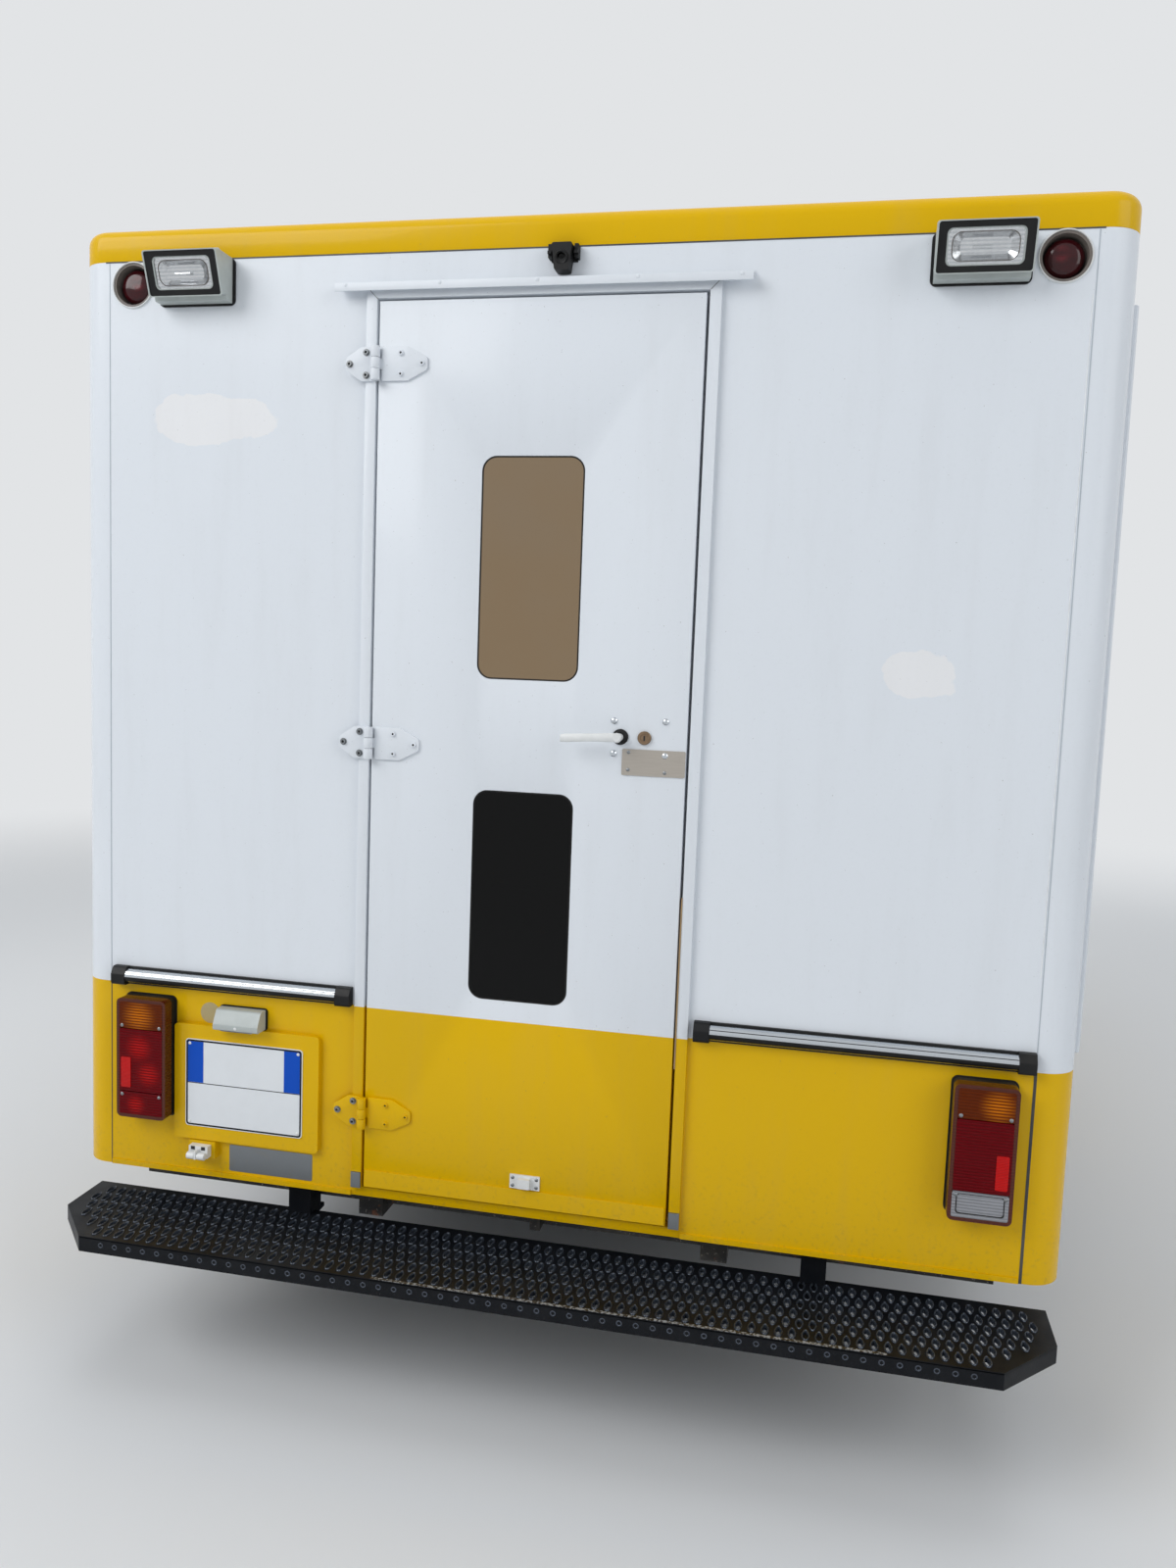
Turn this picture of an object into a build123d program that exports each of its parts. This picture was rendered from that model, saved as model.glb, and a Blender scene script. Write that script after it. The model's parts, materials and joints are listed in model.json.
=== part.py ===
from build123d import *
import math
import os

# Ambulance with a box body on a low front-wheel-drive chassis.
# Millimetres. +Y points forwards, +X to the vehicle's right side and +Z up.
# The origin lies on the ground under the middle of the vehicle.

# Running gear
WHEELBASE = 3350
TRACK_FRONT = 1650
TRACK_REAR = 1800
TYRE_RADIUS = 345
TYRE_WIDTH = 205
RIM_RADIUS = 190
RIM_WALL = 9
ARCH_CLEARANCE = 75
ARCH_WALL = 22
STUB_RADIUS = 28
HUB_OUT = 80
KINGPIN_INSET = 80
STEER_ARM_BACK = 115
STEER_ARM_INBOARD = 75

# Box body
BOX_LENGTH = 3500
BOX_WIDTH = 2272
BOX_BOTTOM = 450
BOX_HEIGHT = 2188
WALL = 35
BELT_HEIGHT = 453
BUFFER_HEIGHT = 42
CAP_HEIGHT = 75
CAP_EDGE = 30
CORNER_RADIUS = 68
POST_WIDTH = 84
FLOOR_GAP = 40
FLOOR_THICKNESS = 40
REAR_OVERHANG = 1350

# Rear door
DOOR_LEFT = -397
DOOR_RIGHT = 307
DOOR_LOW = 28
DOOR_HIGH = 2009
DOOR_THICKNESS = 35
FRAME_FACE = 24
FRAME_PROUD = 12
DOOR_GAP = 6.5
WINDOW_LEFT = -158
WINDOW_WIDTH = 225
WINDOW_RADIUS = 32
UPPER_WINDOW = (1210, 1684)
LOWER_WINDOW = (499, 967)
GLASS_THICKNESS = 6
GLASS_FIT = 0.3
HINGE_HEIGHTS = (208, 1058, 1877)
HINGE_LEAF_HEIGHT = 72
HINGE_LEAF_THICKNESS = 5
FIXED_LEAF_LENGTH = 72
MOVING_LEAF_LENGTH = 115
PIN_RADIUS = 5
PIN_CLEARANCE = 0.08
KNUCKLE_RADIUS = 10
PIN_STANDOFF = 13

# Step under the rear door
STEP_DROP = 80
STEP_PROJECTION = 208
STEP_UNDERLAP = 57
STEP_HALF_WIDTH = 1118
STEP_CHAMFER = 118
STEP_SKIRT = 36
STEP_SHEET = 4
STEP_BRACKETS = (-575, 631)
STEP_BRACKET_WIDTH = 55

# Cab
CAB_LENGTH = 2041
CAB_GAP = 6
CAB_HALF_WIDTH = 999
CAB_SKIN = 35
SILL_HEIGHT = 380
CAB_ROOF = 2250
CAB_BELT = 1310
CAB_FLOOR = 640
BULKHEAD_THICKNESS = 35
SCREEN_BASE_BACK = 840
SCREEN_TOP_BACK = 1390
BUMPER_TOP = 628
BUMPER_PROUD = 9
CAB_DOOR_SWING_GAP = 11
CAB_DOOR_LENGTH = 840
CAB_DOOR_LOW = 480
CAB_DOOR_HIGH = 2110
PANEL_GAP = 6.5
SEAT = 0.3

# Chassis
RAIL_X = 410
RAIL_WIDTH = 60
RAIL_LOW = 370
RAIL_HIGH = BOX_BOTTOM + FLOOR_GAP - SEAT

# Places that follow from the sizes above
TOTAL_LENGTH = STEP_PROJECTION + BOX_LENGTH + CAB_LENGTH + BUMPER_PROUD
REAR_FACE = STEP_PROJECTION - TOTAL_LENGTH / 2
BOX_FRONT = REAR_FACE + BOX_LENGTH
CAB_REAR = BOX_FRONT + CAB_GAP
CAB_FRONT = BOX_FRONT + CAB_LENGTH
REAR_AXLE_Y = REAR_FACE + REAR_OVERHANG
FRONT_AXLE_Y = REAR_AXLE_Y + WHEELBASE
BOX_HALF = BOX_WIDTH / 2
BOX_TOP = BOX_BOTTOM + BOX_HEIGHT
ROOF_SEAM = BOX_TOP - CAP_HEIGHT
POST_SEAM_X = BOX_HALF - POST_WIDTH
FLOOR_LOW = BOX_BOTTOM + FLOOR_GAP
FLOOR_TOP = FLOOR_LOW + FLOOR_THICKNESS
ARCH_RADIUS = TYRE_RADIUS + ARCH_CLEARANCE
DOOR_FACE_Y = REAR_FACE - FRAME_PROUD
HINGE_X = DOOR_LEFT - DOOR_GAP / 2
HINGE_Y = DOOR_FACE_Y - PIN_STANDOFF
FRAME_LEFT = DOOR_LEFT - DOOR_GAP
FRAME_RIGHT = DOOR_RIGHT + DOOR_GAP
FRAME_TOP = DOOR_HIGH + DOOR_GAP
STEP_TOP = BOX_BOTTOM - STEP_DROP
KINGPIN_X = TRACK_FRONT / 2 - KINGPIN_INSET
SCREEN_BASE_Y = CAB_FRONT - SCREEN_BASE_BACK
SCREEN_TOP_Y = CAB_FRONT - SCREEN_TOP_BACK
SCREEN_LEAN = (SCREEN_BASE_Y - SCREEN_TOP_Y) / (CAB_ROOF - CAB_BELT)
BULKHEAD_Y = SCREEN_BASE_Y - 65
CAB_DOOR_FRONT = CAB_REAR + 66 + CAB_DOOR_LENGTH
CAB_DOOR_REAR = CAB_DOOR_FRONT - CAB_DOOR_LENGTH

os.makedirs("parts", exist_ok=True)


def save(piece, name):
    """Label one finished piece and write it to its own file."""
    piece.part.label = name
    export_step(piece.part, f"parts/{name}.step")


def block(x_span, y_span, z_span, mode=Mode.ADD):
    """Add an upright block that fills three spans, each (low, high)."""
    middle = [(low + high) / 2 for low, high in (x_span, y_span, z_span)]
    lengths = [high - low for low, high in (x_span, y_span, z_span)]
    with Locations(tuple(middle)):
        return Box(*lengths, mode=mode)


def rod(start, end, radius, mode=Mode.ADD):
    """Add a round bar between two points."""
    path = Vector(end) - Vector(start)
    with BuildSketch(Plane(origin=start, z_dir=path)) as end_face:
        Circle(radius)
    return extrude(end_face.sketch, amount=path.length, mode=mode)


def outline(rows, mode=Mode.ADD):
    """Fill a filleted outline from rows of (first axis, second axis, corner radius)."""
    with BuildLine(Plane.XY) as edge:
        FilletPolyline(
            *[(row[0], row[1]) for row in rows],
            radius=[row[2] for row in rows],
            close=True,
        )
    make_face(edge.line.edges(), mode=mode)


# The cab's outer form: three outlines, each a closed row of points and radii

# The side outline alone sets the sill and the rear, and the plan sets the nose
NOSE_SLACK = 2
BEYOND = 150

# Side outline, columns y, z, corner radius
CAB_SIDE = (
    (CAB_REAR, SILL_HEIGHT, 25),
    (CAB_REAR, CAB_ROOF + 5, 60),
    (SCREEN_TOP_Y, CAB_ROOF, 190),
    (SCREEN_BASE_Y, CAB_BELT, 70),
    (CAB_FRONT - 130, CAB_BELT - 215, 150),
    (CAB_FRONT + NOSE_SLACK, CAB_BELT - 400, 120),
    (CAB_FRONT + NOSE_SLACK, SILL_HEIGHT, 25),
)
# Front outline, columns x, z, corner radius
CAB_FACE = (
    (CAB_HALF_WIDTH, SILL_HEIGHT - BEYOND, 25),
    (CAB_HALF_WIDTH, CAB_BELT - 30, 900),
    (CAB_HALF_WIDTH - 94, CAB_ROOF - 130, 250),
    (CAB_HALF_WIDTH - 219, CAB_ROOF + 12, 190),
    (219 - CAB_HALF_WIDTH, CAB_ROOF + 12, 190),
    (94 - CAB_HALF_WIDTH, CAB_ROOF - 130, 250),
    (-CAB_HALF_WIDTH, CAB_BELT - 30, 900),
    (-CAB_HALF_WIDTH, SILL_HEIGHT - BEYOND, 25),
)
# Outline seen from above, columns x, y, corner radius
CAB_PLAN = (
    (CAB_HALF_WIDTH, CAB_REAR - BEYOND, 20),
    (CAB_HALF_WIDTH, CAB_FRONT - 520, 1400),
    (CAB_HALF_WIDTH - 64, CAB_FRONT - 140, 240),
    (CAB_HALF_WIDTH - 299, CAB_FRONT, 380),
    (299 - CAB_HALF_WIDTH, CAB_FRONT, 380),
    (64 - CAB_HALF_WIDTH, CAB_FRONT - 140, 240),
    (-CAB_HALF_WIDTH, CAB_FRONT - 520, 1400),
    (-CAB_HALF_WIDTH, CAB_REAR - BEYOND, 20),
)
CAB_REACH = 3500


def cab_volume(inset):
    """Give the solid inside the cab's skin, moved inwards by inset."""
    with BuildPart() as form:
        with BuildSketch(Plane.YZ.offset(-CAB_REACH)):
            outline(CAB_SIDE)
            if inset:
                offset(amount=-inset)
        extrude(amount=2 * CAB_REACH)
        with BuildSketch(Plane.XZ.offset(-CAB_REACH)):
            outline(CAB_FACE)
            if inset:
                offset(amount=-inset)
        extrude(amount=2 * CAB_REACH, mode=Mode.INTERSECT)
        with BuildSketch(Plane.XY):
            outline(CAB_PLAN)
            if inset:
                offset(amount=-inset)
        extrude(amount=CAB_REACH, mode=Mode.INTERSECT)
    return form.part


def wheel_space(y, radius, x_inner, x_outer, sign):
    """Give a drum round one wheel's axis, from one distance off centre to another."""
    with BuildPart() as space:
        rod((sign * x_inner, y, TYRE_RADIUS), (sign * x_outer, y, TYRE_RADIUS), radius)
    return space.part


CAB_OUTER = cab_volume(0)
CAB_INNER = cab_volume(CAB_SKIN)
SIDES = (("left", -1), ("right", 1))

# Front wheelhouse: how far in the steered wheel reaches
WHEELHOUSE_X = 515
FRONT_HOUSES = [
    wheel_space(FRONT_AXLE_Y, ARCH_RADIUS + ARCH_WALL, WHEELHOUSE_X, CAB_REACH, sign)
    for _, sign in SIDES
]
FRONT_WELLS = [
    wheel_space(FRONT_AXLE_Y, ARCH_RADIUS, WHEELHOUSE_X + ARCH_WALL, CAB_REACH, sign)
    for _, sign in SIDES
]


def screen_line(z, back=0):
    """Give the y of the windscreen's outer face at a height, moved back."""
    return SCREEN_BASE_Y - SCREEN_LEAN * (z - CAB_BELT) - back


# Cab door outline seen from the side, columns y, z, corner radius
PILLAR_BACK = 200
PILLAR_KNEE = CAB_BELT + (SCREEN_BASE_Y - PILLAR_BACK - CAB_DOOR_FRONT) / SCREEN_LEAN


def door_rows(grow, rear_grow):
    """Give the cab door's outline, grown by a gap all round."""
    front = CAB_DOOR_FRONT + grow
    rear = CAB_DOOR_REAR - rear_grow
    top = CAB_DOOR_HIGH + grow
    return (
        (rear, CAB_DOOR_LOW - grow, 60),
        (front, CAB_DOOR_LOW - grow, 20),
        (front, PILLAR_KNEE, 60),
        (screen_line(top, PILLAR_BACK - grow), top, 90),
        (rear, top, 90),
    )


# Cab door window, columns y, z, corner radius
WINDOW_BORDER = 85
WINDOW_LOW = CAB_BELT + 15
WINDOW_HIGH = CAB_DOOR_HIGH - 75


def window_rows(shrink):
    """Give the cab door window's outline, shrunk by a fit."""
    front = CAB_DOOR_FRONT - WINDOW_BORDER - shrink
    rear = CAB_DOOR_REAR + WINDOW_BORDER + shrink
    top = WINDOW_HIGH - shrink
    knee = PILLAR_KNEE - 20
    return (
        (rear, WINDOW_LOW + shrink, 40),
        (front, WINDOW_LOW + shrink, 40),
        (front, knee, 40),
        (screen_line(top, PILLAR_BACK + WINDOW_BORDER + shrink + 15), top, 60),
        (rear, top, 60),
    )


def side_prism(rows, x_inner, x_outer, sign):
    """Give a prism of an outline in the side view, between two distances off centre."""
    low, high = sorted((sign * x_inner, sign * x_outer))
    with BuildPart() as prism:
        with BuildSketch(Plane.YZ.offset(low)):
            outline(rows)
        extrude(amount=high - low)
    return prism.part


# Bonnet outline seen from above, and the grille and lamp openings seen from the front
BONNET_HALF = 720
BONNET_REAR = SCREEN_BASE_Y + 50
BONNET_FRONT = CAB_FRONT - 95
BONNET_LOW = CAB_BELT - 330
GRILLE_HALF = 360
GRILLE_SPAN = (690, 850)
LAMP_SPAN_X = (430, 800)
LAMP_SPAN_Z = (700, 860)
LAMP_DEPTH = 90


def bonnet_prism(grow):
    """Give the upright prism that parts the bonnet from the cab."""
    with BuildPart() as prism:
        block(
            (-BONNET_HALF - grow, BONNET_HALF + grow),
            (BONNET_REAR - grow, BONNET_FRONT + grow),
            (BONNET_LOW, CAB_ROOF),
        )
        fillet(prism.edges().filter_by(Axis.Z), 60)
    return prism.part


# Windscreen, drawn on its own leaning plane
SCREEN_LENGTH = math.hypot(SCREEN_BASE_Y - SCREEN_TOP_Y, CAB_ROOF - CAB_BELT)
SCREEN_PLANE = Plane(
    origin=(0, SCREEN_BASE_Y, CAB_BELT),
    x_dir=(-1, 0, 0),
    z_dir=(0, CAB_ROOF - CAB_BELT, SCREEN_BASE_Y - SCREEN_TOP_Y),
)
SCREEN_LOW = 60
SCREEN_HIGH = SCREEN_LENGTH - 110
SCREEN_HALF_LOW = CAB_HALF_WIDTH - 85
SCREEN_HALF_HIGH = CAB_HALF_WIDTH - 165
SCREEN_RECESS = 8


def screen_slab(shrink, outer, inner):
    """Give a slab of the windscreen's outline between two depths below the skin."""
    with BuildPart() as slab:
        with BuildSketch(SCREEN_PLANE.offset(-inner)):
            outline(
                (
                    (SCREEN_HALF_LOW - shrink, SCREEN_LOW + shrink, 80),
                    (SCREEN_HALF_HIGH - shrink, SCREEN_HIGH - shrink, 80),
                    (shrink - SCREEN_HALF_HIGH, SCREEN_HIGH - shrink, 80),
                    (shrink - SCREEN_HALF_LOW, SCREEN_LOW + shrink, 80),
                )
            )
        extrude(amount=inner - outer)
    return slab.part


# Small butt hinges on the outside of the cab doors and the side door
HINGE_REACH = 12
HINGE_FOOT = 45
SMALL_KNUCKLE = 50
LUG_LENGTH = 14
LUG_GAP = 0.5
CAB_HINGE_HEIGHTS = (860, 1200)


def hinge_half(face_x, edge_y, heights, sign, moving):
    """Add the door's knuckles, or the body's lugs and pins, at each height."""
    pin_x = sign * (face_x + HINGE_REACH)
    pin_y = edge_y + PANEL_GAP / 2
    foot_x = sorted((sign * (face_x - 8), sign * (face_x + HINGE_REACH)))
    bridge_x = sorted((sign * (face_x + 2), sign * (face_x + HINGE_REACH + 6)))
    half = SMALL_KNUCKLE / 2
    if moving:
        foot_y = (edge_y - HINGE_FOOT, edge_y)
        bridge_y = (edge_y - HINGE_FOOT, pin_y)
        spans = [(-half, half)]
    else:
        foot_y = (edge_y + PANEL_GAP, edge_y + PANEL_GAP + HINGE_FOOT)
        bridge_y = (pin_y, edge_y + PANEL_GAP + HINGE_FOOT)
        spans = [
            (half + LUG_GAP, half + LUG_GAP + LUG_LENGTH),
            (-half - LUG_GAP - LUG_LENGTH, -half - LUG_GAP),
        ]
    for height in heights:
        for low, high in spans:
            block(foot_x, foot_y, (height + low, height + high))
            block(bridge_x, bridge_y, (height + low, height + high))
            rod((pin_x, pin_y, height + low), (pin_x, pin_y, height + high), KNUCKLE_RADIUS)
        reach = half + LUG_GAP + LUG_LENGTH
        if moving:
            bore = PIN_RADIUS + PIN_CLEARANCE
            rod((pin_x, pin_y, height - half), (pin_x, pin_y, height + half), bore, Mode.SUBTRACT)
        else:
            rod((pin_x, pin_y, height - reach), (pin_x, pin_y, height + reach), PIN_RADIUS)


with BuildPart() as cab_voids:
    block(
        (-CAB_REACH, CAB_REACH),
        (CAB_REAR, BULKHEAD_Y - BULKHEAD_THICKNESS),
        (CAB_FLOOR, CAB_REACH),
    )
    block(
        (-CAB_REACH, CAB_REACH),
        (CAB_REAR, SCREEN_BASE_Y + 30),
        (CAB_BELT - 20, CAB_REACH),
    )
    block(
        (-CAB_REACH, CAB_REACH),
        (BULKHEAD_Y, CAB_REACH),
        (SILL_HEIGHT + 20, CAB_BELT - 45),
    )
    add(CAB_INNER, mode=Mode.INTERSECT)
    block(
        (-CAB_HALF_WIDTH + 110, CAB_HALF_WIDTH - 110),
        (CAB_REAR - 50, BULKHEAD_Y + 10),
        (SILL_HEIGHT - 50, CAB_FLOOR - 35),
    )
    block(
        (-CAB_HALF_WIDTH + 75, CAB_HALF_WIDTH - 75),
        (BULKHEAD_Y, CAB_FRONT - 150),
        (SILL_HEIGHT - 50, SILL_HEIGHT + 60),
    )
    add(FRONT_HOUSES, mode=Mode.SUBTRACT)

# Where the drive shafts, arms and tie rods pass into the wheelhouse
HOUSE_WINDOW = 200
HOUSE_WINDOW_TOP = 560

# Bonnet hinges, standing on the skin at its rear edge
BONNET_HINGE_X = 480
BONNET_PIN_Y = BONNET_REAR - PANEL_GAP / 2
BONNET_PIN_Z = CAB_BELT - 2


def bonnet_hinge(moving):
    """Add the bonnet's knuckles, or the cowl's lugs and pins."""
    half = SMALL_KNUCKLE / 2
    reach = half + LUG_GAP + LUG_LENGTH
    if moving:
        foot_y = (BONNET_REAR + 0.5, BONNET_REAR + 34)
        bridge_y = (BONNET_PIN_Y, BONNET_REAR + 34)
        spans = [(-half, half)]
    else:
        foot_y = (BONNET_REAR - PANEL_GAP - 30, BONNET_REAR - PANEL_GAP - 0.5)
        bridge_y = (BONNET_REAR - PANEL_GAP - 30, BONNET_PIN_Y)
        spans = [(half + LUG_GAP, reach), (-reach, -half - LUG_GAP)]
    for centre in (-BONNET_HINGE_X, BONNET_HINGE_X):
        for low, high in spans:
            span = (centre + low, centre + high)
            block(span, foot_y, (BONNET_PIN_Z - 34, BONNET_PIN_Z + 3))
            block(span, bridge_y, (BONNET_PIN_Z - 4, BONNET_PIN_Z + 4))
            start = (centre + low, BONNET_PIN_Y, BONNET_PIN_Z)
            rod(start, (centre + high, BONNET_PIN_Y, BONNET_PIN_Z), KNUCKLE_RADIUS - 2)
        if moving:
            start = (centre - half, BONNET_PIN_Y, BONNET_PIN_Z)
            end = (centre + half, BONNET_PIN_Y, BONNET_PIN_Z)
            rod(start, end, PIN_RADIUS + PIN_CLEARANCE, Mode.SUBTRACT)
        else:
            start = (centre - reach, BONNET_PIN_Y, BONNET_PIN_Z)
            rod(start, (centre + reach, BONNET_PIN_Y, BONNET_PIN_Z), PIN_RADIUS)


with BuildPart() as cab_shell:
    add(CAB_OUTER)
    add(cab_voids.part, mode=Mode.SUBTRACT)
    add(FRONT_WELLS, mode=Mode.SUBTRACT)
    for name, sign in SIDES:
        rows = door_rows(PANEL_GAP, CAB_DOOR_SWING_GAP)
        opening = side_prism(rows, CAB_HALF_WIDTH - CAB_SKIN - 8, CAB_REACH, sign)
        add(opening, mode=Mode.SUBTRACT)
        upper = side_prism(rows, CAB_HALF_WIDTH / 2, CAB_REACH, sign)
        with BuildPart(mode=Mode.PRIVATE) as above_floor:
            add(upper)
            block(
                (-CAB_REACH, CAB_REACH),
                (-CAB_REACH, CAB_REACH),
                (CAB_FLOOR, CAB_REACH),
                mode=Mode.INTERSECT,
            )
        add(above_floor.part, mode=Mode.SUBTRACT)
    add(bonnet_prism(PANEL_GAP), mode=Mode.SUBTRACT)
    add(screen_slab(0, -200, CAB_SKIN + 40), mode=Mode.SUBTRACT)
    # Openings in the nose for the grille and the lamps
    block((-GRILLE_HALF, GRILLE_HALF), (CAB_FRONT - 200, CAB_FRONT + 10), GRILLE_SPAN, mode=Mode.SUBTRACT)
    for name, sign in SIDES:
        span = sorted((sign * LAMP_SPAN_X[0], sign * LAMP_SPAN_X[1]))
        block(span, (CAB_FRONT - 300, CAB_FRONT + 10), LAMP_SPAN_Z, mode=Mode.SUBTRACT)
    # The bumper covers the nose below this line
    block(
        (-CAB_REACH, CAB_REACH),
        (FRONT_AXLE_Y + 150, CAB_REACH),
        (0, BUMPER_TOP),
        mode=Mode.SUBTRACT,
    )
    # Windows in the wheelhouses' inner walls
    for name, sign in SIDES:
        span = sorted((sign * (WHEELHOUSE_X - 10), sign * (WHEELHOUSE_X + ARCH_WALL + 10)))
        block(
            span,
            (FRONT_AXLE_Y - HOUSE_WINDOW, FRONT_AXLE_Y + HOUSE_WINDOW),
            (0, HOUSE_WINDOW_TOP),
            mode=Mode.SUBTRACT,
        )
        hinge_half(CAB_HALF_WIDTH, CAB_DOOR_FRONT, CAB_HINGE_HEIGHTS, sign, moving=False)
    bonnet_hinge(moving=False)

with BuildPart() as bonnet:
    add(CAB_OUTER)
    add(CAB_INNER, mode=Mode.SUBTRACT)
    add(bonnet_prism(0), mode=Mode.INTERSECT)
    bonnet_hinge(moving=True)

with BuildPart() as windscreen:
    add(screen_slab(GLASS_FIT, SCREEN_RECESS, SCREEN_RECESS + GLASS_THICKNESS))

with BuildPart() as grille:
    slats = 7
    pitch = (GRILLE_SPAN[1] - GRILLE_SPAN[0]) / slats
    for index in range(slats):
        low = GRILLE_SPAN[0] + SEAT + index * pitch
        block(
            (SEAT - GRILLE_HALF, GRILLE_HALF - SEAT),
            (CAB_FRONT - 40, CAB_FRONT - 8),
            (low, low + 9),
        )
    for centre in (-GRILLE_HALF + 6 + SEAT, -GRILLE_HALF / 3, GRILLE_HALF / 3, GRILLE_HALF - 6 - SEAT):
        block(
            (centre - 6, centre + 6),
            (CAB_FRONT - 40, CAB_FRONT - 12),
            (GRILLE_SPAN[0] + SEAT, GRILLE_SPAN[1] - SEAT),
        )

with BuildPart() as headlamps:
    for name, sign in SIDES:
        span = sorted((sign * (LAMP_SPAN_X[0] + SEAT), sign * (LAMP_SPAN_X[1] - SEAT)))
        block(span, (CAB_FRONT - 300, CAB_FRONT), (LAMP_SPAN_Z[0] + SEAT, LAMP_SPAN_Z[1] - SEAT))
    add(CAB_OUTER, mode=Mode.INTERSECT)
    add(cab_volume(LAMP_DEPTH), mode=Mode.SUBTRACT)

# Bumper: a band of the plan outline across the nose
BUMPER_DEPTH = 70
BUMPER_REAR = FRONT_AXLE_Y + ARCH_RADIUS + 12
RAIL_FRONT = CAB_FRONT - 110
with BuildPart() as front_bumper:
    with BuildSketch(Plane.XY.offset(SILL_HEIGHT)):
        outline(CAB_PLAN)
        offset(amount=BUMPER_PROUD)
        with BuildSketch(mode=Mode.PRIVATE) as inside:
            outline(CAB_PLAN)
            offset(amount=BUMPER_PROUD - BUMPER_DEPTH)
        add(inside.sketch, mode=Mode.SUBTRACT)
        with Locations((0, BUMPER_REAR - CAB_REACH / 2)):
            Rectangle(CAB_REACH, CAB_REACH, mode=Mode.SUBTRACT)
    extrude(amount=BUMPER_TOP - SEAT - SILL_HEIGHT)
    for name, sign in SIDES:
        span = sorted((sign * (RAIL_X - RAIL_WIDTH / 2), sign * (RAIL_X + RAIL_WIDTH / 2)))
        block(span, (RAIL_FRONT + SEAT, CAB_FRONT - 55), (RAIL_LOW + 20, RAIL_HIGH - 20))

# Dashboard outline seen from the side, columns y, z, corner radius
DASH_BACK = BULKHEAD_Y - BULKHEAD_THICKNESS - SEAT
DASH_HALF = CAB_HALF_WIDTH - 80
WHEEL_X = -400
COLUMN_TOP = (WHEEL_X, DASH_BACK - 290, 1190)
COLUMN_LOW = (WHEEL_X, DASH_BACK - 120, 960)
HAND_WHEEL_RADIUS = 205
with BuildPart() as dashboard:
    with BuildSketch(Plane.YZ.offset(-DASH_HALF)):
        outline(
            (
                (DASH_BACK, 880, 0),
                (DASH_BACK, CAB_BELT - 50, 0),
                (DASH_BACK - 180, CAB_BELT - 60, 40),
                (DASH_BACK - 270, CAB_BELT - 140, 40),
                (DASH_BACK - 230, 960, 60),
                (DASH_BACK - 150, 880, 40),
            )
        )
    extrude(amount=2 * DASH_HALF)
    rod(COLUMN_TOP, COLUMN_LOW, 34)

with BuildPart() as steering_wheel:
    column = Plane(origin=COLUMN_TOP, z_dir=Vector(COLUMN_TOP) - Vector(COLUMN_LOW))
    with BuildSketch(column.offset(SEAT)):
        Circle(42)
    extrude(amount=38)
    with BuildSketch(Plane(column.offset(26).origin, x_dir=column.x_dir, z_dir=column.y_dir)):
        with Locations((HAND_WHEEL_RADIUS - 14, 0)):
            Circle(14)
    revolve(axis=Axis(column.origin, column.z_dir))
    for angle in (0, 90, 180):
        across = math.cos(math.radians(angle)), math.sin(math.radians(angle))
        start = column.offset(26).from_local_coords((30 * across[0], -30 * across[1], 0))
        reach = HAND_WHEEL_RADIUS - 18
        end = column.offset(26).from_local_coords((reach * across[0], -reach * across[1], 0))
        rod(start, end, 11)

# Cab seats, columns: centre x, width
SEATS = ((WHEEL_X, 480), (WHEEL_X + 700, 860))
SEAT_REAR = CAB_REAR + 95
SEAT_TOP = 1010
with BuildPart() as seat_bases:
    for centre, width in SEATS:
        block(
            (centre - width / 2 + 60, centre + width / 2 - 60),
            (SEAT_REAR + 90, SEAT_REAR + 470),
            (CAB_FLOOR + SEAT, SEAT_TOP - 160 - SEAT),
        )

with BuildPart() as cab_seats:
    for centre, width in SEATS:
        with BuildSketch(Plane.YZ.offset(centre - width / 2)):
            outline(
                (
                    (SEAT_REAR + 30, SEAT_TOP - 160, 40),
                    (SEAT_REAR + 560, SEAT_TOP - 160, 50),
                    (SEAT_REAR + 560, SEAT_TOP, 50),
                    (SEAT_REAR + 190, SEAT_TOP - 25, 30),
                    (SEAT_REAR + 110, SEAT_TOP + 620, 45),
                    (SEAT_REAR, SEAT_TOP + 620, 45),
                )
            )
        extrude(amount=width)
    for centre in (WHEEL_X, WHEEL_X + 700 - 215, WHEEL_X + 700 + 215):
        block(
            (centre - 130, centre + 130),
            (SEAT_REAR + 10, SEAT_REAR + 100),
            (SEAT_TOP + 600, SEAT_TOP + 790),
        )


def cab_door(sign):
    """Give one cab door with its window cut and its hinge knuckles."""
    with BuildPart() as door:
        add(CAB_OUTER)
        add(CAB_INNER, mode=Mode.SUBTRACT)
        add(side_prism(door_rows(0, 0), CAB_HALF_WIDTH / 2, CAB_REACH, sign), mode=Mode.INTERSECT)
        add(side_prism(window_rows(0), CAB_HALF_WIDTH / 2, CAB_REACH, sign), mode=Mode.SUBTRACT)
        arch = wheel_space(FRONT_AXLE_Y, ARCH_RADIUS + ARCH_WALL + PANEL_GAP, 400, CAB_REACH, sign)
        add(arch, mode=Mode.SUBTRACT)
        hinge_half(CAB_HALF_WIDTH, CAB_DOOR_FRONT, CAB_HINGE_HEIGHTS, sign, moving=True)
    return door


PANE_OUTER = cab_volume(14)
PANE_INNER = cab_volume(14 + GLASS_THICKNESS)


def cab_pane(sign):
    """Give the curved pane of one cab door."""
    with BuildPart() as pane:
        add(PANE_OUTER)
        add(PANE_INNER, mode=Mode.SUBTRACT)
        prism = side_prism(window_rows(GLASS_FIT), CAB_HALF_WIDTH / 2, CAB_REACH, sign)
        add(prism, mode=Mode.INTERSECT)
    return pane


# Door mirrors
MIRROR_Y = CAB_DOOR_FRONT - 110
MIRROR_SPAN_X = (1075, 1235)
MIRROR_SPAN_Z = (1330, 1640)


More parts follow.
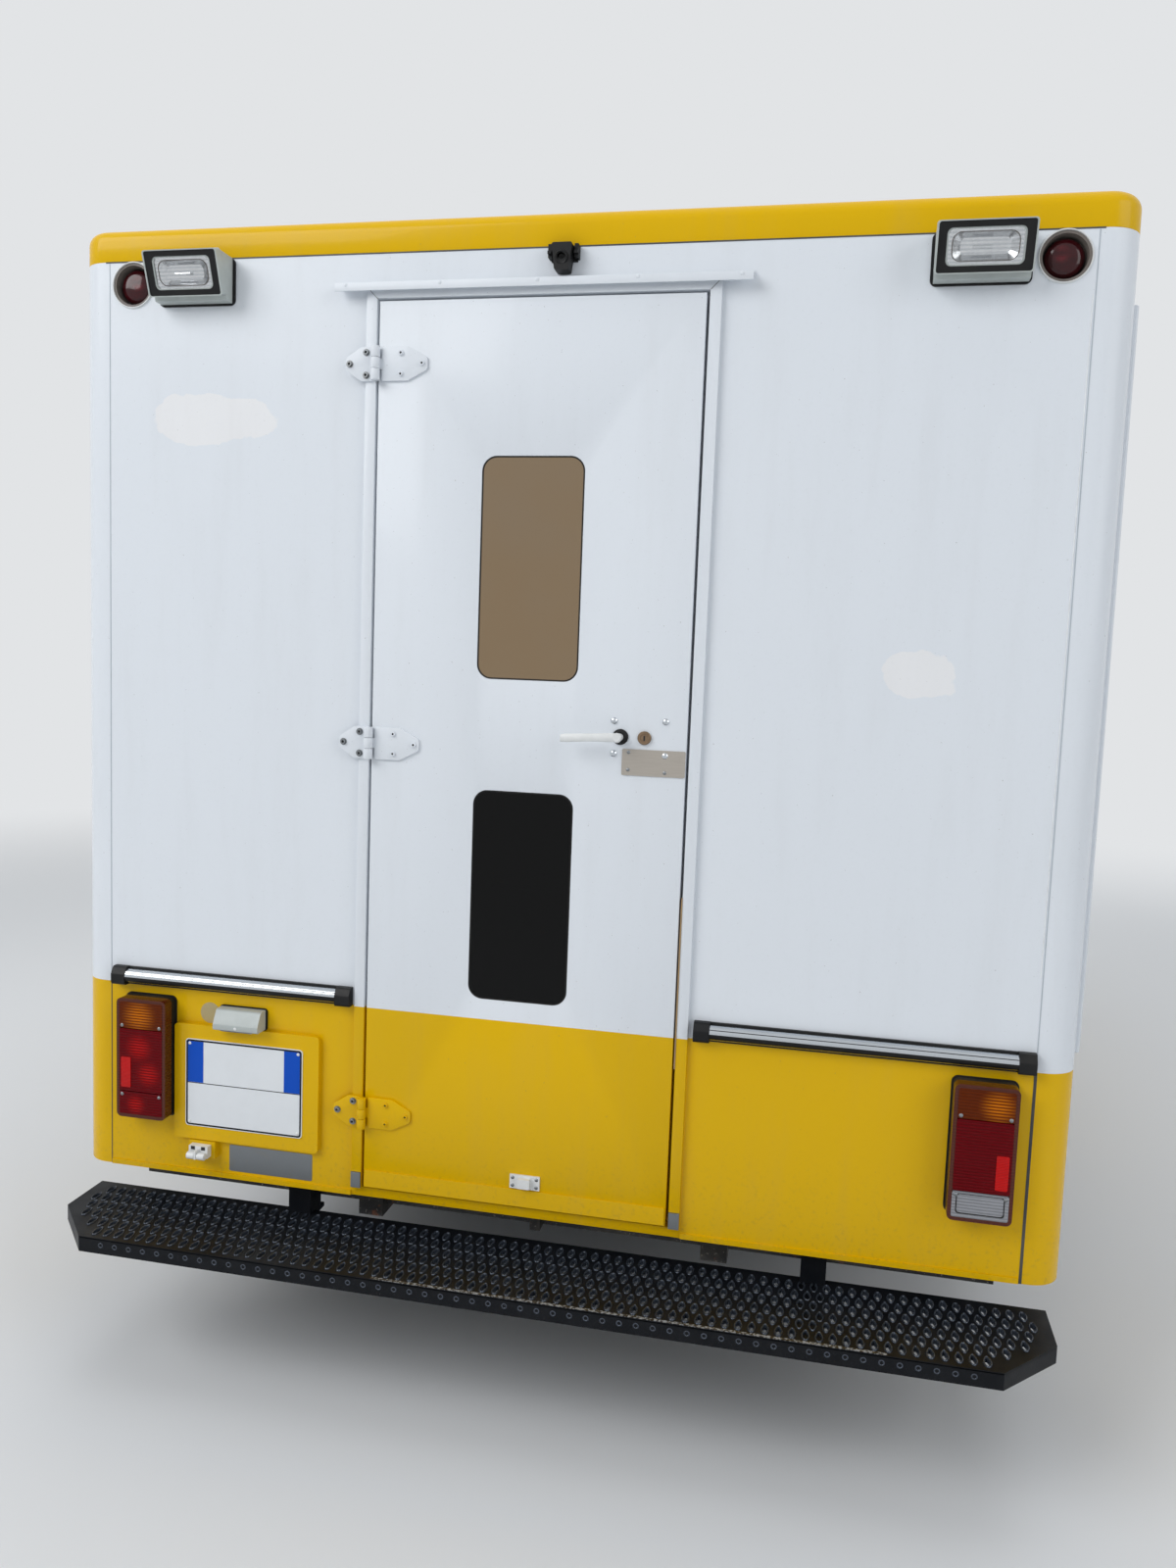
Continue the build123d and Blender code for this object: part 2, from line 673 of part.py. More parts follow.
def mirror_unit(sign):
    """Give one door mirror on its two arms."""
    with BuildPart() as unit:
        span = sorted((sign * MIRROR_SPAN_X[0], sign * MIRROR_SPAN_X[1]))
        block(span, (MIRROR_Y - 35, MIRROR_Y + 40), MIRROR_SPAN_Z)
        fillet(unit.edges(), 18)
        foot = sorted((sign * (CAB_HALF_WIDTH + SEAT), sign * (CAB_HALF_WIDTH + 14)))
        for height in (MIRROR_SPAN_Z[0] - 150, MIRROR_SPAN_Z[0] - 70):
            block(foot, (MIRROR_Y - 22, MIRROR_Y + 22), (height - 22, height + 22))
            start = (sign * (CAB_HALF_WIDTH + 8), MIRROR_Y, height)
            rod(start, (sign * (MIRROR_SPAN_X[0] + 60), MIRROR_Y, height + 10), 9)
        height = MIRROR_SPAN_Z[0] - 150
        start = (sign * (MIRROR_SPAN_X[0] + 55), MIRROR_Y, height + 5)
        rod(start, (sign * (MIRROR_SPAN_X[0] + 55), MIRROR_Y, MIRROR_SPAN_Z[0] + 30), 9)
    return unit


# Box body

def wall_arch(mode=Mode.SUBTRACT):
    """Cut the rear wheel openings through the side walls."""
    for name, sign in SIDES:
        add(wheel_space(REAR_AXLE_Y, ARCH_RADIUS, BOX_HALF - WALL - 5, BOX_HALF + 5, sign), mode=mode)


# Side door in the right wall, hinged at its front edge
SIDE_DOOR_FRONT = BOX_FRONT - 160
SIDE_DOOR_WIDTH = 640
SIDE_DOOR_LOW = FLOOR_TOP - 12
SIDE_DOOR_HIGH = 2420
SIDE_DOOR_REAR = SIDE_DOOR_FRONT - SIDE_DOOR_WIDTH
SIDE_DOOR_SWING_GAP = 8
SIDE_HINGE_HEIGHTS = (700, 1450, 2250)
PANE_MARGIN = 130
SIDE_PANE = (1500, 2080)
LEFT_PANES = ((-2250, -1650), (-300, 400))
LEFT_PANE_Z = (1550, 2080)


def pane_cut(x_span, y_span, z_span, shrink=0, mode=Mode.SUBTRACT):
    """Cut, or fill, a round-cornered window in a side wall."""
    with BuildSketch(Plane.YZ.offset(x_span[0])) as shape:
        with Locations(((y_span[0] + y_span[1]) / 2, (z_span[0] + z_span[1]) / 2)):
            RectangleRounded(
                y_span[1] - y_span[0] - 2 * shrink,
                z_span[1] - z_span[0] - 2 * shrink,
                WINDOW_RADIUS * 2,
            )
    extrude(shape.sketch, amount=x_span[1] - x_span[0], mode=mode)


WALL_Y = (REAR_FACE + POST_WIDTH, BOX_FRONT - POST_WIDTH)
with BuildPart() as box_side_left:
    block((-BOX_HALF, WALL - BOX_HALF), WALL_Y, (BOX_BOTTOM, ROOF_SEAM))
    wall_arch()
    for span in LEFT_PANES:
        pane_cut((-BOX_HALF - 5, WALL - BOX_HALF + 5), span, LEFT_PANE_Z)

with BuildPart() as box_side_right:
    block((BOX_HALF - WALL, BOX_HALF), WALL_Y, (BOX_BOTTOM, ROOF_SEAM))
    wall_arch()
    block(
        (BOX_HALF - WALL - 5, BOX_HALF + 5),
        (SIDE_DOOR_REAR - SIDE_DOOR_SWING_GAP, SIDE_DOOR_FRONT + PANEL_GAP),
        (SIDE_DOOR_LOW - PANEL_GAP, SIDE_DOOR_HIGH + PANEL_GAP),
        mode=Mode.SUBTRACT,
    )
    hinge_half(BOX_HALF, SIDE_DOOR_FRONT, SIDE_HINGE_HEIGHTS, 1, moving=False)

SIDE_PANE_Y = (SIDE_DOOR_REAR + PANE_MARGIN, SIDE_DOOR_FRONT - PANE_MARGIN)
with BuildPart() as side_door:
    block(
        (BOX_HALF - WALL, BOX_HALF),
        (SIDE_DOOR_REAR, SIDE_DOOR_FRONT),
        (SIDE_DOOR_LOW, SIDE_DOOR_HIGH),
    )
    pane_cut((BOX_HALF - WALL - 5, BOX_HALF + 5), SIDE_PANE_Y, SIDE_PANE)
    # Pull handle near the rear edge
    handle_y = SIDE_DOOR_REAR + 60
    for height in (1130, 1270):
        rod((BOX_HALF - 2, handle_y, height), (BOX_HALF + 45, handle_y, height), 9)
    rod((BOX_HALF + 45, handle_y, 1115), (BOX_HALF + 45, handle_y, 1285), 10)
    hinge_half(BOX_HALF, SIDE_DOOR_FRONT, SIDE_HINGE_HEIGHTS, 1, moving=True)

PANE_X = (BOX_HALF - WALL / 2 - GLASS_THICKNESS / 2, BOX_HALF - WALL / 2 + GLASS_THICKNESS / 2)
with BuildPart() as side_door_glass:
    pane_cut(PANE_X, SIDE_PANE_Y, SIDE_PANE, GLASS_FIT, Mode.ADD)

with BuildPart() as side_windows:
    for span in LEFT_PANES:
        pane_cut((-PANE_X[1], -PANE_X[0]), span, LEFT_PANE_Z, GLASS_FIT, Mode.ADD)

# Corner posts: an L of wall thickness with a round outer corner
with BuildPart() as corner_posts:
    for corner_y, inward in ((REAR_FACE, 1), (BOX_FRONT, -1)):
        for name, sign in SIDES:
            near = corner_y + inward * WALL
            far = corner_y + inward * POST_WIDTH
            with BuildSketch(Plane.XY.offset(BOX_BOTTOM)):
                outline(
                    (
                        (sign * POST_SEAM_X, corner_y, 0),
                        (sign * BOX_HALF, corner_y, CORNER_RADIUS),
                        (sign * BOX_HALF, far, 0),
                        (sign * (BOX_HALF - WALL), far, 0),
                        (sign * (BOX_HALF - WALL), near, CORNER_RADIUS - WALL),
                        (sign * POST_SEAM_X, near, 0),
                    )
                )
            extrude(amount=ROOF_SEAM - BOX_BOTTOM)

# Floor with the two rear wheel boxes
FLOOR_HALF = BOX_HALF - WALL - SEAT
WHEEL_BOX_X = 680
with BuildPart() as box_floor:
    block(
        (-FLOOR_HALF, FLOOR_HALF),
        (REAR_FACE + WALL + SEAT, BOX_FRONT - WALL - SEAT),
        (FLOOR_LOW, FLOOR_TOP),
    )
    for name, sign in SIDES:
        add(wheel_space(REAR_AXLE_Y, ARCH_RADIUS + ARCH_WALL, WHEEL_BOX_X, FLOOR_HALF, sign))
    for name, sign in SIDES:
        inner = WHEEL_BOX_X + ARCH_WALL
        add(wheel_space(REAR_AXLE_Y, ARCH_RADIUS, inner, BOX_HALF, sign), mode=Mode.SUBTRACT)
    block(
        (-BOX_HALF, BOX_HALF),
        (REAR_FACE, BOX_FRONT),
        (-CAB_REACH, FLOOR_LOW),
        mode=Mode.SUBTRACT,
    )
    # Inner corners clear the posts
    for corner_y in (REAR_FACE, BOX_FRONT):
        for name, sign in SIDES:
            with Locations((sign * BOX_HALF, corner_y, (FLOOR_LOW + FLOOR_TOP) / 2)):
                Box(2 * (CORNER_RADIUS + 12), 2 * (CORNER_RADIUS + 12), 500, mode=Mode.SUBTRACT)

with BuildPart() as box_front_wall:
    block((-POST_SEAM_X, POST_SEAM_X), (BOX_FRONT - WALL, BOX_FRONT), (FLOOR_LOW, ROOF_SEAM))

FRAME_OUT_LEFT = FRAME_LEFT - FRAME_FACE
FRAME_OUT_RIGHT = FRAME_RIGHT + FRAME_FACE
FRAME_IN_TOP = BOX_BOTTOM + FRAME_TOP
FRAME_OUT_TOP = FRAME_IN_TOP + FRAME_FACE
SILL_TOP = BOX_BOTTOM + DOOR_LOW - DOOR_GAP
MARKER_X = 993
MARKER_Z = BOX_BOTTOM + 2062
MARKER_RADIUS = 43
with BuildPart() as box_rear_wall:
    block((-POST_SEAM_X, POST_SEAM_X), (REAR_FACE, REAR_FACE + WALL), (BOX_BOTTOM, ROOF_SEAM))
    block(
        (FRAME_OUT_LEFT, FRAME_OUT_RIGHT),
        (REAR_FACE - 5, REAR_FACE + WALL + 5),
        (BOX_BOTTOM - 5, FRAME_OUT_TOP),
        mode=Mode.SUBTRACT,
    )
    for name, sign in SIDES:
        start = (sign * MARKER_X, REAR_FACE - 5, MARKER_Z)
        rod(start, (sign * MARKER_X, REAR_FACE + WALL + 5, MARKER_Z), MARKER_RADIUS, Mode.SUBTRACT)

# Rain channel over the door, columns: out from the wall, height above its foot
RAIN_X = (-495, 401)
RAIN_LIP = (REAR_FACE, FRAME_OUT_TOP + 1.5)
RAIN_SECTION = ((0, 0), (26, 0), (26, -14), (29, -14), (29, 3), (7, 6), (4, 11), (0, 11))
# Door frame: a proud ring, a sill, and the stop that the leaf shuts against
STOP_LIP = 20
STOP_THICKNESS = 6
with BuildPart() as rear_door_frame:
    block(
        (FRAME_OUT_LEFT, FRAME_OUT_RIGHT),
        (DOOR_FACE_Y, REAR_FACE + WALL),
        (SILL_TOP, FRAME_OUT_TOP),
    )
    block(
        (FRAME_LEFT, FRAME_RIGHT),
        (DOOR_FACE_Y - 5, REAR_FACE + WALL + 5),
        (SILL_TOP - 5, FRAME_IN_TOP),
        mode=Mode.SUBTRACT,
    )
    block(
        (FRAME_OUT_LEFT, FRAME_OUT_RIGHT),
        (REAR_FACE, REAR_FACE + WALL),
        (BOX_BOTTOM, SILL_TOP),
    )
    stop_y = (REAR_FACE + WALL - STOP_THICKNESS, REAR_FACE + WALL)
    block((FRAME_LEFT, FRAME_LEFT + STOP_LIP), stop_y, (SILL_TOP, FRAME_IN_TOP))
    block((FRAME_RIGHT - STOP_LIP, FRAME_RIGHT), stop_y, (SILL_TOP, FRAME_IN_TOP))
    block((FRAME_LEFT, FRAME_RIGHT), stop_y, (FRAME_IN_TOP - STOP_LIP, FRAME_IN_TOP))
    # The rain channel stands on the wall above the ring
    with BuildSketch(Plane.YZ.offset(RAIN_X[0])):
        outline([(RAIN_LIP[0] - out, RAIN_LIP[1] + up, 0) for out, up in RAIN_SECTION])
    extrude(amount=RAIN_X[1] - RAIN_X[0])

# Rear door leaf, panes, hinges and furniture
LEAF_Y = (DOOR_FACE_Y, DOOR_FACE_Y + DOOR_THICKNESS)
PANE_Y = (LEAF_Y[0] + 10, LEAF_Y[0] + 10 + GLASS_THICKNESS)
DOOR_PANES = (UPPER_WINDOW, LOWER_WINDOW)


def door_pane(y_span, low, high, shrink=0, mode=Mode.SUBTRACT):
    """Cut, or fill, one round-cornered window of the rear door."""
    with BuildSketch(Plane.XZ.offset(-y_span[1])) as shape:
        with Locations((WINDOW_LEFT + WINDOW_WIDTH / 2, BOX_BOTTOM + (low + high) / 2)):
            RectangleRounded(
                WINDOW_WIDTH - 2 * shrink, high - low - 2 * shrink, WINDOW_RADIUS
            )
    extrude(shape.sketch, amount=y_span[1] - y_span[0], mode=mode)


with BuildPart() as rear_door:
    block((DOOR_LEFT, DOOR_RIGHT), LEAF_Y, (BOX_BOTTOM + DOOR_LOW, BOX_BOTTOM + DOOR_HIGH))
    for low, high in DOOR_PANES:
        door_pane((LEAF_Y[0] - 5, LEAF_Y[1] + 5), low, high)

with BuildPart() as rear_door_glass:
    for low, high in DOOR_PANES:
        door_pane(PANE_Y, low, high, GLASS_FIT, Mode.ADD)

LEAF_FACE = (DOOR_FACE_Y - HINGE_LEAF_THICKNESS, DOOR_FACE_Y)
KNUCKLE_THIRD = HINGE_LEAF_HEIGHT / 3
LEAF_EDGE = KNUCKLE_RADIUS + 1.5
with BuildPart() as rear_door_hinges:
    for height in HINGE_HEIGHTS:
        middle = BOX_BOTTOM + height
        with BuildSketch(Plane.XZ.offset(-LEAF_FACE[1])) as leaf:
            outline(
                (
                    (HINGE_X + LEAF_EDGE, middle - HINGE_LEAF_HEIGHT / 2, 4),
                    (HINGE_X + 70, middle - HINGE_LEAF_HEIGHT / 2, 12),
                    (HINGE_X + MOVING_LEAF_LENGTH, middle - 13, 11),
                    (HINGE_X + MOVING_LEAF_LENGTH, middle + 13, 11),
                    (HINGE_X + 70, middle + HINGE_LEAF_HEIGHT / 2, 12),
                    (HINGE_X + LEAF_EDGE, middle + HINGE_LEAF_HEIGHT / 2, 4),
                )
            )
        extrude(amount=HINGE_LEAF_THICKNESS)
        tongue = (middle - KNUCKLE_THIRD / 2 + LUG_GAP, middle + KNUCKLE_THIRD / 2 - LUG_GAP)
        block((HINGE_X, HINGE_X + LEAF_EDGE + 2), LEAF_FACE, tongue)
        rod((HINGE_X, HINGE_Y, tongue[0]), (HINGE_X, HINGE_Y, tongue[1]), KNUCKLE_RADIUS)
        bore = PIN_RADIUS + PIN_CLEARANCE
        rod((HINGE_X, HINGE_Y, tongue[0]), (HINGE_X, HINGE_Y, tongue[1]), bore, Mode.SUBTRACT)

with BuildPart() as rear_hinges:
    for height in HINGE_HEIGHTS:
        middle = BOX_BOTTOM + height
        with BuildSketch(Plane.XZ.offset(-LEAF_FACE[1])) as leaf:
            outline(
                (
                    (HINGE_X - LEAF_EDGE, middle - HINGE_LEAF_HEIGHT / 2, 4),
                    (HINGE_X - LEAF_EDGE, middle + HINGE_LEAF_HEIGHT / 2, 4),
                    (HINGE_X - 36, middle + HINGE_LEAF_HEIGHT / 2, 10),
                    (HINGE_X - FIXED_LEAF_LENGTH, middle + 12, 10),
                    (HINGE_X - FIXED_LEAF_LENGTH, middle - 12, 10),
                    (HINGE_X - 36, middle - HINGE_LEAF_HEIGHT / 2, 10),
                )
            )
        extrude(amount=HINGE_LEAF_THICKNESS)
        # Packing between the leaf and the wall beside the proud frame
        block(
            (HINGE_X - FIXED_LEAF_LENGTH + 4, FRAME_OUT_LEFT - SEAT),
            (DOOR_FACE_Y, REAR_FACE),
            (middle - 12, middle + 12),
        )
        for low, high in ((-3, -1), (1, 3)):
            span = (
                middle + low * KNUCKLE_THIRD / 2 + LUG_GAP,
                middle + high * KNUCKLE_THIRD / 2 - LUG_GAP,
            )
            block((HINGE_X - LEAF_EDGE - 2, HINGE_X), LEAF_FACE, span)
            rod((HINGE_X, HINGE_Y, span[0]), (HINGE_X, HINGE_Y, span[1]), KNUCKLE_RADIUS)
        low = middle - HINGE_LEAF_HEIGHT / 2
        rod((HINGE_X, HINGE_Y, low), (HINGE_X, HINGE_Y, low + HINGE_LEAF_HEIGHT), PIN_RADIUS)

HANDLE_X = 165
HANDLE_Z = BOX_BOTTOM + 1098
LOCK_X = 217
LOCK_PLATE_X = (170, 306)
LOCK_PLATE_Z = (BOX_BOTTOM + 1017, BOX_BOTTOM + 1073)
STRIKER_X = (-47, 22)
STRIKER_Z = (BOX_BOTTOM + 73, BOX_BOTTOM + 105)
with BuildPart() as door_hardware:
    face = DOOR_FACE_Y
    rod((HANDLE_X, face, HANDLE_Z), (HANDLE_X, face - 9, HANDLE_Z), 16)
    rod((HANDLE_X, face - 9, HANDLE_Z), (HANDLE_X, face - 50, HANDLE_Z), 9)
    rod((HANDLE_X, face - 50, HANDLE_Z), (HANDLE_X - 122, face - 50, HANDLE_Z + 4), 10)
    with Locations((HANDLE_X, face - 50, HANDLE_Z)):
        Sphere(10)
    rod((LOCK_X, face, HANDLE_Z), (LOCK_X, face - 7, HANDLE_Z), 14)
    block(LOCK_PLATE_X, (face - 2, face), LOCK_PLATE_Z)
    block(STRIKER_X, (face - 3, face), STRIKER_Z)
    middle_x = (STRIKER_X[0] + STRIKER_X[1]) / 2
    block((middle_x - 14, middle_x + 14), (face - 16, face - 3), (STRIKER_Z[0] + 4, STRIKER_Z[1] - 4))

# Roof cap, and the fairing that leads from the cab roof up to it
FAIRING_LENGTH = 640
FAIRING_HALF = 800
FAIRING_WALL = 25
FAIRING_LOW = CAB_ROOF + 8


def fairing(inset):
    """Give the fairing's form over the cab, moved inwards by inset."""
    with BuildPart() as form:
        with BuildSketch(Plane.YZ.offset(-CAB_REACH)):
            outline(
                (
                    (BOX_FRONT - 40, FAIRING_LOW, 0),
                    (BOX_FRONT + FAIRING_LENGTH - inset, FAIRING_LOW, 0),
                    (BOX_FRONT + FAIRING_LENGTH - inset, FAIRING_LOW + 20, 15),
                    (BOX_FRONT + 330, BOX_TOP - 150 - inset, 260),
                    (BOX_FRONT + 90, BOX_TOP - 8 - inset, 120),
                    (BOX_FRONT - 40, BOX_TOP - 8 - inset, 0),
                )
            )
        extrude(amount=2 * CAB_REACH)
        with BuildSketch(Plane.XY):
            outline(
                (
                    (FAIRING_HALF + 60 - inset, BOX_FRONT - 60, 0),
                    (FAIRING_HALF + 60 - inset, BOX_FRONT + 60, 60),
                    (FAIRING_HALF - 90 - inset, BOX_FRONT + FAIRING_LENGTH + 10, 90),
                    (90 + inset - FAIRING_HALF, BOX_FRONT + FAIRING_LENGTH + 10, 90),
                    (inset - 60 - FAIRING_HALF, BOX_FRONT + 60, 60),
                    (inset - 60 - FAIRING_HALF, BOX_FRONT - 60, 0),
                )
            )
        extrude(amount=CAB_REACH, mode=Mode.INTERSECT)
    return form.part


with BuildPart() as roof_cap:
    with BuildSketch(Plane.XY.offset(ROOF_SEAM)):
        with Locations((0, (REAR_FACE + BOX_FRONT) / 2)):
            RectangleRounded(BOX_WIDTH, BOX_LENGTH, CORNER_RADIUS)
    extrude(amount=CAP_HEIGHT)
    fillet(roof_cap.faces().sort_by(Axis.Z)[-1].edges(), CAP_EDGE)
    with BuildSketch(Plane.XY.offset(ROOF_SEAM)):
        with Locations((0, (REAR_FACE + BOX_FRONT) / 2)):
            RectangleRounded(BOX_WIDTH - 2 * WALL, BOX_LENGTH - 2 * WALL, CORNER_RADIUS - WALL)
    extrude(amount=CAP_HEIGHT - WALL, mode=Mode.SUBTRACT)

with BuildPart() as cab_fairing:
    add(fairing(0))
    add(fairing(FAIRING_WALL), mode=Mode.SUBTRACT)
    block(
        (-BOX_HALF, BOX_HALF),
        (BOX_FRONT - 100, BOX_FRONT + SEAT),
        (FAIRING_LOW - 10, BOX_TOP),
        mode=Mode.SUBTRACT,
    )

BEACON_X = 760
BEACON_Y = BOX_FRONT - 190
with BuildPart() as beacons:
    for name, sign in SIDES:
        foot = (sign * BEACON_X, BEACON_Y, BOX_TOP)
        rod(foot, (sign * BEACON_X, BEACON_Y, BOX_TOP + 40), 78)
        rod((sign * BEACON_X, BEACON_Y, BOX_TOP + 40), (sign * BEACON_X, BEACON_Y, BOX_TOP + 110), 68)
        with Locations((sign * BEACON_X, BEACON_Y, BOX_TOP + 110)):
            Sphere(68, arc_size1=0)

# Rear fittings
BUFFER_Z = (BOX_BOTTOM + BELT_HEIGHT - 1, BOX_BOTTOM + BELT_HEIGHT - 1 + BUFFER_HEIGHT)
BUFFER_SPANS = ((-1038, -436), (350, 1050))
BUFFER_DEPTH = 25
with BuildPart() as buffer_rails:
    for span in BUFFER_SPANS:
        with BuildSketch(Plane.YZ.offset(span[0])):
            outline(
                (
                    (REAR_FACE, BUFFER_Z[0], 0),
                    (REAR_FACE, BUFFER_Z[1], 0),
                    (REAR_FACE - 15, BUFFER_Z[1], 8),
                    (REAR_FACE - BUFFER_DEPTH, BUFFER_Z[0] + 24, 8),
                    (REAR_FACE - BUFFER_DEPTH, BUFFER_Z[0], 10),
                )
            )
        extrude(amount=span[1] - span[0])

# Tail lamps, columns: low x, high x
TAIL_LAMPS = ((-1008, -882), (891, 1019))
TAIL_Z = (BOX_BOTTOM + 141, BOX_BOTTOM + 429)
TAIL_DEPTH = 50
MARKER_RING = 4
with BuildPart() as rear_lamps:
    for span in TAIL_LAMPS:
        block(span, (REAR_FACE - TAIL_DEPTH, REAR_FACE), TAIL_Z)
    fillet(rear_lamps.edges().group_by(Axis.Y)[0], 12)
    # Round marker lamps: a ring on the wall and a domed lens in its hole
    for name, sign in SIDES:
        centre = (sign * MARKER_X, REAR_FACE, MARKER_Z)
        rod((sign * MARKER_X, REAR_FACE - MARKER_RING, MARKER_Z), centre, MARKER_RADIUS + 8)
        rod((sign * MARKER_X, REAR_FACE - MARKER_RING, MARKER_Z), centre, MARKER_RADIUS, Mode.SUBTRACT)
        lens = MARKER_RADIUS - SEAT
        with BuildSketch(Plane(origin=centre, x_dir=(1, 0, 0), z_dir=(0, 0, 1))):
            with BuildLine():
                dome = ThreePointArc((0, -2), (lens * 0.6, 3.5), (lens - 2, 14))
                Polyline(dome @ 1, (lens, 14), (lens, 24), (0, 24), dome @ 0)
            make_face()
        revolve(axis=Axis(centre, (0, 1, 0)))

# Work lamps: a gasket and a housing whose face looks down
WORK_LAMPS = ((-921, -745), (747, 930))
WORK_Z = (BOX_BOTTOM + 2015, ROOF_SEAM - 2)
WORK_DEPTH = (51, 85)
with BuildPart() as work_lamps:
    for low, high in WORK_LAMPS:
        with BuildSketch(Plane.YZ.offset(low + 6)):
            outline(
                (
                    (REAR_FACE, WORK_Z[0], 0),
                    (REAR_FACE, WORK_Z[1], 0),
                    (REAR_FACE - WORK_DEPTH[1] + 12, WORK_Z[1], 14),
                    (REAR_FACE - WORK_DEPTH[1], WORK_Z[1] - 14, 6),
                    (REAR_FACE - WORK_DEPTH[0], WORK_Z[0], 8),
                )
            )
        extrude(amount=high - low - 12)
        block((low, high), (REAR_FACE - 5, REAR_FACE), WORK_Z)

PLATE_BOARD_X = (-878, -512)
PLATE_BOARD_Z = (BOX_BOTTOM + 92, BOX_BOTTOM + 371)
PLATE_LAMP_X = (-762, -650)
PLATE_LAMP_Z = (BOX_BOTTOM + 372, BOX_BOTTOM + 420)
PLATE_SIZE = (297, 212)
PLATE_X = -848
PLATE_Z = BOX_BOTTOM + 125
with BuildPart() as plate_board:
    block(PLATE_BOARD_X, (REAR_FACE - 13, REAR_FACE), PLATE_BOARD_Z)
    fillet(plate_board.edges().group_by(Axis.Y)[0], 6)
    block(
        (PLATE_X, PLATE_X + PLATE_SIZE[0]),
        (REAR_FACE - 15, REAR_FACE - 13),
        (PLATE_Z, PLATE_Z + PLATE_SIZE[1]),
    )
    with BuildSketch(Plane.YZ.offset(PLATE_LAMP_X[0])):
        outline(
            (
                (REAR_FACE, PLATE_LAMP_Z[0], 0),
                (REAR_FACE, PLATE_LAMP_Z[1], 0),
                (REAR_FACE - 28, PLATE_LAMP_Z[1] - 2, 12),
                (REAR_FACE - 45, PLATE_LAMP_Z[0] + 16, 8),
                (REAR_FACE - 40, PLATE_LAMP_Z[0], 4),
            )
        )
    extrude(amount=PLATE_LAMP_X[1] - PLATE_LAMP_X[0])

CAMERA_X = (-26, 38)
CAMERA_Z = (ROOF_SEAM - 60, ROOF_SEAM - 2)
with BuildPart() as reversing_camera:
    with BuildSketch(Plane.YZ.offset(CAMERA_X[0] + 10)):
        outline(
            (
                (REAR_FACE, CAMERA_Z[0], 0),
                (REAR_FACE, CAMERA_Z[1], 0),
                (REAR_FACE - 44, CAMERA_Z[1], 10),
                (REAR_FACE - 36, CAMERA_Z[0] + 6, 8),
            )
        )
    extrude(amount=CAMERA_X[1] - CAMERA_X[0] - 20)
    middle_z = (CAMERA_Z[0] + CAMERA_Z[1]) / 2
    block(CAMERA_X, (REAR_FACE - 24, REAR_FACE), (middle_z - 14, middle_z + 14))

CATCH_X = (-838, -770)
CATCH_Z = (BOX_BOTTOM + 50, BOX_BOTTOM + 90)
with BuildPart() as door_catch:
    block(CATCH_X, (REAR_FACE - 34, REAR_FACE), CATCH_Z)
    middle_x = (CATCH_X[0] + CATCH_X[1]) / 2
    middle_z = (CATCH_Z[0] + CATCH_Z[1]) / 2
    block((middle_x - 17, middle_x + 17), (REAR_FACE - 60, REAR_FACE - 34), (middle_z - 15, middle_z + 15))

SIDE_PANEL_BACK = 80
SIDE_PANEL_LENGTH = 1000
SIDE_PANEL_Z = (BOX_BOTTOM + 476, BOX_BOTTOM + 1994)
SIDE_PANEL_PROUD = 15
with BuildPart() as side_panel:
    block(
        (BOX_HALF, BOX_HALF + SIDE_PANEL_PROUD),
        (REAR_FACE + SIDE_PANEL_BACK + 6, REAR_FACE + SIDE_PANEL_BACK + SIDE_PANEL_LENGTH),
        SIDE_PANEL_Z,
    )
    fillet(side_panel.edges().group_by(Axis.X)[-1], 5)

# Step with its folded skirt and two brackets to the rear cross-member
STEP_ROWS = (
    (-STEP_HALF_WIDTH, REAR_FACE + STEP_UNDERLAP, 0),
    (-STEP_HALF_WIDTH, REAR_FACE - STEP_PROJECTION + STEP_CHAMFER + 10, 12),
    (STEP_CHAMFER - STEP_HALF_WIDTH, REAR_FACE - STEP_PROJECTION, 12),
    (STEP_HALF_WIDTH - STEP_CHAMFER, REAR_FACE - STEP_PROJECTION, 12),
    (STEP_HALF_WIDTH, REAR_FACE - STEP_PROJECTION + STEP_CHAMFER + 10, 12),
    (STEP_HALF_WIDTH, REAR_FACE + STEP_UNDERLAP, 0),
)
CROSS_LOW = STEP_TOP + 20
with BuildPart() as rear_step:
    with BuildSketch(Plane.XY.offset(STEP_TOP - STEP_SKIRT)):
        outline(STEP_ROWS)
    extrude(amount=STEP_SKIRT)
    with BuildSketch(Plane.XY.offset(STEP_TOP - STEP_SKIRT)):
        outline(STEP_ROWS)
        offset(amount=-STEP_SHEET, kind=Kind.INTERSECTION)
    extrude(amount=STEP_SKIRT - STEP_SHEET, mode=Mode.SUBTRACT)
    for centre in STEP_BRACKETS:
        span = (centre - STEP_BRACKET_WIDTH / 2, centre + STEP_BRACKET_WIDTH / 2)
        block(
            span,
            (REAR_FACE - STEP_PROJECTION + 30, REAR_FACE + 160),
            (STEP_TOP - STEP_SKIRT - 12, STEP_TOP - STEP_SHEET),
        )
        block(
            span,
            (REAR_FACE + STEP_UNDERLAP, REAR_FACE + 160),
            (STEP_TOP - STEP_SHEET, CROSS_LOW - SEAT),
        )

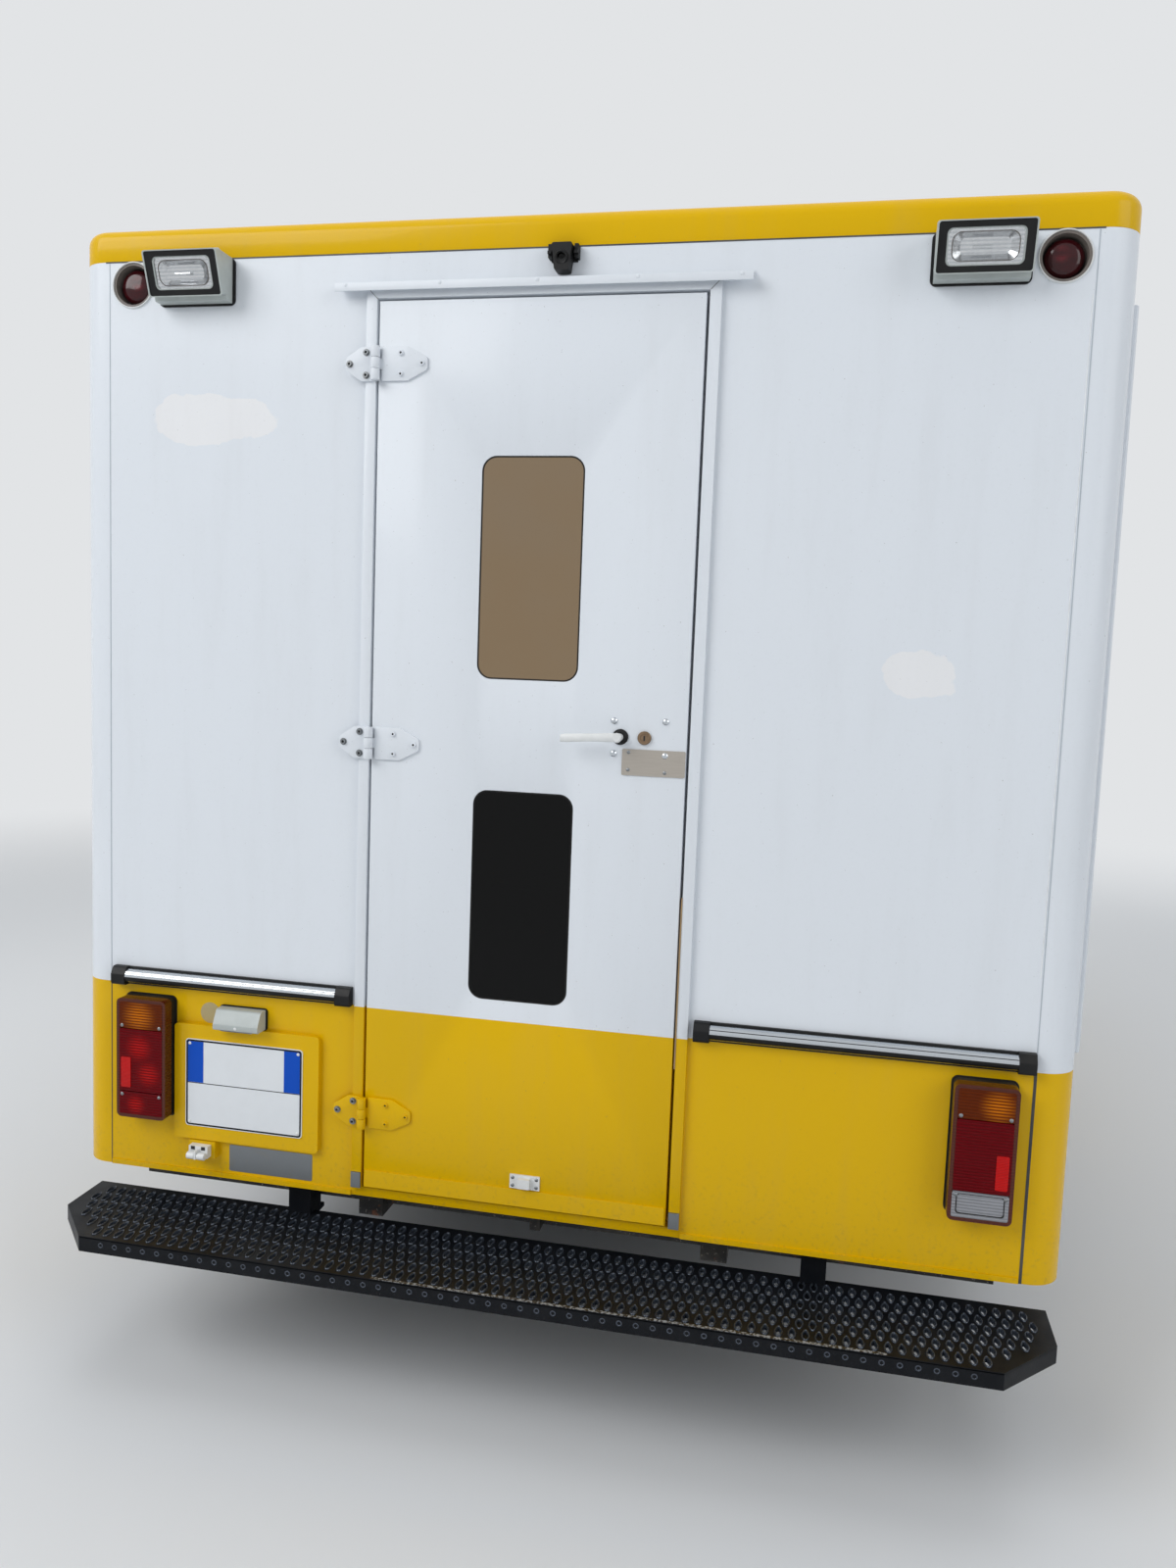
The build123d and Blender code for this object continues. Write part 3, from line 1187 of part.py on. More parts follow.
# Chassis: two rails and cross-members, with a towing eye at the rear
CROSS_MEMBERS = (REAR_FACE + 130, REAR_FACE + 850, REAR_AXLE_Y + 620, REAR_AXLE_Y + 1400)
CROSS_DEPTH = 60
TOW_EYE_RADIUS = 12
with BuildPart() as chassis_frame:
    for name, sign in SIDES:
        span = sorted((sign * (RAIL_X - RAIL_WIDTH / 2), sign * (RAIL_X + RAIL_WIDTH / 2)))
        block(span, (REAR_FACE + 70, RAIL_FRONT), (RAIL_LOW, RAIL_HIGH))
    for centre in CROSS_MEMBERS:
        block((-RAIL_X, RAIL_X), (centre - CROSS_DEPTH / 2, centre + CROSS_DEPTH / 2), (CROSS_LOW, RAIL_HIGH))
    for centre in (CROSS_MEMBERS[0], CROSS_MEMBERS[2], CROSS_MEMBERS[3]):
        block(
            (-BOX_HALF + 120, BOX_HALF - 120),
            (centre - CROSS_DEPTH / 2, centre + CROSS_DEPTH / 2),
            (CROSS_LOW, RAIL_HIGH),
        )
    # Towing eye behind the rear cross-member
    eye_y = (CROSS_MEMBERS[0] - CROSS_DEPTH / 2 - 55, CROSS_MEMBERS[0] - CROSS_DEPTH / 2)
    block((-12, 12), eye_y, (CROSS_LOW + 10, CROSS_LOW + 86))
    eye = (CROSS_MEMBERS[0] - CROSS_DEPTH / 2 - 30, CROSS_LOW + 48)
    rod((-20, *eye), (20, *eye), TOW_EYE_RADIUS, Mode.SUBTRACT)
    # Mounts that carry the cab floor
    for centre in (CAB_REAR + 80, BULKHEAD_Y - 160):
        block((-RAIL_X - 20, -RAIL_X + 20), (centre - 30, centre + 30), (RAIL_HIGH, CAB_FLOOR - 35 - SEAT))
        block((RAIL_X - 20, RAIL_X + 20), (centre - 30, centre + 30), (RAIL_HIGH, CAB_FLOOR - 35 - SEAT))

# Front suspension frame, fixed, with its steering rack housing
ARM_LOW = TYRE_RADIUS - 130
ARM_HIGH = TYRE_RADIUS + 130
BALL_HEIGHT = 30
RACK_Y = FRONT_AXLE_Y - STEER_ARM_BACK
RACK_Z = TYRE_RADIUS - 60
RACK_RADIUS = 13
with BuildPart() as front_subframe:
    block((-RAIL_X - 30, RAIL_X + 30), (RACK_Y - 110, RACK_Y - 40), (RACK_Z - 40, RAIL_LOW - SEAT))
    block((-250, 250), (RACK_Y - 45, RACK_Y + 20), (RACK_Z - 24, RACK_Z + 24))
    block((-RAIL_X - 30, RAIL_X + 30), (FRONT_AXLE_Y + 120, FRONT_AXLE_Y + 180), (ARM_LOW, ARM_LOW + 40))
    for name, sign in SIDES:
        x = sign * RAIL_X
        span = sorted((sign * (RAIL_X - 30), sign * (RAIL_X + 30)))
        block(span, (RACK_Y - 110, RACK_Y - 40), (ARM_LOW, RAIL_LOW - SEAT))
        block(span, (FRONT_AXLE_Y + 120, FRONT_AXLE_Y + 180), (ARM_LOW, RAIL_LOW - SEAT))
        low_ball = (sign * KINGPIN_X, FRONT_AXLE_Y, ARM_LOW)
        high_ball = (sign * KINGPIN_X, FRONT_AXLE_Y, ARM_HIGH)
        rod((x, FRONT_AXLE_Y + 150, ARM_LOW + 18), low_ball, 12)
        rod((x, RACK_Y - 75, ARM_LOW + 18), low_ball, 12)
        tower = sorted((sign * (RAIL_X + 30 + SEAT), sign * (RAIL_X + 60)))
        block(tower, (FRONT_AXLE_Y - 110, FRONT_AXLE_Y + 110), (RAIL_LOW + 20, ARM_HIGH + 20))
        rod((sign * (RAIL_X + 40), FRONT_AXLE_Y + 90, ARM_HIGH), high_ball, 13)
        rod((sign * (RAIL_X + 40), FRONT_AXLE_Y - 90, ARM_HIGH), high_ball, 13)
        for ball in (low_ball, high_ball):
            foot = Vector(ball) - Vector(0, 0, BALL_HEIGHT / 2)
            rod(foot, Vector(ball) + Vector(0, 0, BALL_HEIGHT / 2), 24)
    rod((-260, RACK_Y, RACK_Z), (260, RACK_Y, RACK_Z), RACK_RADIUS + PIN_CLEARANCE, Mode.SUBTRACT)

TIE_END_X = KINGPIN_X - STEER_ARM_INBOARD
STEER_ARM_Z = RACK_Z + 15
with BuildPart() as steering_rack:
    rod((-TIE_END_X, RACK_Y, RACK_Z), (TIE_END_X, RACK_Y, RACK_Z), RACK_RADIUS)
    for name, sign in SIDES:
        foot = (sign * TIE_END_X, RACK_Y, RACK_Z - RACK_RADIUS)
        rod(foot, (sign * TIE_END_X, RACK_Y, RACK_Z + 10), 18)


def knuckle(sign):
    """Give one front upright with its stub axle and steering arm."""
    with BuildPart() as upright:
        inner = KINGPIN_X + 27
        outer = inner + 28
        plate = sorted((sign * inner, sign * outer))
        rod((sign * inner, FRONT_AXLE_Y, TYRE_RADIUS), (sign * outer, FRONT_AXLE_Y, TYRE_RADIUS), 62)
        low = ARM_LOW + BALL_HEIGHT / 2 + SEAT
        high = ARM_HIGH - BALL_HEIGHT / 2 - SEAT
        block(plate, (FRONT_AXLE_Y - 25, FRONT_AXLE_Y + 25), (low, high))
        arm = sorted((sign * (KINGPIN_X - 22), sign * outer))
        block(arm, (FRONT_AXLE_Y - 25, FRONT_AXLE_Y + 25), (low, low + 34))
        block(arm, (FRONT_AXLE_Y - 25, FRONT_AXLE_Y + 25), (high - 34, high))
        tip = (sign * (KINGPIN_X - STEER_ARM_INBOARD), RACK_Y, STEER_ARM_Z + 9)
        root = (sign * (KINGPIN_X + 27), FRONT_AXLE_Y - 20, STEER_ARM_Z + 9)
        elbow = (sign * (KINGPIN_X - 10), FRONT_AXLE_Y - 66, STEER_ARM_Z + 9)
        rod(root, elbow, 9)
        rod(elbow, tip, 9)
        with Locations(elbow):
            Sphere(9)
        rod(Vector(tip) - Vector(0, 0, 9), Vector(tip) + Vector(0, 0, 9), 16)
        stub = (sign * (TRACK_FRONT / 2 + HUB_OUT), FRONT_AXLE_Y, TYRE_RADIUS)
        rod((sign * outer, FRONT_AXLE_Y, TYRE_RADIUS), stub, STUB_RADIUS)
    return upright


# Engine and gearbox as one plain block, with the drive shafts
SHAFT_RADIUS = 13
JOINT_BALL = 22
with BuildPart() as powertrain:
    block((-340, 340), (FRONT_AXLE_Y + 230, FRONT_AXLE_Y + 600), (ARM_LOW + 120, 890))
    fillet(powertrain.edges(), 25)
    block((-330, 120), (FRONT_AXLE_Y + 60, FRONT_AXLE_Y + 250), (TYRE_RADIUS - 40, 560))
    rod((-170, FRONT_AXLE_Y, TYRE_RADIUS), (60, FRONT_AXLE_Y, TYRE_RADIUS), 75)
    for name, sign in SIDES:
        end = (sign * KINGPIN_X, FRONT_AXLE_Y, TYRE_RADIUS)
        rod((0, FRONT_AXLE_Y, TYRE_RADIUS), end, SHAFT_RADIUS)
        with Locations(end):
            Sphere(JOINT_BALL)
        span = sorted((sign * 330, sign * (RAIL_X - 30 - SEAT)))
        block(span, (FRONT_AXLE_Y + 380, FRONT_AXLE_Y + 460), (RAIL_LOW + 30, RAIL_HIGH - 20))

# Rear axle: torsion tube, trailing arms, drums and stubs
TUBE_Y = REAR_AXLE_Y + 420
TUBE_Z = 320
TUBE_RADIUS = 38
ARM_X = (690, 745)
DRUM_OUT = 12
with BuildPart() as rear_axle:
    rod((-ARM_X[1], TUBE_Y, TUBE_Z), (ARM_X[1], TUBE_Y, TUBE_Z), TUBE_RADIUS)
    for name, sign in SIDES:
        span = sorted((sign * (RAIL_X - 25), sign * (RAIL_X + 25)))
        block(span, (TUBE_Y - 60, TUBE_Y + 60), (TUBE_Z, RAIL_LOW - SEAT))
        span = sorted((sign * ARM_X[0], sign * ARM_X[1]))
        with BuildSketch(Plane.YZ.offset(span[0])) as arm:
            outline(
                (
                    (TUBE_Y + 50, TUBE_Z - 45, 30),
                    (TUBE_Y + 50, TUBE_Z + 45, 30),
                    (REAR_AXLE_Y - 65, TYRE_RADIUS + 60, 40),
                    (REAR_AXLE_Y - 65, TYRE_RADIUS - 60, 40),
                )
            )
        extrude(amount=ARM_X[1] - ARM_X[0])
        wheel_x = TRACK_REAR / 2
        centre = (REAR_AXLE_Y, TYRE_RADIUS)
        rod((sign * (ARM_X[1] - 5), *centre), (sign * (wheel_x + HUB_OUT), *centre), STUB_RADIUS)
        rod((sign * (wheel_x - 60), *centre), (sign * (wheel_x + DRUM_OUT), *centre), 125)

EXHAUST_X = 560
EXHAUST_Z = 330
PIPE_RADIUS = 24
SILENCER_RADIUS = 80
with BuildPart() as exhaust:
    bend = (EXHAUST_X, CROSS_MEMBERS[3] + 320, EXHAUST_Z)
    rod((EXHAUST_X, BULKHEAD_Y - 460, EXHAUST_Z - 30), bend, PIPE_RADIUS)
    with Locations(bend):
        Sphere(PIPE_RADIUS)
    rod(bend, (EXHAUST_X, CROSS_MEMBERS[2] + 40, EXHAUST_Z), PIPE_RADIUS)
    silencer = (EXHAUST_X, CROSS_MEMBERS[3] - 110, EXHAUST_Z)
    rod(silencer, (EXHAUST_X, CROSS_MEMBERS[2] + 120, EXHAUST_Z), SILENCER_RADIUS)
    for centre in (bend[1] - 20, silencer[1] - 180):
        block(
            (EXHAUST_X - 7, EXHAUST_X + 7),
            (centre - 12, centre + 12),
            (EXHAUST_Z, FLOOR_LOW - SEAT),
        )

TANK_X = (-800, -470)
TANK_Y = (CROSS_MEMBERS[2] + 60, CROSS_MEMBERS[3] - 60)
TANK_Z = (250, FLOOR_LOW - 60)
with BuildPart() as fuel_tank:
    block(TANK_X, TANK_Y, TANK_Z)
    fillet(fuel_tank.edges(), 35)
    for centre in (TANK_Y[0] + 150, TANK_Y[1] - 150):
        block((-660, -620), (centre - 20, centre + 20), (TANK_Z[1] - 20, FLOOR_LOW - SEAT))

# Wheels: outlines turned about the axle, columns: out from the middle, radius
RIM_ROWS = (
    (-99, RIM_RADIUS + 10),
    (-92, RIM_RADIUS + 10),
    (-90, RIM_RADIUS),
    (90, RIM_RADIUS),
    (92, RIM_RADIUS + 10),
    (99, RIM_RADIUS + 10),
    (99, RIM_RADIUS - RIM_WALL + 2),
    (66, RIM_RADIUS - RIM_WALL),
    (56, 150),
    (64, 85),
    (HUB_OUT, 70),
    (HUB_OUT, STUB_RADIUS + PIN_CLEARANCE),
    (DRUM_OUT + 6, STUB_RADIUS + PIN_CLEARANCE),
    (DRUM_OUT + 6, 52),
    (46, 62),
    (50, 84),
    (42, 150),
    (36, RIM_RADIUS - RIM_WALL),
    (-99, RIM_RADIUS - RIM_WALL),
)
# Tyre outline, columns: out from the middle, radius, corner radius
TYRE_ROWS = (
    (-88, RIM_RADIUS + SEAT, 0),
    (-TYRE_WIDTH / 2, RIM_RADIUS + 60, 60),
    (-TYRE_WIDTH / 2 + 6, TYRE_RADIUS - 30, 40),
    (-TYRE_WIDTH / 2 + 32, TYRE_RADIUS, 18),
    (TYRE_WIDTH / 2 - 32, TYRE_RADIUS, 18),
    (TYRE_WIDTH / 2 - 6, TYRE_RADIUS - 30, 40),
    (TYRE_WIDTH / 2, RIM_RADIUS + 60, 60),
    (88, RIM_RADIUS + SEAT, 0),
)
VENT_COUNT = 10
# Wheels, columns: name, distance off centre, y, side
WHEELS = (
    ("front_left", TRACK_FRONT / 2, FRONT_AXLE_Y, -1),
    ("front_right", TRACK_FRONT / 2, FRONT_AXLE_Y, 1),
    ("rear_left", TRACK_REAR / 2, REAR_AXLE_Y, -1),
    ("rear_right", TRACK_REAR / 2, REAR_AXLE_Y, 1),
)


def turned(rows, offset_x, y, sign):
    """Give an outline turned about one wheel's axle."""
    centre = (sign * offset_x, y, TYRE_RADIUS)
    section = Plane(origin=centre, x_dir=(sign, 0, 0), z_dir=(0, -sign, 0))
    with BuildPart() as ring:
        with BuildSketch(section):
            outline(rows)
        revolve(axis=Axis(centre, (1, 0, 0)))
    return ring


def wheel_rim(offset_x, y, sign):
    """Give one pressed wheel with its ring of vents."""
    with BuildPart() as rim:
        add(turned([(out, radius, 0) for out, radius in RIM_ROWS], offset_x, y, sign).part)
        with Locations(Plane(origin=(sign * offset_x, y, TYRE_RADIUS), z_dir=(sign, 0, 0))):
            with PolarLocations(118, VENT_COUNT):
                with Locations((0, 0, 50)):
                    Cylinder(15, 60, mode=Mode.SUBTRACT)
    return rim


# Every finished piece is written to its own file
save(cab_shell, "cab_shell")
save(bonnet, "bonnet")
save(windscreen, "windscreen")
save(grille, "grille")
save(headlamps, "headlamps")
save(front_bumper, "front_bumper")
save(dashboard, "dashboard")
save(steering_wheel, "steering_wheel")
save(seat_bases, "seat_bases")
save(cab_seats, "cab_seats")
for name, sign in SIDES:
    save(cab_door(sign), f"cab_door_{name}")
    save(cab_pane(sign), f"cab_glass_{name}")
    save(mirror_unit(sign), f"mirror_{name}")
    save(knuckle(sign), f"knuckle_{name}")
save(box_side_left, "box_side_left")
save(box_side_right, "box_side_right")
save(side_windows, "side_windows")
save(side_door, "side_door")
save(side_door_glass, "side_door_glass")
save(corner_posts, "corner_posts")
save(box_floor, "box_floor")
save(box_front_wall, "box_front_wall")
save(box_rear_wall, "box_rear_wall")
save(rear_door_frame, "rear_door_frame")
save(rear_door, "rear_door")
save(rear_door_glass, "rear_door_glass")
save(rear_door_hinges, "rear_door_hinges")
save(rear_hinges, "rear_hinges")
save(door_hardware, "door_hardware")
save(roof_cap, "roof_cap")
save(cab_fairing, "cab_fairing")
save(beacons, "beacons")
save(buffer_rails, "buffer_rails")
save(rear_lamps, "rear_lamps")
save(work_lamps, "work_lamps")
save(plate_board, "plate_board")
save(reversing_camera, "reversing_camera")
save(door_catch, "door_catch")
save(side_panel, "side_panel")
save(rear_step, "rear_step")
save(chassis_frame, "chassis_frame")
save(front_subframe, "front_subframe")
save(steering_rack, "steering_rack")
save(powertrain, "powertrain")
save(rear_axle, "rear_axle")
save(exhaust, "exhaust")
save(fuel_tank, "fuel_tank")
for name, offset_x, y, sign in WHEELS:
    save(turned(TYRE_ROWS, offset_x, y, sign), f"tyre_{name}")
    save(wheel_rim(offset_x, y, sign), f"rim_{name}")
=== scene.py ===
"""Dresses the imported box-body ambulance and sets it in a plain pale studio."""

import json
import logging
import math
from dataclasses import dataclass, field
from enum import Enum
from typing import Iterable, Sequence

import bmesh
import bpy
from mathutils import Euler, Matrix, Vector

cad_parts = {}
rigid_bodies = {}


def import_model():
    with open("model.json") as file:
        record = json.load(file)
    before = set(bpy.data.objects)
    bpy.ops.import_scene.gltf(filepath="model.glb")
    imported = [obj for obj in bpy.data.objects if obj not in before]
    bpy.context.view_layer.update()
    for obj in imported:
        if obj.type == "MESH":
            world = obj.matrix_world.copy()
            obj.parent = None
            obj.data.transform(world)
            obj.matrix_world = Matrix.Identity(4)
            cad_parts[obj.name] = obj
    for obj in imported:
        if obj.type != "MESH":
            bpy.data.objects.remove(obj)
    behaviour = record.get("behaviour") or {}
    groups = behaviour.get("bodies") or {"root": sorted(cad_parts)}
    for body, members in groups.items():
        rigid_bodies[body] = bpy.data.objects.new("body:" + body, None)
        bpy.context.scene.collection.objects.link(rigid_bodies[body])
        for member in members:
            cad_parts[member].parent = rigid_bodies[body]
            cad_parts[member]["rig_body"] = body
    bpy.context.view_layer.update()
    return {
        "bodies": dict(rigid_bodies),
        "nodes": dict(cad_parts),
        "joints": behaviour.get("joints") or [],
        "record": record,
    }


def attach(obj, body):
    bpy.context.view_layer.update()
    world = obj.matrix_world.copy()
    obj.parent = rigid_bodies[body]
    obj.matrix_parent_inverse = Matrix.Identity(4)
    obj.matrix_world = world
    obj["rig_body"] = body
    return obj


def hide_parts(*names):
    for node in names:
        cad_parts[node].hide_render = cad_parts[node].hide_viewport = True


LOG = logging.getLogger("ambulance")

Point = tuple[float, float, float]
Span = tuple[float, float]
Flat = tuple[float, float]
Node = bpy.types.Node
Socket = bpy.types.NodeSocket
Work = bmesh.types.BMesh
Loop = Sequence[Sequence[float]]
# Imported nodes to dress, columns: node, finish and, where its edges are softened, by which width
Panels = tuple[tuple[object, ...], ...]

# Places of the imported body, in metres
REAR = -2.671
DOOR_FACE = -2.683
BOX_BOTTOM = 0.450
BELT = 0.903
ROOF_SEAM = 2.563
BOX_HALF = 1.136
POST_SEAM = 1.052
CAB_HALF = 0.999

ORIGIN = (0.0, 0.0, 0.0)
ACROSS = (1.0, 0.0, 0.0)
FORWARD = (0.0, 1.0, 0.0)
BACK = (0.0, -1.0, 0.0)
UP = (0.0, 0.0, 1.0)

# Euler angles that turn a shape drawn standing up
TO_REAR = (math.pi / 2, 0.0, 0.0)
TO_RIGHT = (0.0, math.pi / 2, 0.0)
TO_LEFT = (0.0, -math.pi / 2, 0.0)

# The vehicle's sides, columns: sign of x, name
SIDES = ((-1, "left"), (1, "right"))

# Angles in degrees: edges sharper than this stay crisp, are bevelled on a new shape and on a packed one
CRISP = 32.0
SHAPE_EDGE = 28.0
PACKED_EDGE = 50.0
# Packed points nearer than this, in metres, and faces flatter than this, in degrees, are joined
SAME_POINT = 0.00002
SAME_FACE = 0.5

# Names of the finishes that are used most
BELTED = "coach_paint_two_tone"
WHITE = "coach_paint_white"
YELLOW = "coach_paint_yellow"
BLACK = "black_polypropylene"
RUBBER = "black_epdm_rubber"
ZINC = "zinc_plate"


class Axis(Enum):
    """The direction in which an outline is extruded."""

    X = 0
    Y = 1
    Z = 2

    def loop(self, outline: Sequence[Flat], along: float) -> Loop:
        """Set an outline's pairs of values at a distance along the axis."""
        points = [list(pair) for pair in outline]
        for point in points:
            point.insert(self.value, along)
        return points


def about(middle: float, half: float) -> Span:
    """Give the span that reaches as far to both sides of its middle."""
    return middle - half, middle + half


def on_side(side: int, near: float, far: float) -> Span:
    """Give the span between two distances from the middle, to the left (-1) or the right (1)."""
    return (near, far) if side > 0 else (-far, -near)


def linear(code: str) -> tuple[float, float, float, float]:
    """Turn an sRGB hex colour into the linear red, green, blue and alpha that shaders take."""
    values = [int(code[place : place + 2], 16) / 255 for place in (1, 3, 5)]
    red, green, blue = (value / 12.92 if value <= 0.04045 else ((value + 0.055) / 1.055) ** 2.4 for value in values)
    return red, green, blue, 1.0


def add_node(
    tree: bpy.types.NodeTree, kind: str, inputs: dict[str | int, object] | None = None, **settings: object
) -> Node:
    """Add one node with its settings, values and links.

    Args:
        tree: node tree that gets the node.
        kind: type name of the node.
        inputs: by the input's name or place a value, a socket to link, or a node whose first output is linked.
        settings: attributes to set on the node.
    Returns:
        The new node.
    """
    node = tree.nodes.new(kind)
    for name, value in settings.items():
        setattr(node, name, value)
    for key, value in (inputs or {}).items():
        source = value.outputs[0] if isinstance(value, Node) else value
        if isinstance(source, Socket):
            tree.links.new(source, node.inputs[key])
        else:
            node.inputs[key].default_value = source
    return node


# Finishes


class Surface:
    """A material in the making, whose colour is laid on in layers over Object coordinates."""

    def __init__(self, name: str, colour: str, values: dict[str | int, object]) -> None:
        """Start with one colour.

        Args:
            name: the material's name.
            colour: its first colour.
            values: constants of its shader.
        """
        self.material = bpy.data.materials.new(name)
        self.material.use_nodes = True
        self.material.diffuse_color = linear(colour)
        self.tree = self.material.node_tree
        self.tree.nodes.clear()
        self.colour: object = linear(colour)
        self.shader = add_node(self.tree, "ShaderNodeBsdfPrincipled", {"Base Color": self.colour, **values})
        self.output = add_node(self.tree, "ShaderNodeOutputMaterial", {"Surface": self.shader})
        self.place = add_node(self.tree, "ShaderNodeTexCoord").outputs["Object"]

    def speckle(
        self, size_mm: float, low: float, high: float, detail: float = 3.0, stretch: Point = (1.0, 1.0, 1.0)
    ) -> Node:
        """Make a mask from 0 to 1 of noise of a real size.

        Args:
            size_mm: size of a blot.
            low: noise value that gives 0.
            high: noise value that gives 1.
            detail: octaves of noise.
            stretch: how much finer the noise is along each axis.
        Returns:
            The mask's node.
        """
        scaled = add_node(self.tree, "ShaderNodeMapping", {"Vector": self.place, "Scale": stretch})
        inputs = {"Vector": scaled, "Scale": 1000 / size_mm, "Detail": detail, "Roughness": 0.6}
        noise = add_node(self.tree, "ShaderNodeTexNoise", inputs)
        inputs = {"Value": noise, "From Min": low, "From Max": high}
        return add_node(self.tree, "ShaderNodeMapRange", inputs, interpolation_type="SMOOTHSTEP")

    def around(self, x: float, z: float, wide: float, high: float) -> Socket:
        """Give the distance from a place on the rear, in shares of a half width and a half height."""
        scale = (1 / wide, 0, 1 / high)
        inputs = {0: self.place, 1: scale, 2: (-x / wide, 0, -z / high)}
        away = add_node(self.tree, "ShaderNodeVectorMath", inputs, operation="MULTIPLY_ADD")
        return add_node(self.tree, "ShaderNodeVectorMath", {0: away}, operation="LENGTH").outputs["Value"]

    def lay(self, over: str, factor: object, *masks: object) -> None:
        """Lay a colour over what is there.

        Args:
            over: the colour.
            factor: its share, or the node or socket of its mask.
            masks: more shares or masks to multiply with.
        """
        for mask in masks:
            factor = add_node(self.tree, "ShaderNodeMath", {0: factor, 1: mask}, operation="MULTIPLY")
        inputs = {0: factor, 6: self.colour, 7: linear(over)}
        self.colour = add_node(self.tree, "ShaderNodeMix", inputs, data_type="RGBA").outputs[2]
        self.tree.links.new(self.colour, self.shader.inputs["Base Color"])

    def feed(self, name: str, kind: str, inputs: dict[str | int, object]) -> None:
        """Drive one of the shader's inputs with a new node."""
        self.tree.links.new(add_node(self.tree, kind, inputs).outputs[0], self.shader.inputs[name])


@dataclass(frozen=True)
class Finish:
    """A plain surface: one colour, with a fine grain and a little dust."""

    name: str
    colour: str
    roughness: float
    metallic: float = 0.0
    grain_mm: float = 1.2
    grain_depth_mm: float = 0.05
    dust: float = 0.12
    dust_colour: str = "#8C857A"
    coat: float = 0.0
    specular: float = 0.5
    mottle: float = 0.08
    unevenness: float = 0.12
    clear: float = 0.0
    ior: float = 1.5
    # How much thicker the dust lies where it is thickest
    drift: float = 2.4

    def build(self) -> bpy.types.Material:
        """Make the finish's material."""
        values = {
            "Roughness": self.roughness,
            "Metallic": self.metallic,
            "Coat Weight": self.coat,
            "Coat Roughness": 0.06,
            "Specular IOR Level": self.specular,
            "Transmission Weight": self.clear,
            "IOR": self.ior,
        }
        surface = Surface(self.name, self.colour, values)
        self.cover(surface)
        return surface.material

    def cover(self, surface: Surface) -> None:
        """Mottle the colour, then dust it."""
        surface.lay("#000000", surface.speckle(35, 0.3, 0.7), self.mottle)
        self.settle(surface)

    def settle(self, surface: Surface) -> None:
        """Lay dust on what faces up and a thin uneven film on the rest, then roughen the whole."""
        normal = add_node(surface.tree, "ShaderNodeNewGeometry").outputs["Normal"]
        upward = add_node(surface.tree, "ShaderNodeSeparateXYZ", {0: normal}).outputs[2]
        inputs = {"Value": upward, "From Min": 0.2, "From Max": 1.0, "To Min": 0.35}
        facing = add_node(surface.tree, "ShaderNodeMapRange", inputs)
        surface.lay(self.dust_colour, facing, surface.speckle(90, 0.35, 0.75, 5.0), self.dust * self.drift)
        self.roughen(surface)

    def roughen(self, surface: Surface) -> None:
        """Vary the roughness over the surface and add the grain."""
        smear = surface.speckle(60, 0.3, 0.7, 4.0)
        low, high = about(self.roughness, self.roughness * self.unevenness)
        surface.feed("Roughness", "ShaderNodeMapRange", {"Value": smear, "To Min": low, "To Max": min(1.0, high)})
        if self.grain_depth_mm:
            self.emboss(surface, surface.speckle(self.grain_mm, 0.3, 0.7, 2.0), self.grain_depth_mm, 0.6)

    def emboss(self, surface: Surface, height: object, depth_mm: float, strength: float) -> None:
        """Raise the surface by a mask, where it has any depth."""
        if depth_mm:
            inputs = {"Height": height, "Distance": depth_mm / 1000, "Strength": strength}
            surface.feed("Normal", "ShaderNodeBump", inputs)


class Tone(Enum):
    """How coach paint is laid out on a panel."""

    TWO_TONE = "white above the belt and yellow below"
    WHITE = "white all over"
    YELLOW = "yellow all over"


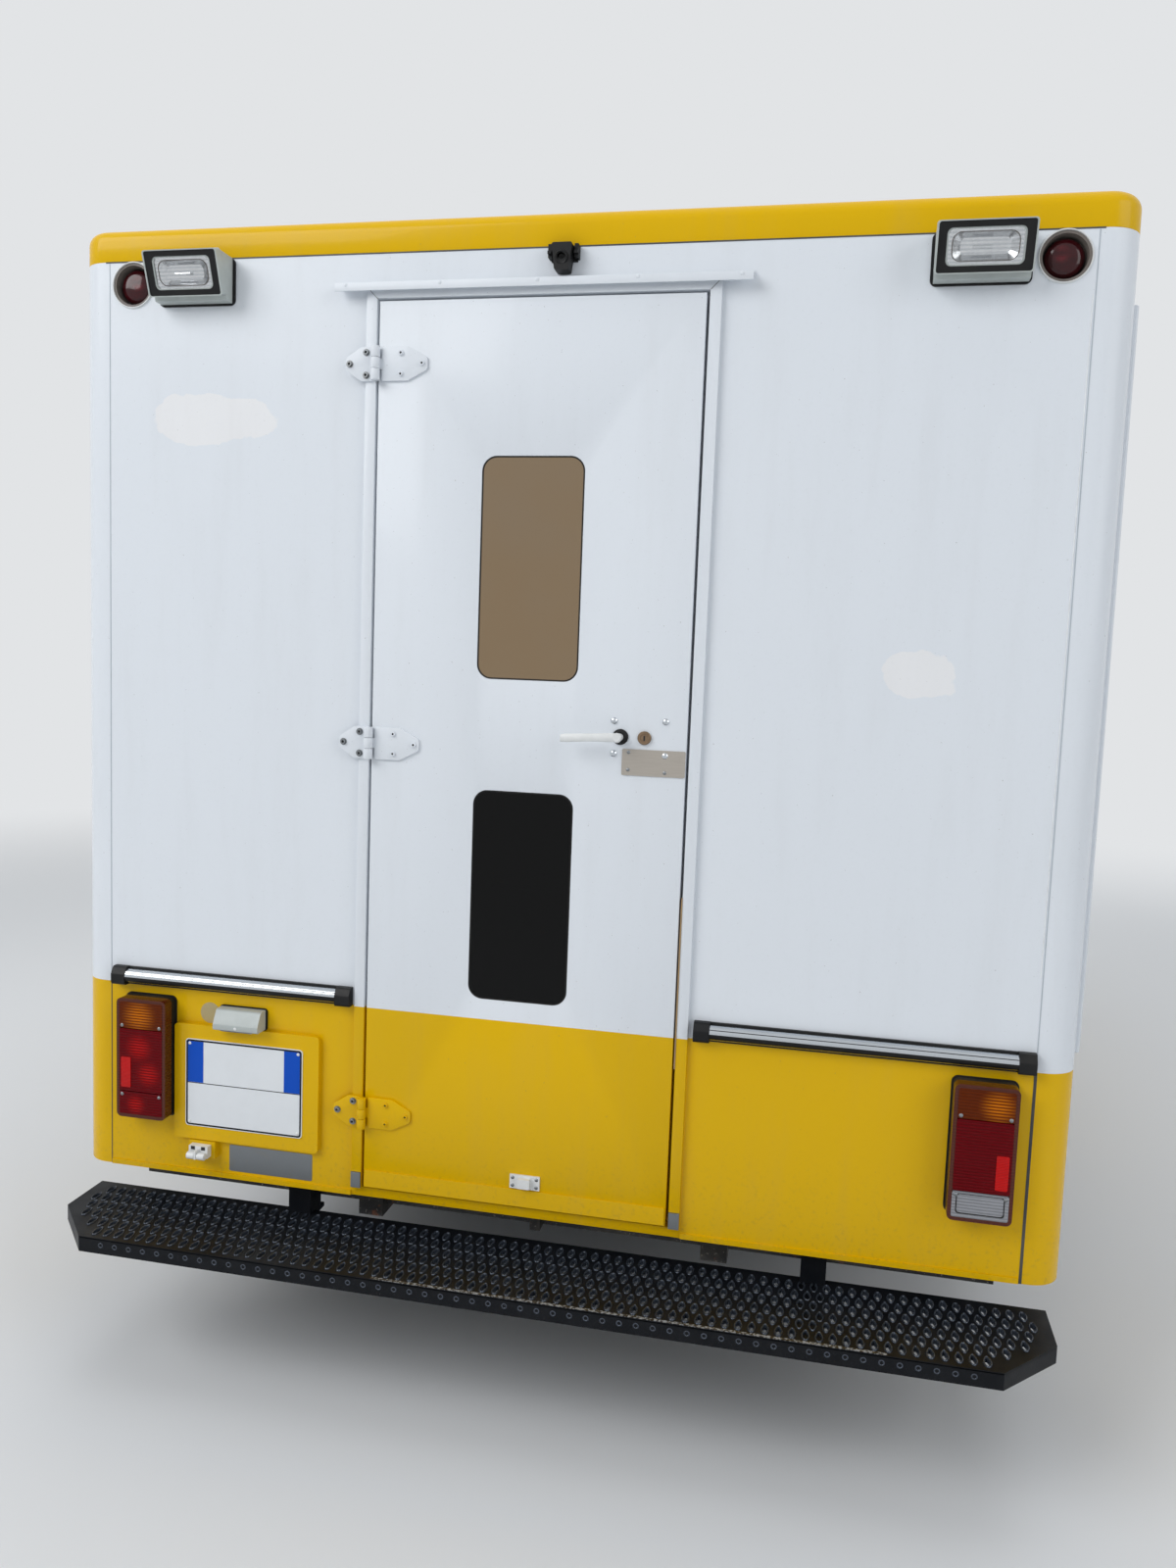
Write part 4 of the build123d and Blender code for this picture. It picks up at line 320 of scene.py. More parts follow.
@dataclass(frozen=True)
class CoachPaint(Finish):
    """Sprayed two-pack coach enamel on panels, glossy and slightly wavy."""

    colour: str = "#DEB100"
    white: str = "#DFE4EA"
    roughness: float = 0.24
    grain_depth_mm: float = 0.0
    coat: float = 0.06
    specular: float = 0.15
    unevenness: float = 0.03
    tone: Tone = Tone.TWO_TONE
    # Touched-up blots on the rear panels, columns: x, z, half width, half height
    blots: tuple[tuple[float, float, float, float], ...] = ()
    blot_colour: str = "#F1EEEC"
    blot_share: float = 0.5
    # Weight of the noise in a blot's outline, and the sums of distance and noise where it fades out
    ragged: float = 1.8
    blot_edge: Span = (1.78, 1.9)
    road_film: str = "#8E8A80"
    # Spatter thickens from the upper height to the lower one
    spatter: str = "#5F5546"
    spatter_heights: Span = (0.38, 0.7)
    spatter_shares: Span = (0.22, 0.015)
    chip: str = "#6E6A62"

    def cover(self, surface: Surface) -> None:
        """Lay out white and yellow, then touched-up blots, road film, spatter and chips."""
        tree = surface.tree
        parts = add_node(tree, "ShaderNodeSeparateXYZ", {0: surface.place})
        height = parts.outputs[2]
        if self.tone is Tone.TWO_TONE:
            surface.lay(self.white, add_node(tree, "ShaderNodeMath", {0: height, 1: BELT}, operation="GREATER_THAN"))
        elif self.tone is Tone.WHITE:
            surface.lay(self.white, 1.0)
        for blot in self.blots:
            away = surface.around(*blot)
            noise = add_node(tree, "ShaderNodeTexNoise", {"Vector": surface.place, "Scale": 14.0, "Detail": 4.0})
            ragged = add_node(tree, "ShaderNodeMath", {0: noise, 1: self.ragged}, operation="MULTIPLY")
            shaken = add_node(tree, "ShaderNodeMath", {0: away, 1: away, 2: ragged}, operation="MULTIPLY_ADD")
            near, far = self.blot_edge
            inputs = {"Value": shaken, "From Min": near, "From Max": far, "To Min": 1.0, "To Max": 0.0}
            inside = add_node(tree, "ShaderNodeMapRange", inputs, interpolation_type="SMOOTHSTEP")
            inputs = {0: parts.outputs[1], 1: REAR + 0.01}
            behind = add_node(tree, "ShaderNodeMath", inputs, operation="LESS_THAN")
            surface.lay(self.blot_colour, inside, behind, self.blot_share)
        # Faint vertical runs, drawn out along the height
        surface.lay(self.road_film, surface.speckle(70, 0.45, 0.8, 5.0, (1.0, 1.0, 0.12)), 0.05)
        (low, high), (most, least) = self.spatter_heights, self.spatter_shares
        inputs = {"Value": height, "From Min": low, "From Max": high, "To Min": most, "To Max": least}
        share = add_node(tree, "ShaderNodeMapRange", inputs)
        surface.lay(self.spatter, surface.speckle(9, 0.52, 0.7, 6.0), share)
        surface.lay(self.chip, surface.speckle(5, 0.745, 0.76, 2.0), 0.45)
        self.roughen(surface)


@dataclass(frozen=True)
class WornSteel(Finish):
    """Brushed-on black enamel on mild steel, chipped to grey and rust."""

    chip: str = "#77736C"
    rust: str = "#6A3B20"
    wear: float = 0.66
    rust_share: float = 0.7

    def cover(self, surface: Surface) -> None:
        """Lay on the enamel's tones, its rust and its chips."""
        surface.lay("#1C1D20", surface.speckle(40, 0.3, 0.7), 0.4)
        surface.lay(self.rust, surface.speckle(24, self.wear - 0.04, self.wear + 0.08, 6.0), self.rust_share)
        surface.lay(self.chip, surface.speckle(7, self.wear, self.wear + 0.03, 4.0))
        self.settle(surface)


@dataclass(frozen=True)
class DrawnMetal(Finish):
    """Bare metal with fine parallel drawing lines, or cast skin without them."""

    line_mm: float = 0.8
    stretch: Point = (1.0, 1.0, 1.0)

    def cover(self, surface: Surface) -> None:
        """Draw the lines and stain the metal."""
        lines = surface.speckle(self.line_mm, 0.25, 0.75, 2.0, self.stretch)
        surface.lay("#3C3B39", lines, self.mottle)
        surface.lay(self.dust_colour, surface.speckle(30, 0.5, 0.75, 5.0), self.dust)
        inputs = {"Value": lines, "To Min": self.roughness * 0.92, "To Max": min(1.0, self.roughness * 1.1)}
        surface.feed("Roughness", "ShaderNodeMapRange", inputs)
        self.emboss(surface, lines, self.grain_depth_mm, 0.5)


@dataclass(frozen=True)
class Glazing(Finish):
    """Toughened sheet glass, tinted through, with a faint greasy film."""

    clear: float = 1.0

    def cover(self, surface: Surface) -> None:
        """Vary the tint and lay on the film."""
        surface.lay("#8A8F90", surface.speckle(260, 0.3, 0.7), self.mottle)
        film = surface.speckle(55, 0.5, 0.8, 6.0)
        inputs = {"Value": film, "To Min": self.roughness, "To Max": self.roughness + 0.06}
        surface.feed("Roughness", "ShaderNodeMapRange", inputs)


@dataclass(frozen=True)
class LensPlastic(Finish):
    """Injection-moulded acrylic lens with optic ribs inside, darker in painted shade bands along the ribs and
    brighter in patches of painted highlight before its reflector bowls.
    """

    rib_mm: float = 6.5
    rib_depth_mm: float = 0.9
    clear: float = 0.35
    ior: float = 1.49
    # The deep tint also colours the painted shade bands of the ribs, and the glow colour is a painted highlight
    deep: str = "#1A0503"
    painted_highlight_colour: str = "#FF4A20"
    # Patches of painted highlight before the bright bowls behind the lens, columns: x, z, radius
    highlight_patches: tuple[Point, ...] = ()

    def cover(self, surface: Surface) -> None:
        """Draw the ribs as painted shade bands, the patches of painted highlight streaked by them, and the grime."""
        inputs = {"Vector": surface.place, "Scale": 1000 / self.rib_mm / 10 * math.pi, "Distortion": 0.0}
        ribs = add_node(surface.tree, "ShaderNodeTexWave", inputs, bands_direction="Z").outputs["Fac"]
        surface.lay(self.deep, surface.speckle(45, 0.3, 0.7), self.mottle)
        # Painted shade: the ribs darken the colour in bands
        surface.lay(self.deep, ribs, 0.3)
        # Painted highlight: lighter patches before the bowls, streaked by the ribs
        for x, z, radius in self.highlight_patches:
            away = surface.around(x, z, radius, radius)
            inputs = {"Value": away, "From Min": 0.1, "From Max": 1.0, "To Min": 0.85, "To Max": 0.0}
            highlight_mask = add_node(surface.tree, "ShaderNodeMapRange", inputs, interpolation_type="SMOOTHSTEP")
            surface.lay(self.painted_highlight_colour, highlight_mask, ribs)
        surface.lay("#9A8F80", surface.speckle(20, 0.5, 0.8, 5.0), self.dust)
        self.emboss(surface, ribs, self.rib_depth_mm, 0.9)


@dataclass(frozen=True)
class SeatCloth(Finish):
    """Flat-woven polyester seat cloth with a soft sheen."""

    # Real threads are finer, and are drawn coarse enough to show
    thread_mm: float = 4.0
    thread_depth_mm: float = 0.6

    def cover(self, surface: Surface) -> None:
        """Weave the threads and fleck them."""
        surface.shader.inputs["Sheen Weight"].default_value = 0.35
        surface.shader.inputs["Sheen Roughness"].default_value = 0.5
        inputs = {"Vector": surface.place, "Scale": 1000 / self.thread_mm / 20 * math.pi, "Distortion": 0.4}
        warp, weft = (
            add_node(surface.tree, "ShaderNodeTexWave", inputs, bands_direction=direction).outputs["Fac"]
            for direction in "XZ"
        )
        weave = add_node(surface.tree, "ShaderNodeMath", {0: warp, 1: weft}, operation="MULTIPLY")
        surface.lay("#3B4352", weave, 0.5)
        surface.lay("#5A6273", surface.speckle(12, 0.55, 0.7), 0.3)
        self.emboss(surface, weave, self.thread_depth_mm, 0.8)


# Patches of painted highlight on the rear lenses, before the bright bowls behind them, columns: x, z, radius of the
# bright bowl
RED_HIGHLIGHT_PATCHES = ((-0.950, 0.762, 0.042), (-0.925, 0.700, 0.038), (-0.958, 0.624, 0.030))
AMBER_HIGHLIGHT_PATCHES = ((-0.950, 0.838, 0.050), (0.978, 0.838, 0.044))
MARKER_HIGHLIGHT_PATCHES = ((-0.985, 2.518, 0.022), (0.985, 2.518, 0.022))
BLOTS = ((-0.80, 2.215, 0.150, 0.055), (0.775, 1.70, 0.075, 0.050))
# Noise drawn out into lines that run across the vehicle
DRAWN = (0.03, 1.0, 1.0)
# What the two moulded plastics and the two lamp lenses share
COARSE = {"grain_mm": 1.5, "grain_depth_mm": 0.12}
LAMP = {"dust": 0.0, "specular": 0.15, "clear": 0.2, "ior": 1.3}
FINISHES: tuple[Finish, ...] = (
    CoachPaint(BELTED, blots=BLOTS),
    CoachPaint(WHITE, tone=Tone.WHITE),
    CoachPaint(YELLOW, tone=Tone.YELLOW),
    Finish("white_nylon", "#E4E6E6", 0.38, dust=0.08),
    Finish("pale_grey_abs", "#B4BBB9", 0.4, dust=0.1),
    Finish("grey_polypropylene", "#5E6163", 0.55, **COARSE),
    Finish(BLACK, "#101113", 0.48, **COARSE, dust=0.03, specular=0.25),
    Finish(RUBBER, "#101011", 0.62, dust=0.06, specular=0.25),
    Finish("tan_weathered_foam", "#A88A63", 0.85, grain_mm=2.5, grain_depth_mm=0.4),
    Finish("dark_sealant", "#3A3B3B", 0.6, dust=0.2),
    # Grey for the painted shade along the post seams
    Finish("seam_shade_grey", "#B3BBC3", 0.4, dust=0.0),
    Finish("white_sealant_bead", "#EDF0F2", 0.3, dust=0.0),
    Finish("blue_reflective_sheet", "#004CBC", 0.35, dust=0.0, specular=0.2, mottle=0.02),
    Finish("white_reflective_sheet", "#E2E6EA", 0.32, dust=0.02, mottle=0.02),
    Finish("weathered_glue_mark", "#B7A676", 0.8, dust=0.25),
    # Black for painted shade in keyholes and screw sockets, and for the catch's dark springs
    Finish("pit_shade_and_spring_black", "#1A1A1C", 0.7),
    Finish("grey_lamp_recess", "#6A625E", 0.5, dust=0.3),
    WornSteel(
        "worn_step_enamel", "#090C11", 0.42, grain_mm=2.5, grain_depth_mm=0.1, dust=0.02, dust_colour="#5A5F68",
        wear=0.78, rust_share=0.05, rust="#3A3634", specular=0.15,
    ),
    # Grip rims and dimples: lighter than the step, partly real scuffing and partly painted highlight
    WornSteel(
        "grip_scuff_and_highlight_enamel", "#454C57", 0.24, 0.45, grain_mm=2.5, grain_depth_mm=0.0, dust=0.0, wear=0.72,
        rust_share=0.0, chip="#8A9098",
    ),
    WornSteel("rubbed_step_edge", "#1B1E25", 0.34, grain_mm=2, dust=0.0, wear=0.5, rust_share=0.02, chip="#8B9097"),
    WornSteel("chassis_enamel", "#101112", 0.55, grain_mm=4, grain_depth_mm=0.2, dust=0.3, wear=0.64),
    DrawnMetal(
        "anodised_aluminium", "#C4C9CE", 0.24, 1.0, line_mm=14, stretch=DRAWN, grain_depth_mm=0.0, dust=0.0,
        mottle=0.03,
    ),
    DrawnMetal(
        "brushed_stainless", "#B2ABA2", 0.46, 0.75, line_mm=1.6, stretch=DRAWN, grain_depth_mm=0.004, dust=0.08
    ),
    DrawnMetal(ZINC, "#888C8F", 0.38, 1.0, grain_depth_mm=0.03, dust=0.25),
    DrawnMetal("chrome_plate", "#D9DBDD", 0.08, 1.0, grain_depth_mm=0.0, dust=0.06),
    DrawnMetal(
        "aluminised_reflector", "#D6D8DA", 0.14, 1.0, grain_depth_mm=0.0, line_mm=9, stretch=(1, 1, 0.1), dust=0.0
    ),
    DrawnMetal("tarnished_brass", "#8C7660", 0.4, 1.0, grain_depth_mm=0.04, dust=0.35, dust_colour="#45392C"),
    DrawnMetal("grey_cast_iron", "#4A4846", 0.6, 1.0, line_mm=3, grain_depth_mm=0.3, dust=0.4, dust_colour="#5A3A24"),
    DrawnMetal("silver_wheel_paint", "#A4A7AA", 0.36, 0.75, grain_depth_mm=0.02, dust=0.35, dust_colour="#4F4A43"),
    # The dark pane mirrors far less in the photo than a pale studio would show at the usual 1.5
    Glazing("smoked_glass", "#14181C", 0.03, dust=0.0, mottle=0.01, ior=1.27),
    Glazing("bronze_reflective_film", "#8F7A60", 0.03, 0.75, dust=0.0, clear=0.0),
    Glazing("windscreen_glass", "#D9E6E2", 0.015),
    LensPlastic("red_lamp_acrylic", "#74000C", 0.16, **LAMP, painted_highlight_colour="#D81C16", highlight_patches=RED_HIGHLIGHT_PATCHES),
    LensPlastic("amber_lamp_acrylic", "#6C2902", 0.16, **LAMP, deep="#3A1402", painted_highlight_colour="#F58A0C", highlight_patches=AMBER_HIGHLIGHT_PATCHES),
    LensPlastic("smoky_rim_acrylic", "#5A2412", 0.2, rib_depth_mm=0.0, dust=0.02, specular=0.3, clear=0.1),
    LensPlastic(
        "wine_marker_acrylic", "#4A0712", 0.12, dust=0.02, specular=0.3, rib_mm=30, rib_depth_mm=0.1, painted_highlight_colour="#8E2430",
        highlight_patches=MARKER_HIGHLIGHT_PATCHES,
    ),
    LensPlastic("clear_lamp_acrylic", "#AEB0B6", 0.12, dust=0.03, specular=0.3, clear=0.3, deep="#4C4E54"),
    LensPlastic(
        "fluted_lamp_glass", "#FFFFFF", 0.03, rib_mm=7, rib_depth_mm=0.1, dust=0.0, clear=1.0, deep="#D4D8DA"
    ),
    LensPlastic("blue_beacon_acrylic", "#0B37C4", 0.12, rib_mm=12, dust=0.05, clear=0.7, deep="#04103A"),
    LensPlastic("reflex_reflector", "#CC0E0E", 0.25, specular=0.2, rib_mm=3.2, rib_depth_mm=0.5, dust=0.0, clear=0.0),
    SeatCloth("woven_seat_cloth", "#22262E", 0.85),
)


# Shapes


def circle(radius: float, count: int) -> list[Flat]:
    """Give evenly spaced points round the origin."""
    angles = (2 * math.pi * step / count for step in range(count))
    return [(radius * math.cos(angle), radius * math.sin(angle)) for angle in angles]


def rounded(rows: Sequence[Point], steps: int = 5) -> list[Flat]:
    """Round the corners of an outline.

    Args:
        rows: corners as first value, second value and radius.
        steps: pieces in each rounded corner.
    Returns:
        The outline's points.
    """
    points: list[Flat] = []
    count = len(rows)
    for index, (first, second, radius) in enumerate(rows):
        corner = Vector((first, second))
        if radius <= 0:
            points.append((first, second))
            continue
        before = (Vector(rows[index - 1][:2]) - corner).normalized()
        after = (Vector(rows[(index + 1) % count][:2]) - corner).normalized()
        half = before.angle(after) / 2
        reach = radius / math.tan(half)
        centre = corner + (before + after).normalized() * (radius / math.sin(half))
        start = corner + before * reach - centre
        turn = start.angle_signed(corner + after * reach - centre)
        for step in range(steps + 1):
            spoke = start.copy()
            spoke.rotate(Matrix.Rotation(-turn * step / steps, 2))
            points.append((centre.x + spoke.x, centre.y + spoke.y))
    return points


def rounded_box(first: Span, second: Span, radius: float, inset: float = 0.0, steps: int = 5) -> list[Flat]:
    """Give the outline of a rectangle with round corners, whose sides lie inside two spans by an inset."""
    (left, right), (low, high) = ((span[0] + inset, span[1] - inset) for span in (first, second))
    return rounded([(left, low, radius), (right, low, radius), (right, high, radius), (left, high, radius)], steps)


def soften(work: Work, width: float, angle: float, segments: int = 2) -> None:
    """Bevel the edges that are sharper than an angle in degrees."""
    if width:
        limit = math.radians(angle)
        sharp = [edge for edge in work.edges if len(edge.link_faces) == 2 and edge.calc_face_angle(0.0) > limit]
        bmesh.ops.bevel(
            work, geom=sharp, offset=width, segments=segments, profile=0.5, affect="EDGES", clamp_overlap=True
        )


def smooth(mesh: bpy.types.Mesh, angle: float) -> bpy.types.Mesh:
    """Shade a mesh smooth, apart from edges sharper than an angle in degrees."""
    work = bmesh.new()
    work.from_mesh(mesh)
    for face in work.faces:
        face.smooth = True
    for edge in work.edges:
        edge.smooth = len(edge.link_faces) == 2 and edge.calc_face_angle(0.0) <= math.radians(angle)
    work.to_mesh(mesh)
    work.free()
    return mesh


class Form:
    """Closed shapes gathered into one mesh, in metres in the vehicle's frame."""

    def __init__(self) -> None:
        """Start with nothing."""
        self.mesh = bmesh.new()
        self.frame = Matrix.Identity(4)

    def to_mesh(self, name: str, angle: float) -> bpy.types.Mesh:
        """Turn the shapes into a shaded mesh and let go of them."""
        mesh = bpy.data.meshes.new(name)
        self.mesh.to_mesh(mesh)
        self.mesh.free()
        return smooth(mesh, angle)

    def take(self, part: Work, slot: int = 0, bevel: float = 0.0, segments: int = 2) -> None:
        """Soften a shape's edges and join it in.

        Args:
            part: the shape, which is used up.
            slot: which of the piece's finishes it gets.
            bevel: width of its softened edges.
            segments: faces across each of them.
        """
        soften(part, bevel, SHAPE_EDGE, segments)
        bmesh.ops.transform(part, matrix=self.frame, verts=part.verts)
        bmesh.ops.recalc_face_normals(part, faces=part.faces)
        for face in part.faces:
            face.material_index = slot
        mesh = bpy.data.meshes.new("part")
        part.to_mesh(mesh)
        part.free()
        self.mesh.from_mesh(mesh)
        bpy.data.meshes.remove(mesh)

    def skin(
        self, loops: Sequence[Loop], slot: int = 0, bevel: float = 0.0, hollow: bool = False, segments: int = 2
    ) -> None:
        """Join loops of equally many points.

        Args:
            loops: the loops in order.
            slot: which of the piece's finishes it gets.
            bevel: width of its softened edges.
            hollow: whether the last loop joins the first, and not each its own cap.
            segments: faces across a softened edge.
        """
        part = bmesh.new()
        rings = [[part.verts.new(point) for point in loop] for loop in loops]
        pairs = list(zip(rings, rings[1:]))
        if hollow:
            pairs.append((rings[-1], rings[0]))
        for lower, upper in pairs:
            for index in range(len(lower)):
                nearby = (index + 1) % len(lower)
                part.faces.new((lower[index], lower[nearby], upper[nearby], upper[index]))
        if not hollow:
            part.faces.new(rings[0])
            part.faces.new(rings[-1])
        self.take(part, slot, bevel, segments)

    def prism(
        self, outline: Sequence[Flat], axis: Axis, span: Span, slot: int = 0, bevel: float = 0.0, segments: int = 2
    ) -> None:
        """Extrude an outline between two distances along an axis."""
        self.skin([axis.loop(outline, along) for along in span], slot, bevel, False, segments)

    def panel(
        self, axis: Axis, first: Span, second: Span, radius: float, span: Span, slot: int = 0, bevel: float = 0.0
    ) -> None:
        """Add a plate with round corners that fills two spans and a third along an axis."""
        self.prism(rounded_box(first, second, radius), axis, span, slot, bevel)

    def block(self, x: Span, y: Span, z: Span, slot: int = 0, bevel: float = 0.0, segments: int = 2) -> None:
        """Add an upright block that fills three spans."""
        self.prism([(x[0], y[0]), (x[1], y[0]), (x[1], y[1]), (x[0], y[1])], Axis.Z, z, slot, bevel, segments)

    def hoop(
        self, outer: Sequence[Flat], inner: Sequence[Flat], axis: Axis, span: Span, slot: int = 0, bevel: float = 0.0
    ) -> None:
        """Add a flat ring between two outlines of equally many points."""
        rings = ((outer, span[0]), (outer, span[1]), (inner, span[1]), (inner, span[0]))
        self.skin([axis.loop(outline, along) for outline, along in rings], slot, bevel, hollow=True)

    def lathe(
        self, rows: Sequence[Flat], centre: Point, axis: Point, steps: int = 32, slot: int = 0, hollow: bool = False
    ) -> None:
        """Turn an outline about an axis.

        Args:
            rows: points as distance along the axis and radius.
            centre: where the distance is 0.
            axis: direction of the axis.
            steps: faces round.
            slot: which of the piece's finishes it gets.
            hollow: whether the outline is a closed ring and not capped.
        """
        turn = Vector(axis).normalized().to_track_quat("Z", "X").to_matrix()
        loops = [
            [Vector(centre) + turn @ Vector((*spoke, along)) for spoke in circle(radius, steps)]
            for along, radius in rows
        ]
        self.skin(loops, slot, 0.0, hollow)

    def tube(self, path: Sequence[Point], radius: float, sides: int = 12, slot: int = 0) -> None:
        """Add a round bar that follows a path of points."""
        points = [Vector(point) for point in path]
        loops = []
        for index, point in enumerate(points):
            ahead = points[min(index + 1, len(points) - 1)] - points[max(index - 1, 0)]
            turn = ahead.normalized().to_track_quat("Z", "Y").to_matrix()
            loops.append([point + turn @ Vector((*spoke, 0)) for spoke in circle(radius, sides)])
        self.skin(loops, slot)


@dataclass(frozen=True)
class Place:
    """Where a repeated shape stands, and how it is turned."""

    point: Point
    turn: Point = ORIGIN


def on_rear(y: float, points: Iterable[Flat]) -> list[Place]:
    """Give places on a face that looks to the rear, from their x and z."""
    return [Place((x, y, z), TO_REAR) for x, z in points]


class Bench:
    """Turns forms into finished pieces that ride on the vehicle's bodies."""

    def __init__(self, frame: dict[str, object]) -> None:
        """Make every finish once.
        """
        self.nodes = frame["nodes"]
        self.slots = {row["node"]: row["material_slot"] for row in frame["record"]["subparts"]}
        self.materials = {finish.name: finish.build() for finish in FINISHES}
        self.stamp_tree = self.make_stamp_tree()

    def finish_object(
        self, name: str, mesh: bpy.types.Mesh, body: str, replaces: str = ""
    ) -> bpy.types.Object:
        """Link a mesh as a piece that rides on a body.

        Args:
            name: the piece's name.
            mesh: its mesh with its finishes.
            body: the body that carries it.
            replaces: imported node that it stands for.
        Returns:
            The piece.
        """
        piece = bpy.data.objects.new(name, mesh)
        bpy.context.scene.collection.objects.link(piece)
        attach(piece, body)
        if replaces:
            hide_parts(replaces)
        LOG.info("%s: %d faces on %s", name, len(mesh.polygons), body)
        return piece

    def piece(
        self,
        name: str,
        form: Form,
        finishes: Sequence[str],
        slot: str,
        body: str = "root",
        replaces: str = "",
        angle: float = CRISP,
    ) -> bpy.types.Object:
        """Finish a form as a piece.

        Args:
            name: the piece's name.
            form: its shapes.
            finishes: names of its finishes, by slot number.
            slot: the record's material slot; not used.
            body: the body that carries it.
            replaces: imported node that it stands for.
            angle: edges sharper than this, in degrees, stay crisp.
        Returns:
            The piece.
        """
        mesh = form.to_mesh(name, angle)
        for finish in finishes:
            mesh.materials.append(self.materials[finish])
        return self.finish_object(name, mesh, body, replaces)

    def refine(self, node: str, finish: str, bevel: float = 0.0) -> None:
        """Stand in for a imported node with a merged, softened copy of it.

        Args:
            node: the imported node.
            finish: name of its finish.
            bevel: width of its softened edges.
        """
        source = self.nodes[node]
        mesh = source.data.copy()
        work = bmesh.new()
        work.from_mesh(mesh)
        bmesh.ops.remove_doubles(work, verts=work.verts, dist=SAME_POINT)
        limit = math.radians(SAME_FACE)
        bmesh.ops.dissolve_limit(
            work, angle_limit=limit, verts=work.verts, edges=work.edges, use_dissolve_boundaries=False
        )
        soften(work, bevel, PACKED_EDGE)
        bmesh.ops.triangulate(work, faces=[face for face in work.faces if len(face.verts) > 4])
        work.to_mesh(mesh)
        work.free()
        for layer in list(mesh.attributes):
            if layer.name == "custom_normal":
                mesh.attributes.remove(layer)
        mesh.materials.clear()
        mesh.materials.append(self.materials[finish])
        self.finish_object(f"{node}_dressed", smooth(mesh, CRISP), source["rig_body"], node)

    def dress(self, rows: Panels) -> None:
        """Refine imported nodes."""
        for row in rows:
            self.refine(*row)

    @staticmethod
    def make_stamp_tree() -> bpy.types.NodeTree:
        """Build the tree that sets one shape on every point of a mesh.

        Returns:
            The tree, with the points, the shape and its finish as inputs.
        """
        tree = bpy.data.node_groups.new("stamp_on_points", "GeometryNodeTree")
        for label, kind in (("Points", "Geometry"), ("Stamp", "Object"), ("Finish", "Material")):
            tree.interface.new_socket(label, in_out="INPUT", socket_type=f"NodeSocket{kind}")
        tree.interface.new_socket("Geometry", in_out="OUTPUT", socket_type="NodeSocketGeometry")
        given = add_node(tree, "NodeGroupInput").outputs
        shape = add_node(tree, "GeometryNodeObjectInfo", {"Object": given["Stamp"]}).outputs["Geometry"]
        turn = add_node(tree, "GeometryNodeInputNamedAttribute", {"Name": "turn"}, data_type="FLOAT_VECTOR")
        turned = add_node(tree, "FunctionNodeEulerToRotation", {0: turn.outputs["Attribute"]})
        inputs = {"Points": given["Points"], "Instance": shape, "Rotation": turned}
        stamped = add_node(tree, "GeometryNodeInstanceOnPoints", inputs)
        real = add_node(tree, "GeometryNodeRealizeInstances", {"Geometry": stamped})
        finished = add_node(tree, "GeometryNodeSetMaterial", {"Geometry": real, "Material": given["Finish"]})
        add_node(tree, "NodeGroupOutput", {0: finished})
        return tree

    def stamp(
        self,
        name: str,
        form: Form,
        places: Sequence[Place],
        finish: str,
        body: str = "root",
        angle: float = CRISP,
    ) -> None:
        """Repeat a small form, drawn round the origin, at many places as one plain mesh.

        Args:
            name: the piece's name.
            form: the repeated shape.
            places: where each copy stands.
            finish: name of its finish.
            body: the body that carries it.
            angle: edges sharper than this, in degrees, stay crisp.
        """
        points = bpy.data.meshes.new(f"{name}_points")
        points.from_pydata([place.point for place in places], [], [])
        turns = points.attributes.new("turn", "FLOAT_VECTOR", "POINT")
        turns.data.foreach_set("vector", [value for place in places for value in place.turn])
        shape = bpy.data.objects.new(f"{name}_shape", form.to_mesh(f"{name}_shape", angle))
        holder = bpy.data.objects.new(f"{name}_holder", points)
        for helper in (shape, holder):
            bpy.context.scene.collection.objects.link(helper)
        modifier = holder.modifiers.new("stamps", "NODES")
        modifier.node_group = self.stamp_tree
        sockets = {item.name: item.identifier for item in self.stamp_tree.interface.items_tree}
        modifier[sockets["Stamp"]] = shape
        modifier[sockets["Finish"]] = self.materials[finish]
        bpy.context.view_layer.update()
        evaluated = holder.evaluated_get(bpy.context.evaluated_depsgraph_get())
        mesh = bpy.data.meshes.new_from_object(evaluated)
        mesh.name = name
        holder.modifiers.remove(modifier)
        for helper in (holder, shape):
            bpy.data.objects.remove(helper)
        self.finish_object(name, mesh, body)


def dome_head(radius: float, height: float, steps: int = 14) -> Form:
    """Give a domed screw or rivet head that stands on the XY plane."""
    form = Form()
    rows = ((0.0, 1.0), (0.35, 0.96), (0.75, 0.68), (1.0, 0.2))
    form.lathe([(height * along, radius * wide) for along, wide in rows], ORIGIN, UP, steps)
    return form


def socket_screw(radius: float, height: float) -> Form:
    """Give a socket screw with its open socket on a washer, standing on the XY plane."""
    washer = ((0.0, 1.35), (0.22, 1.35))
    head = ((0.2, 1.0), (0.85, 1.0), (1.0, 0.88), (1.0, 0.56), (0.94, 0.5), (0.3, 0.48))
    form = Form()
    for rows, steps in ((washer, 18), (head, 12)):
        form.lathe([(height * along, radius * wide) for along, wide in rows], ORIGIN, UP, steps)
    return form


# Assemblies


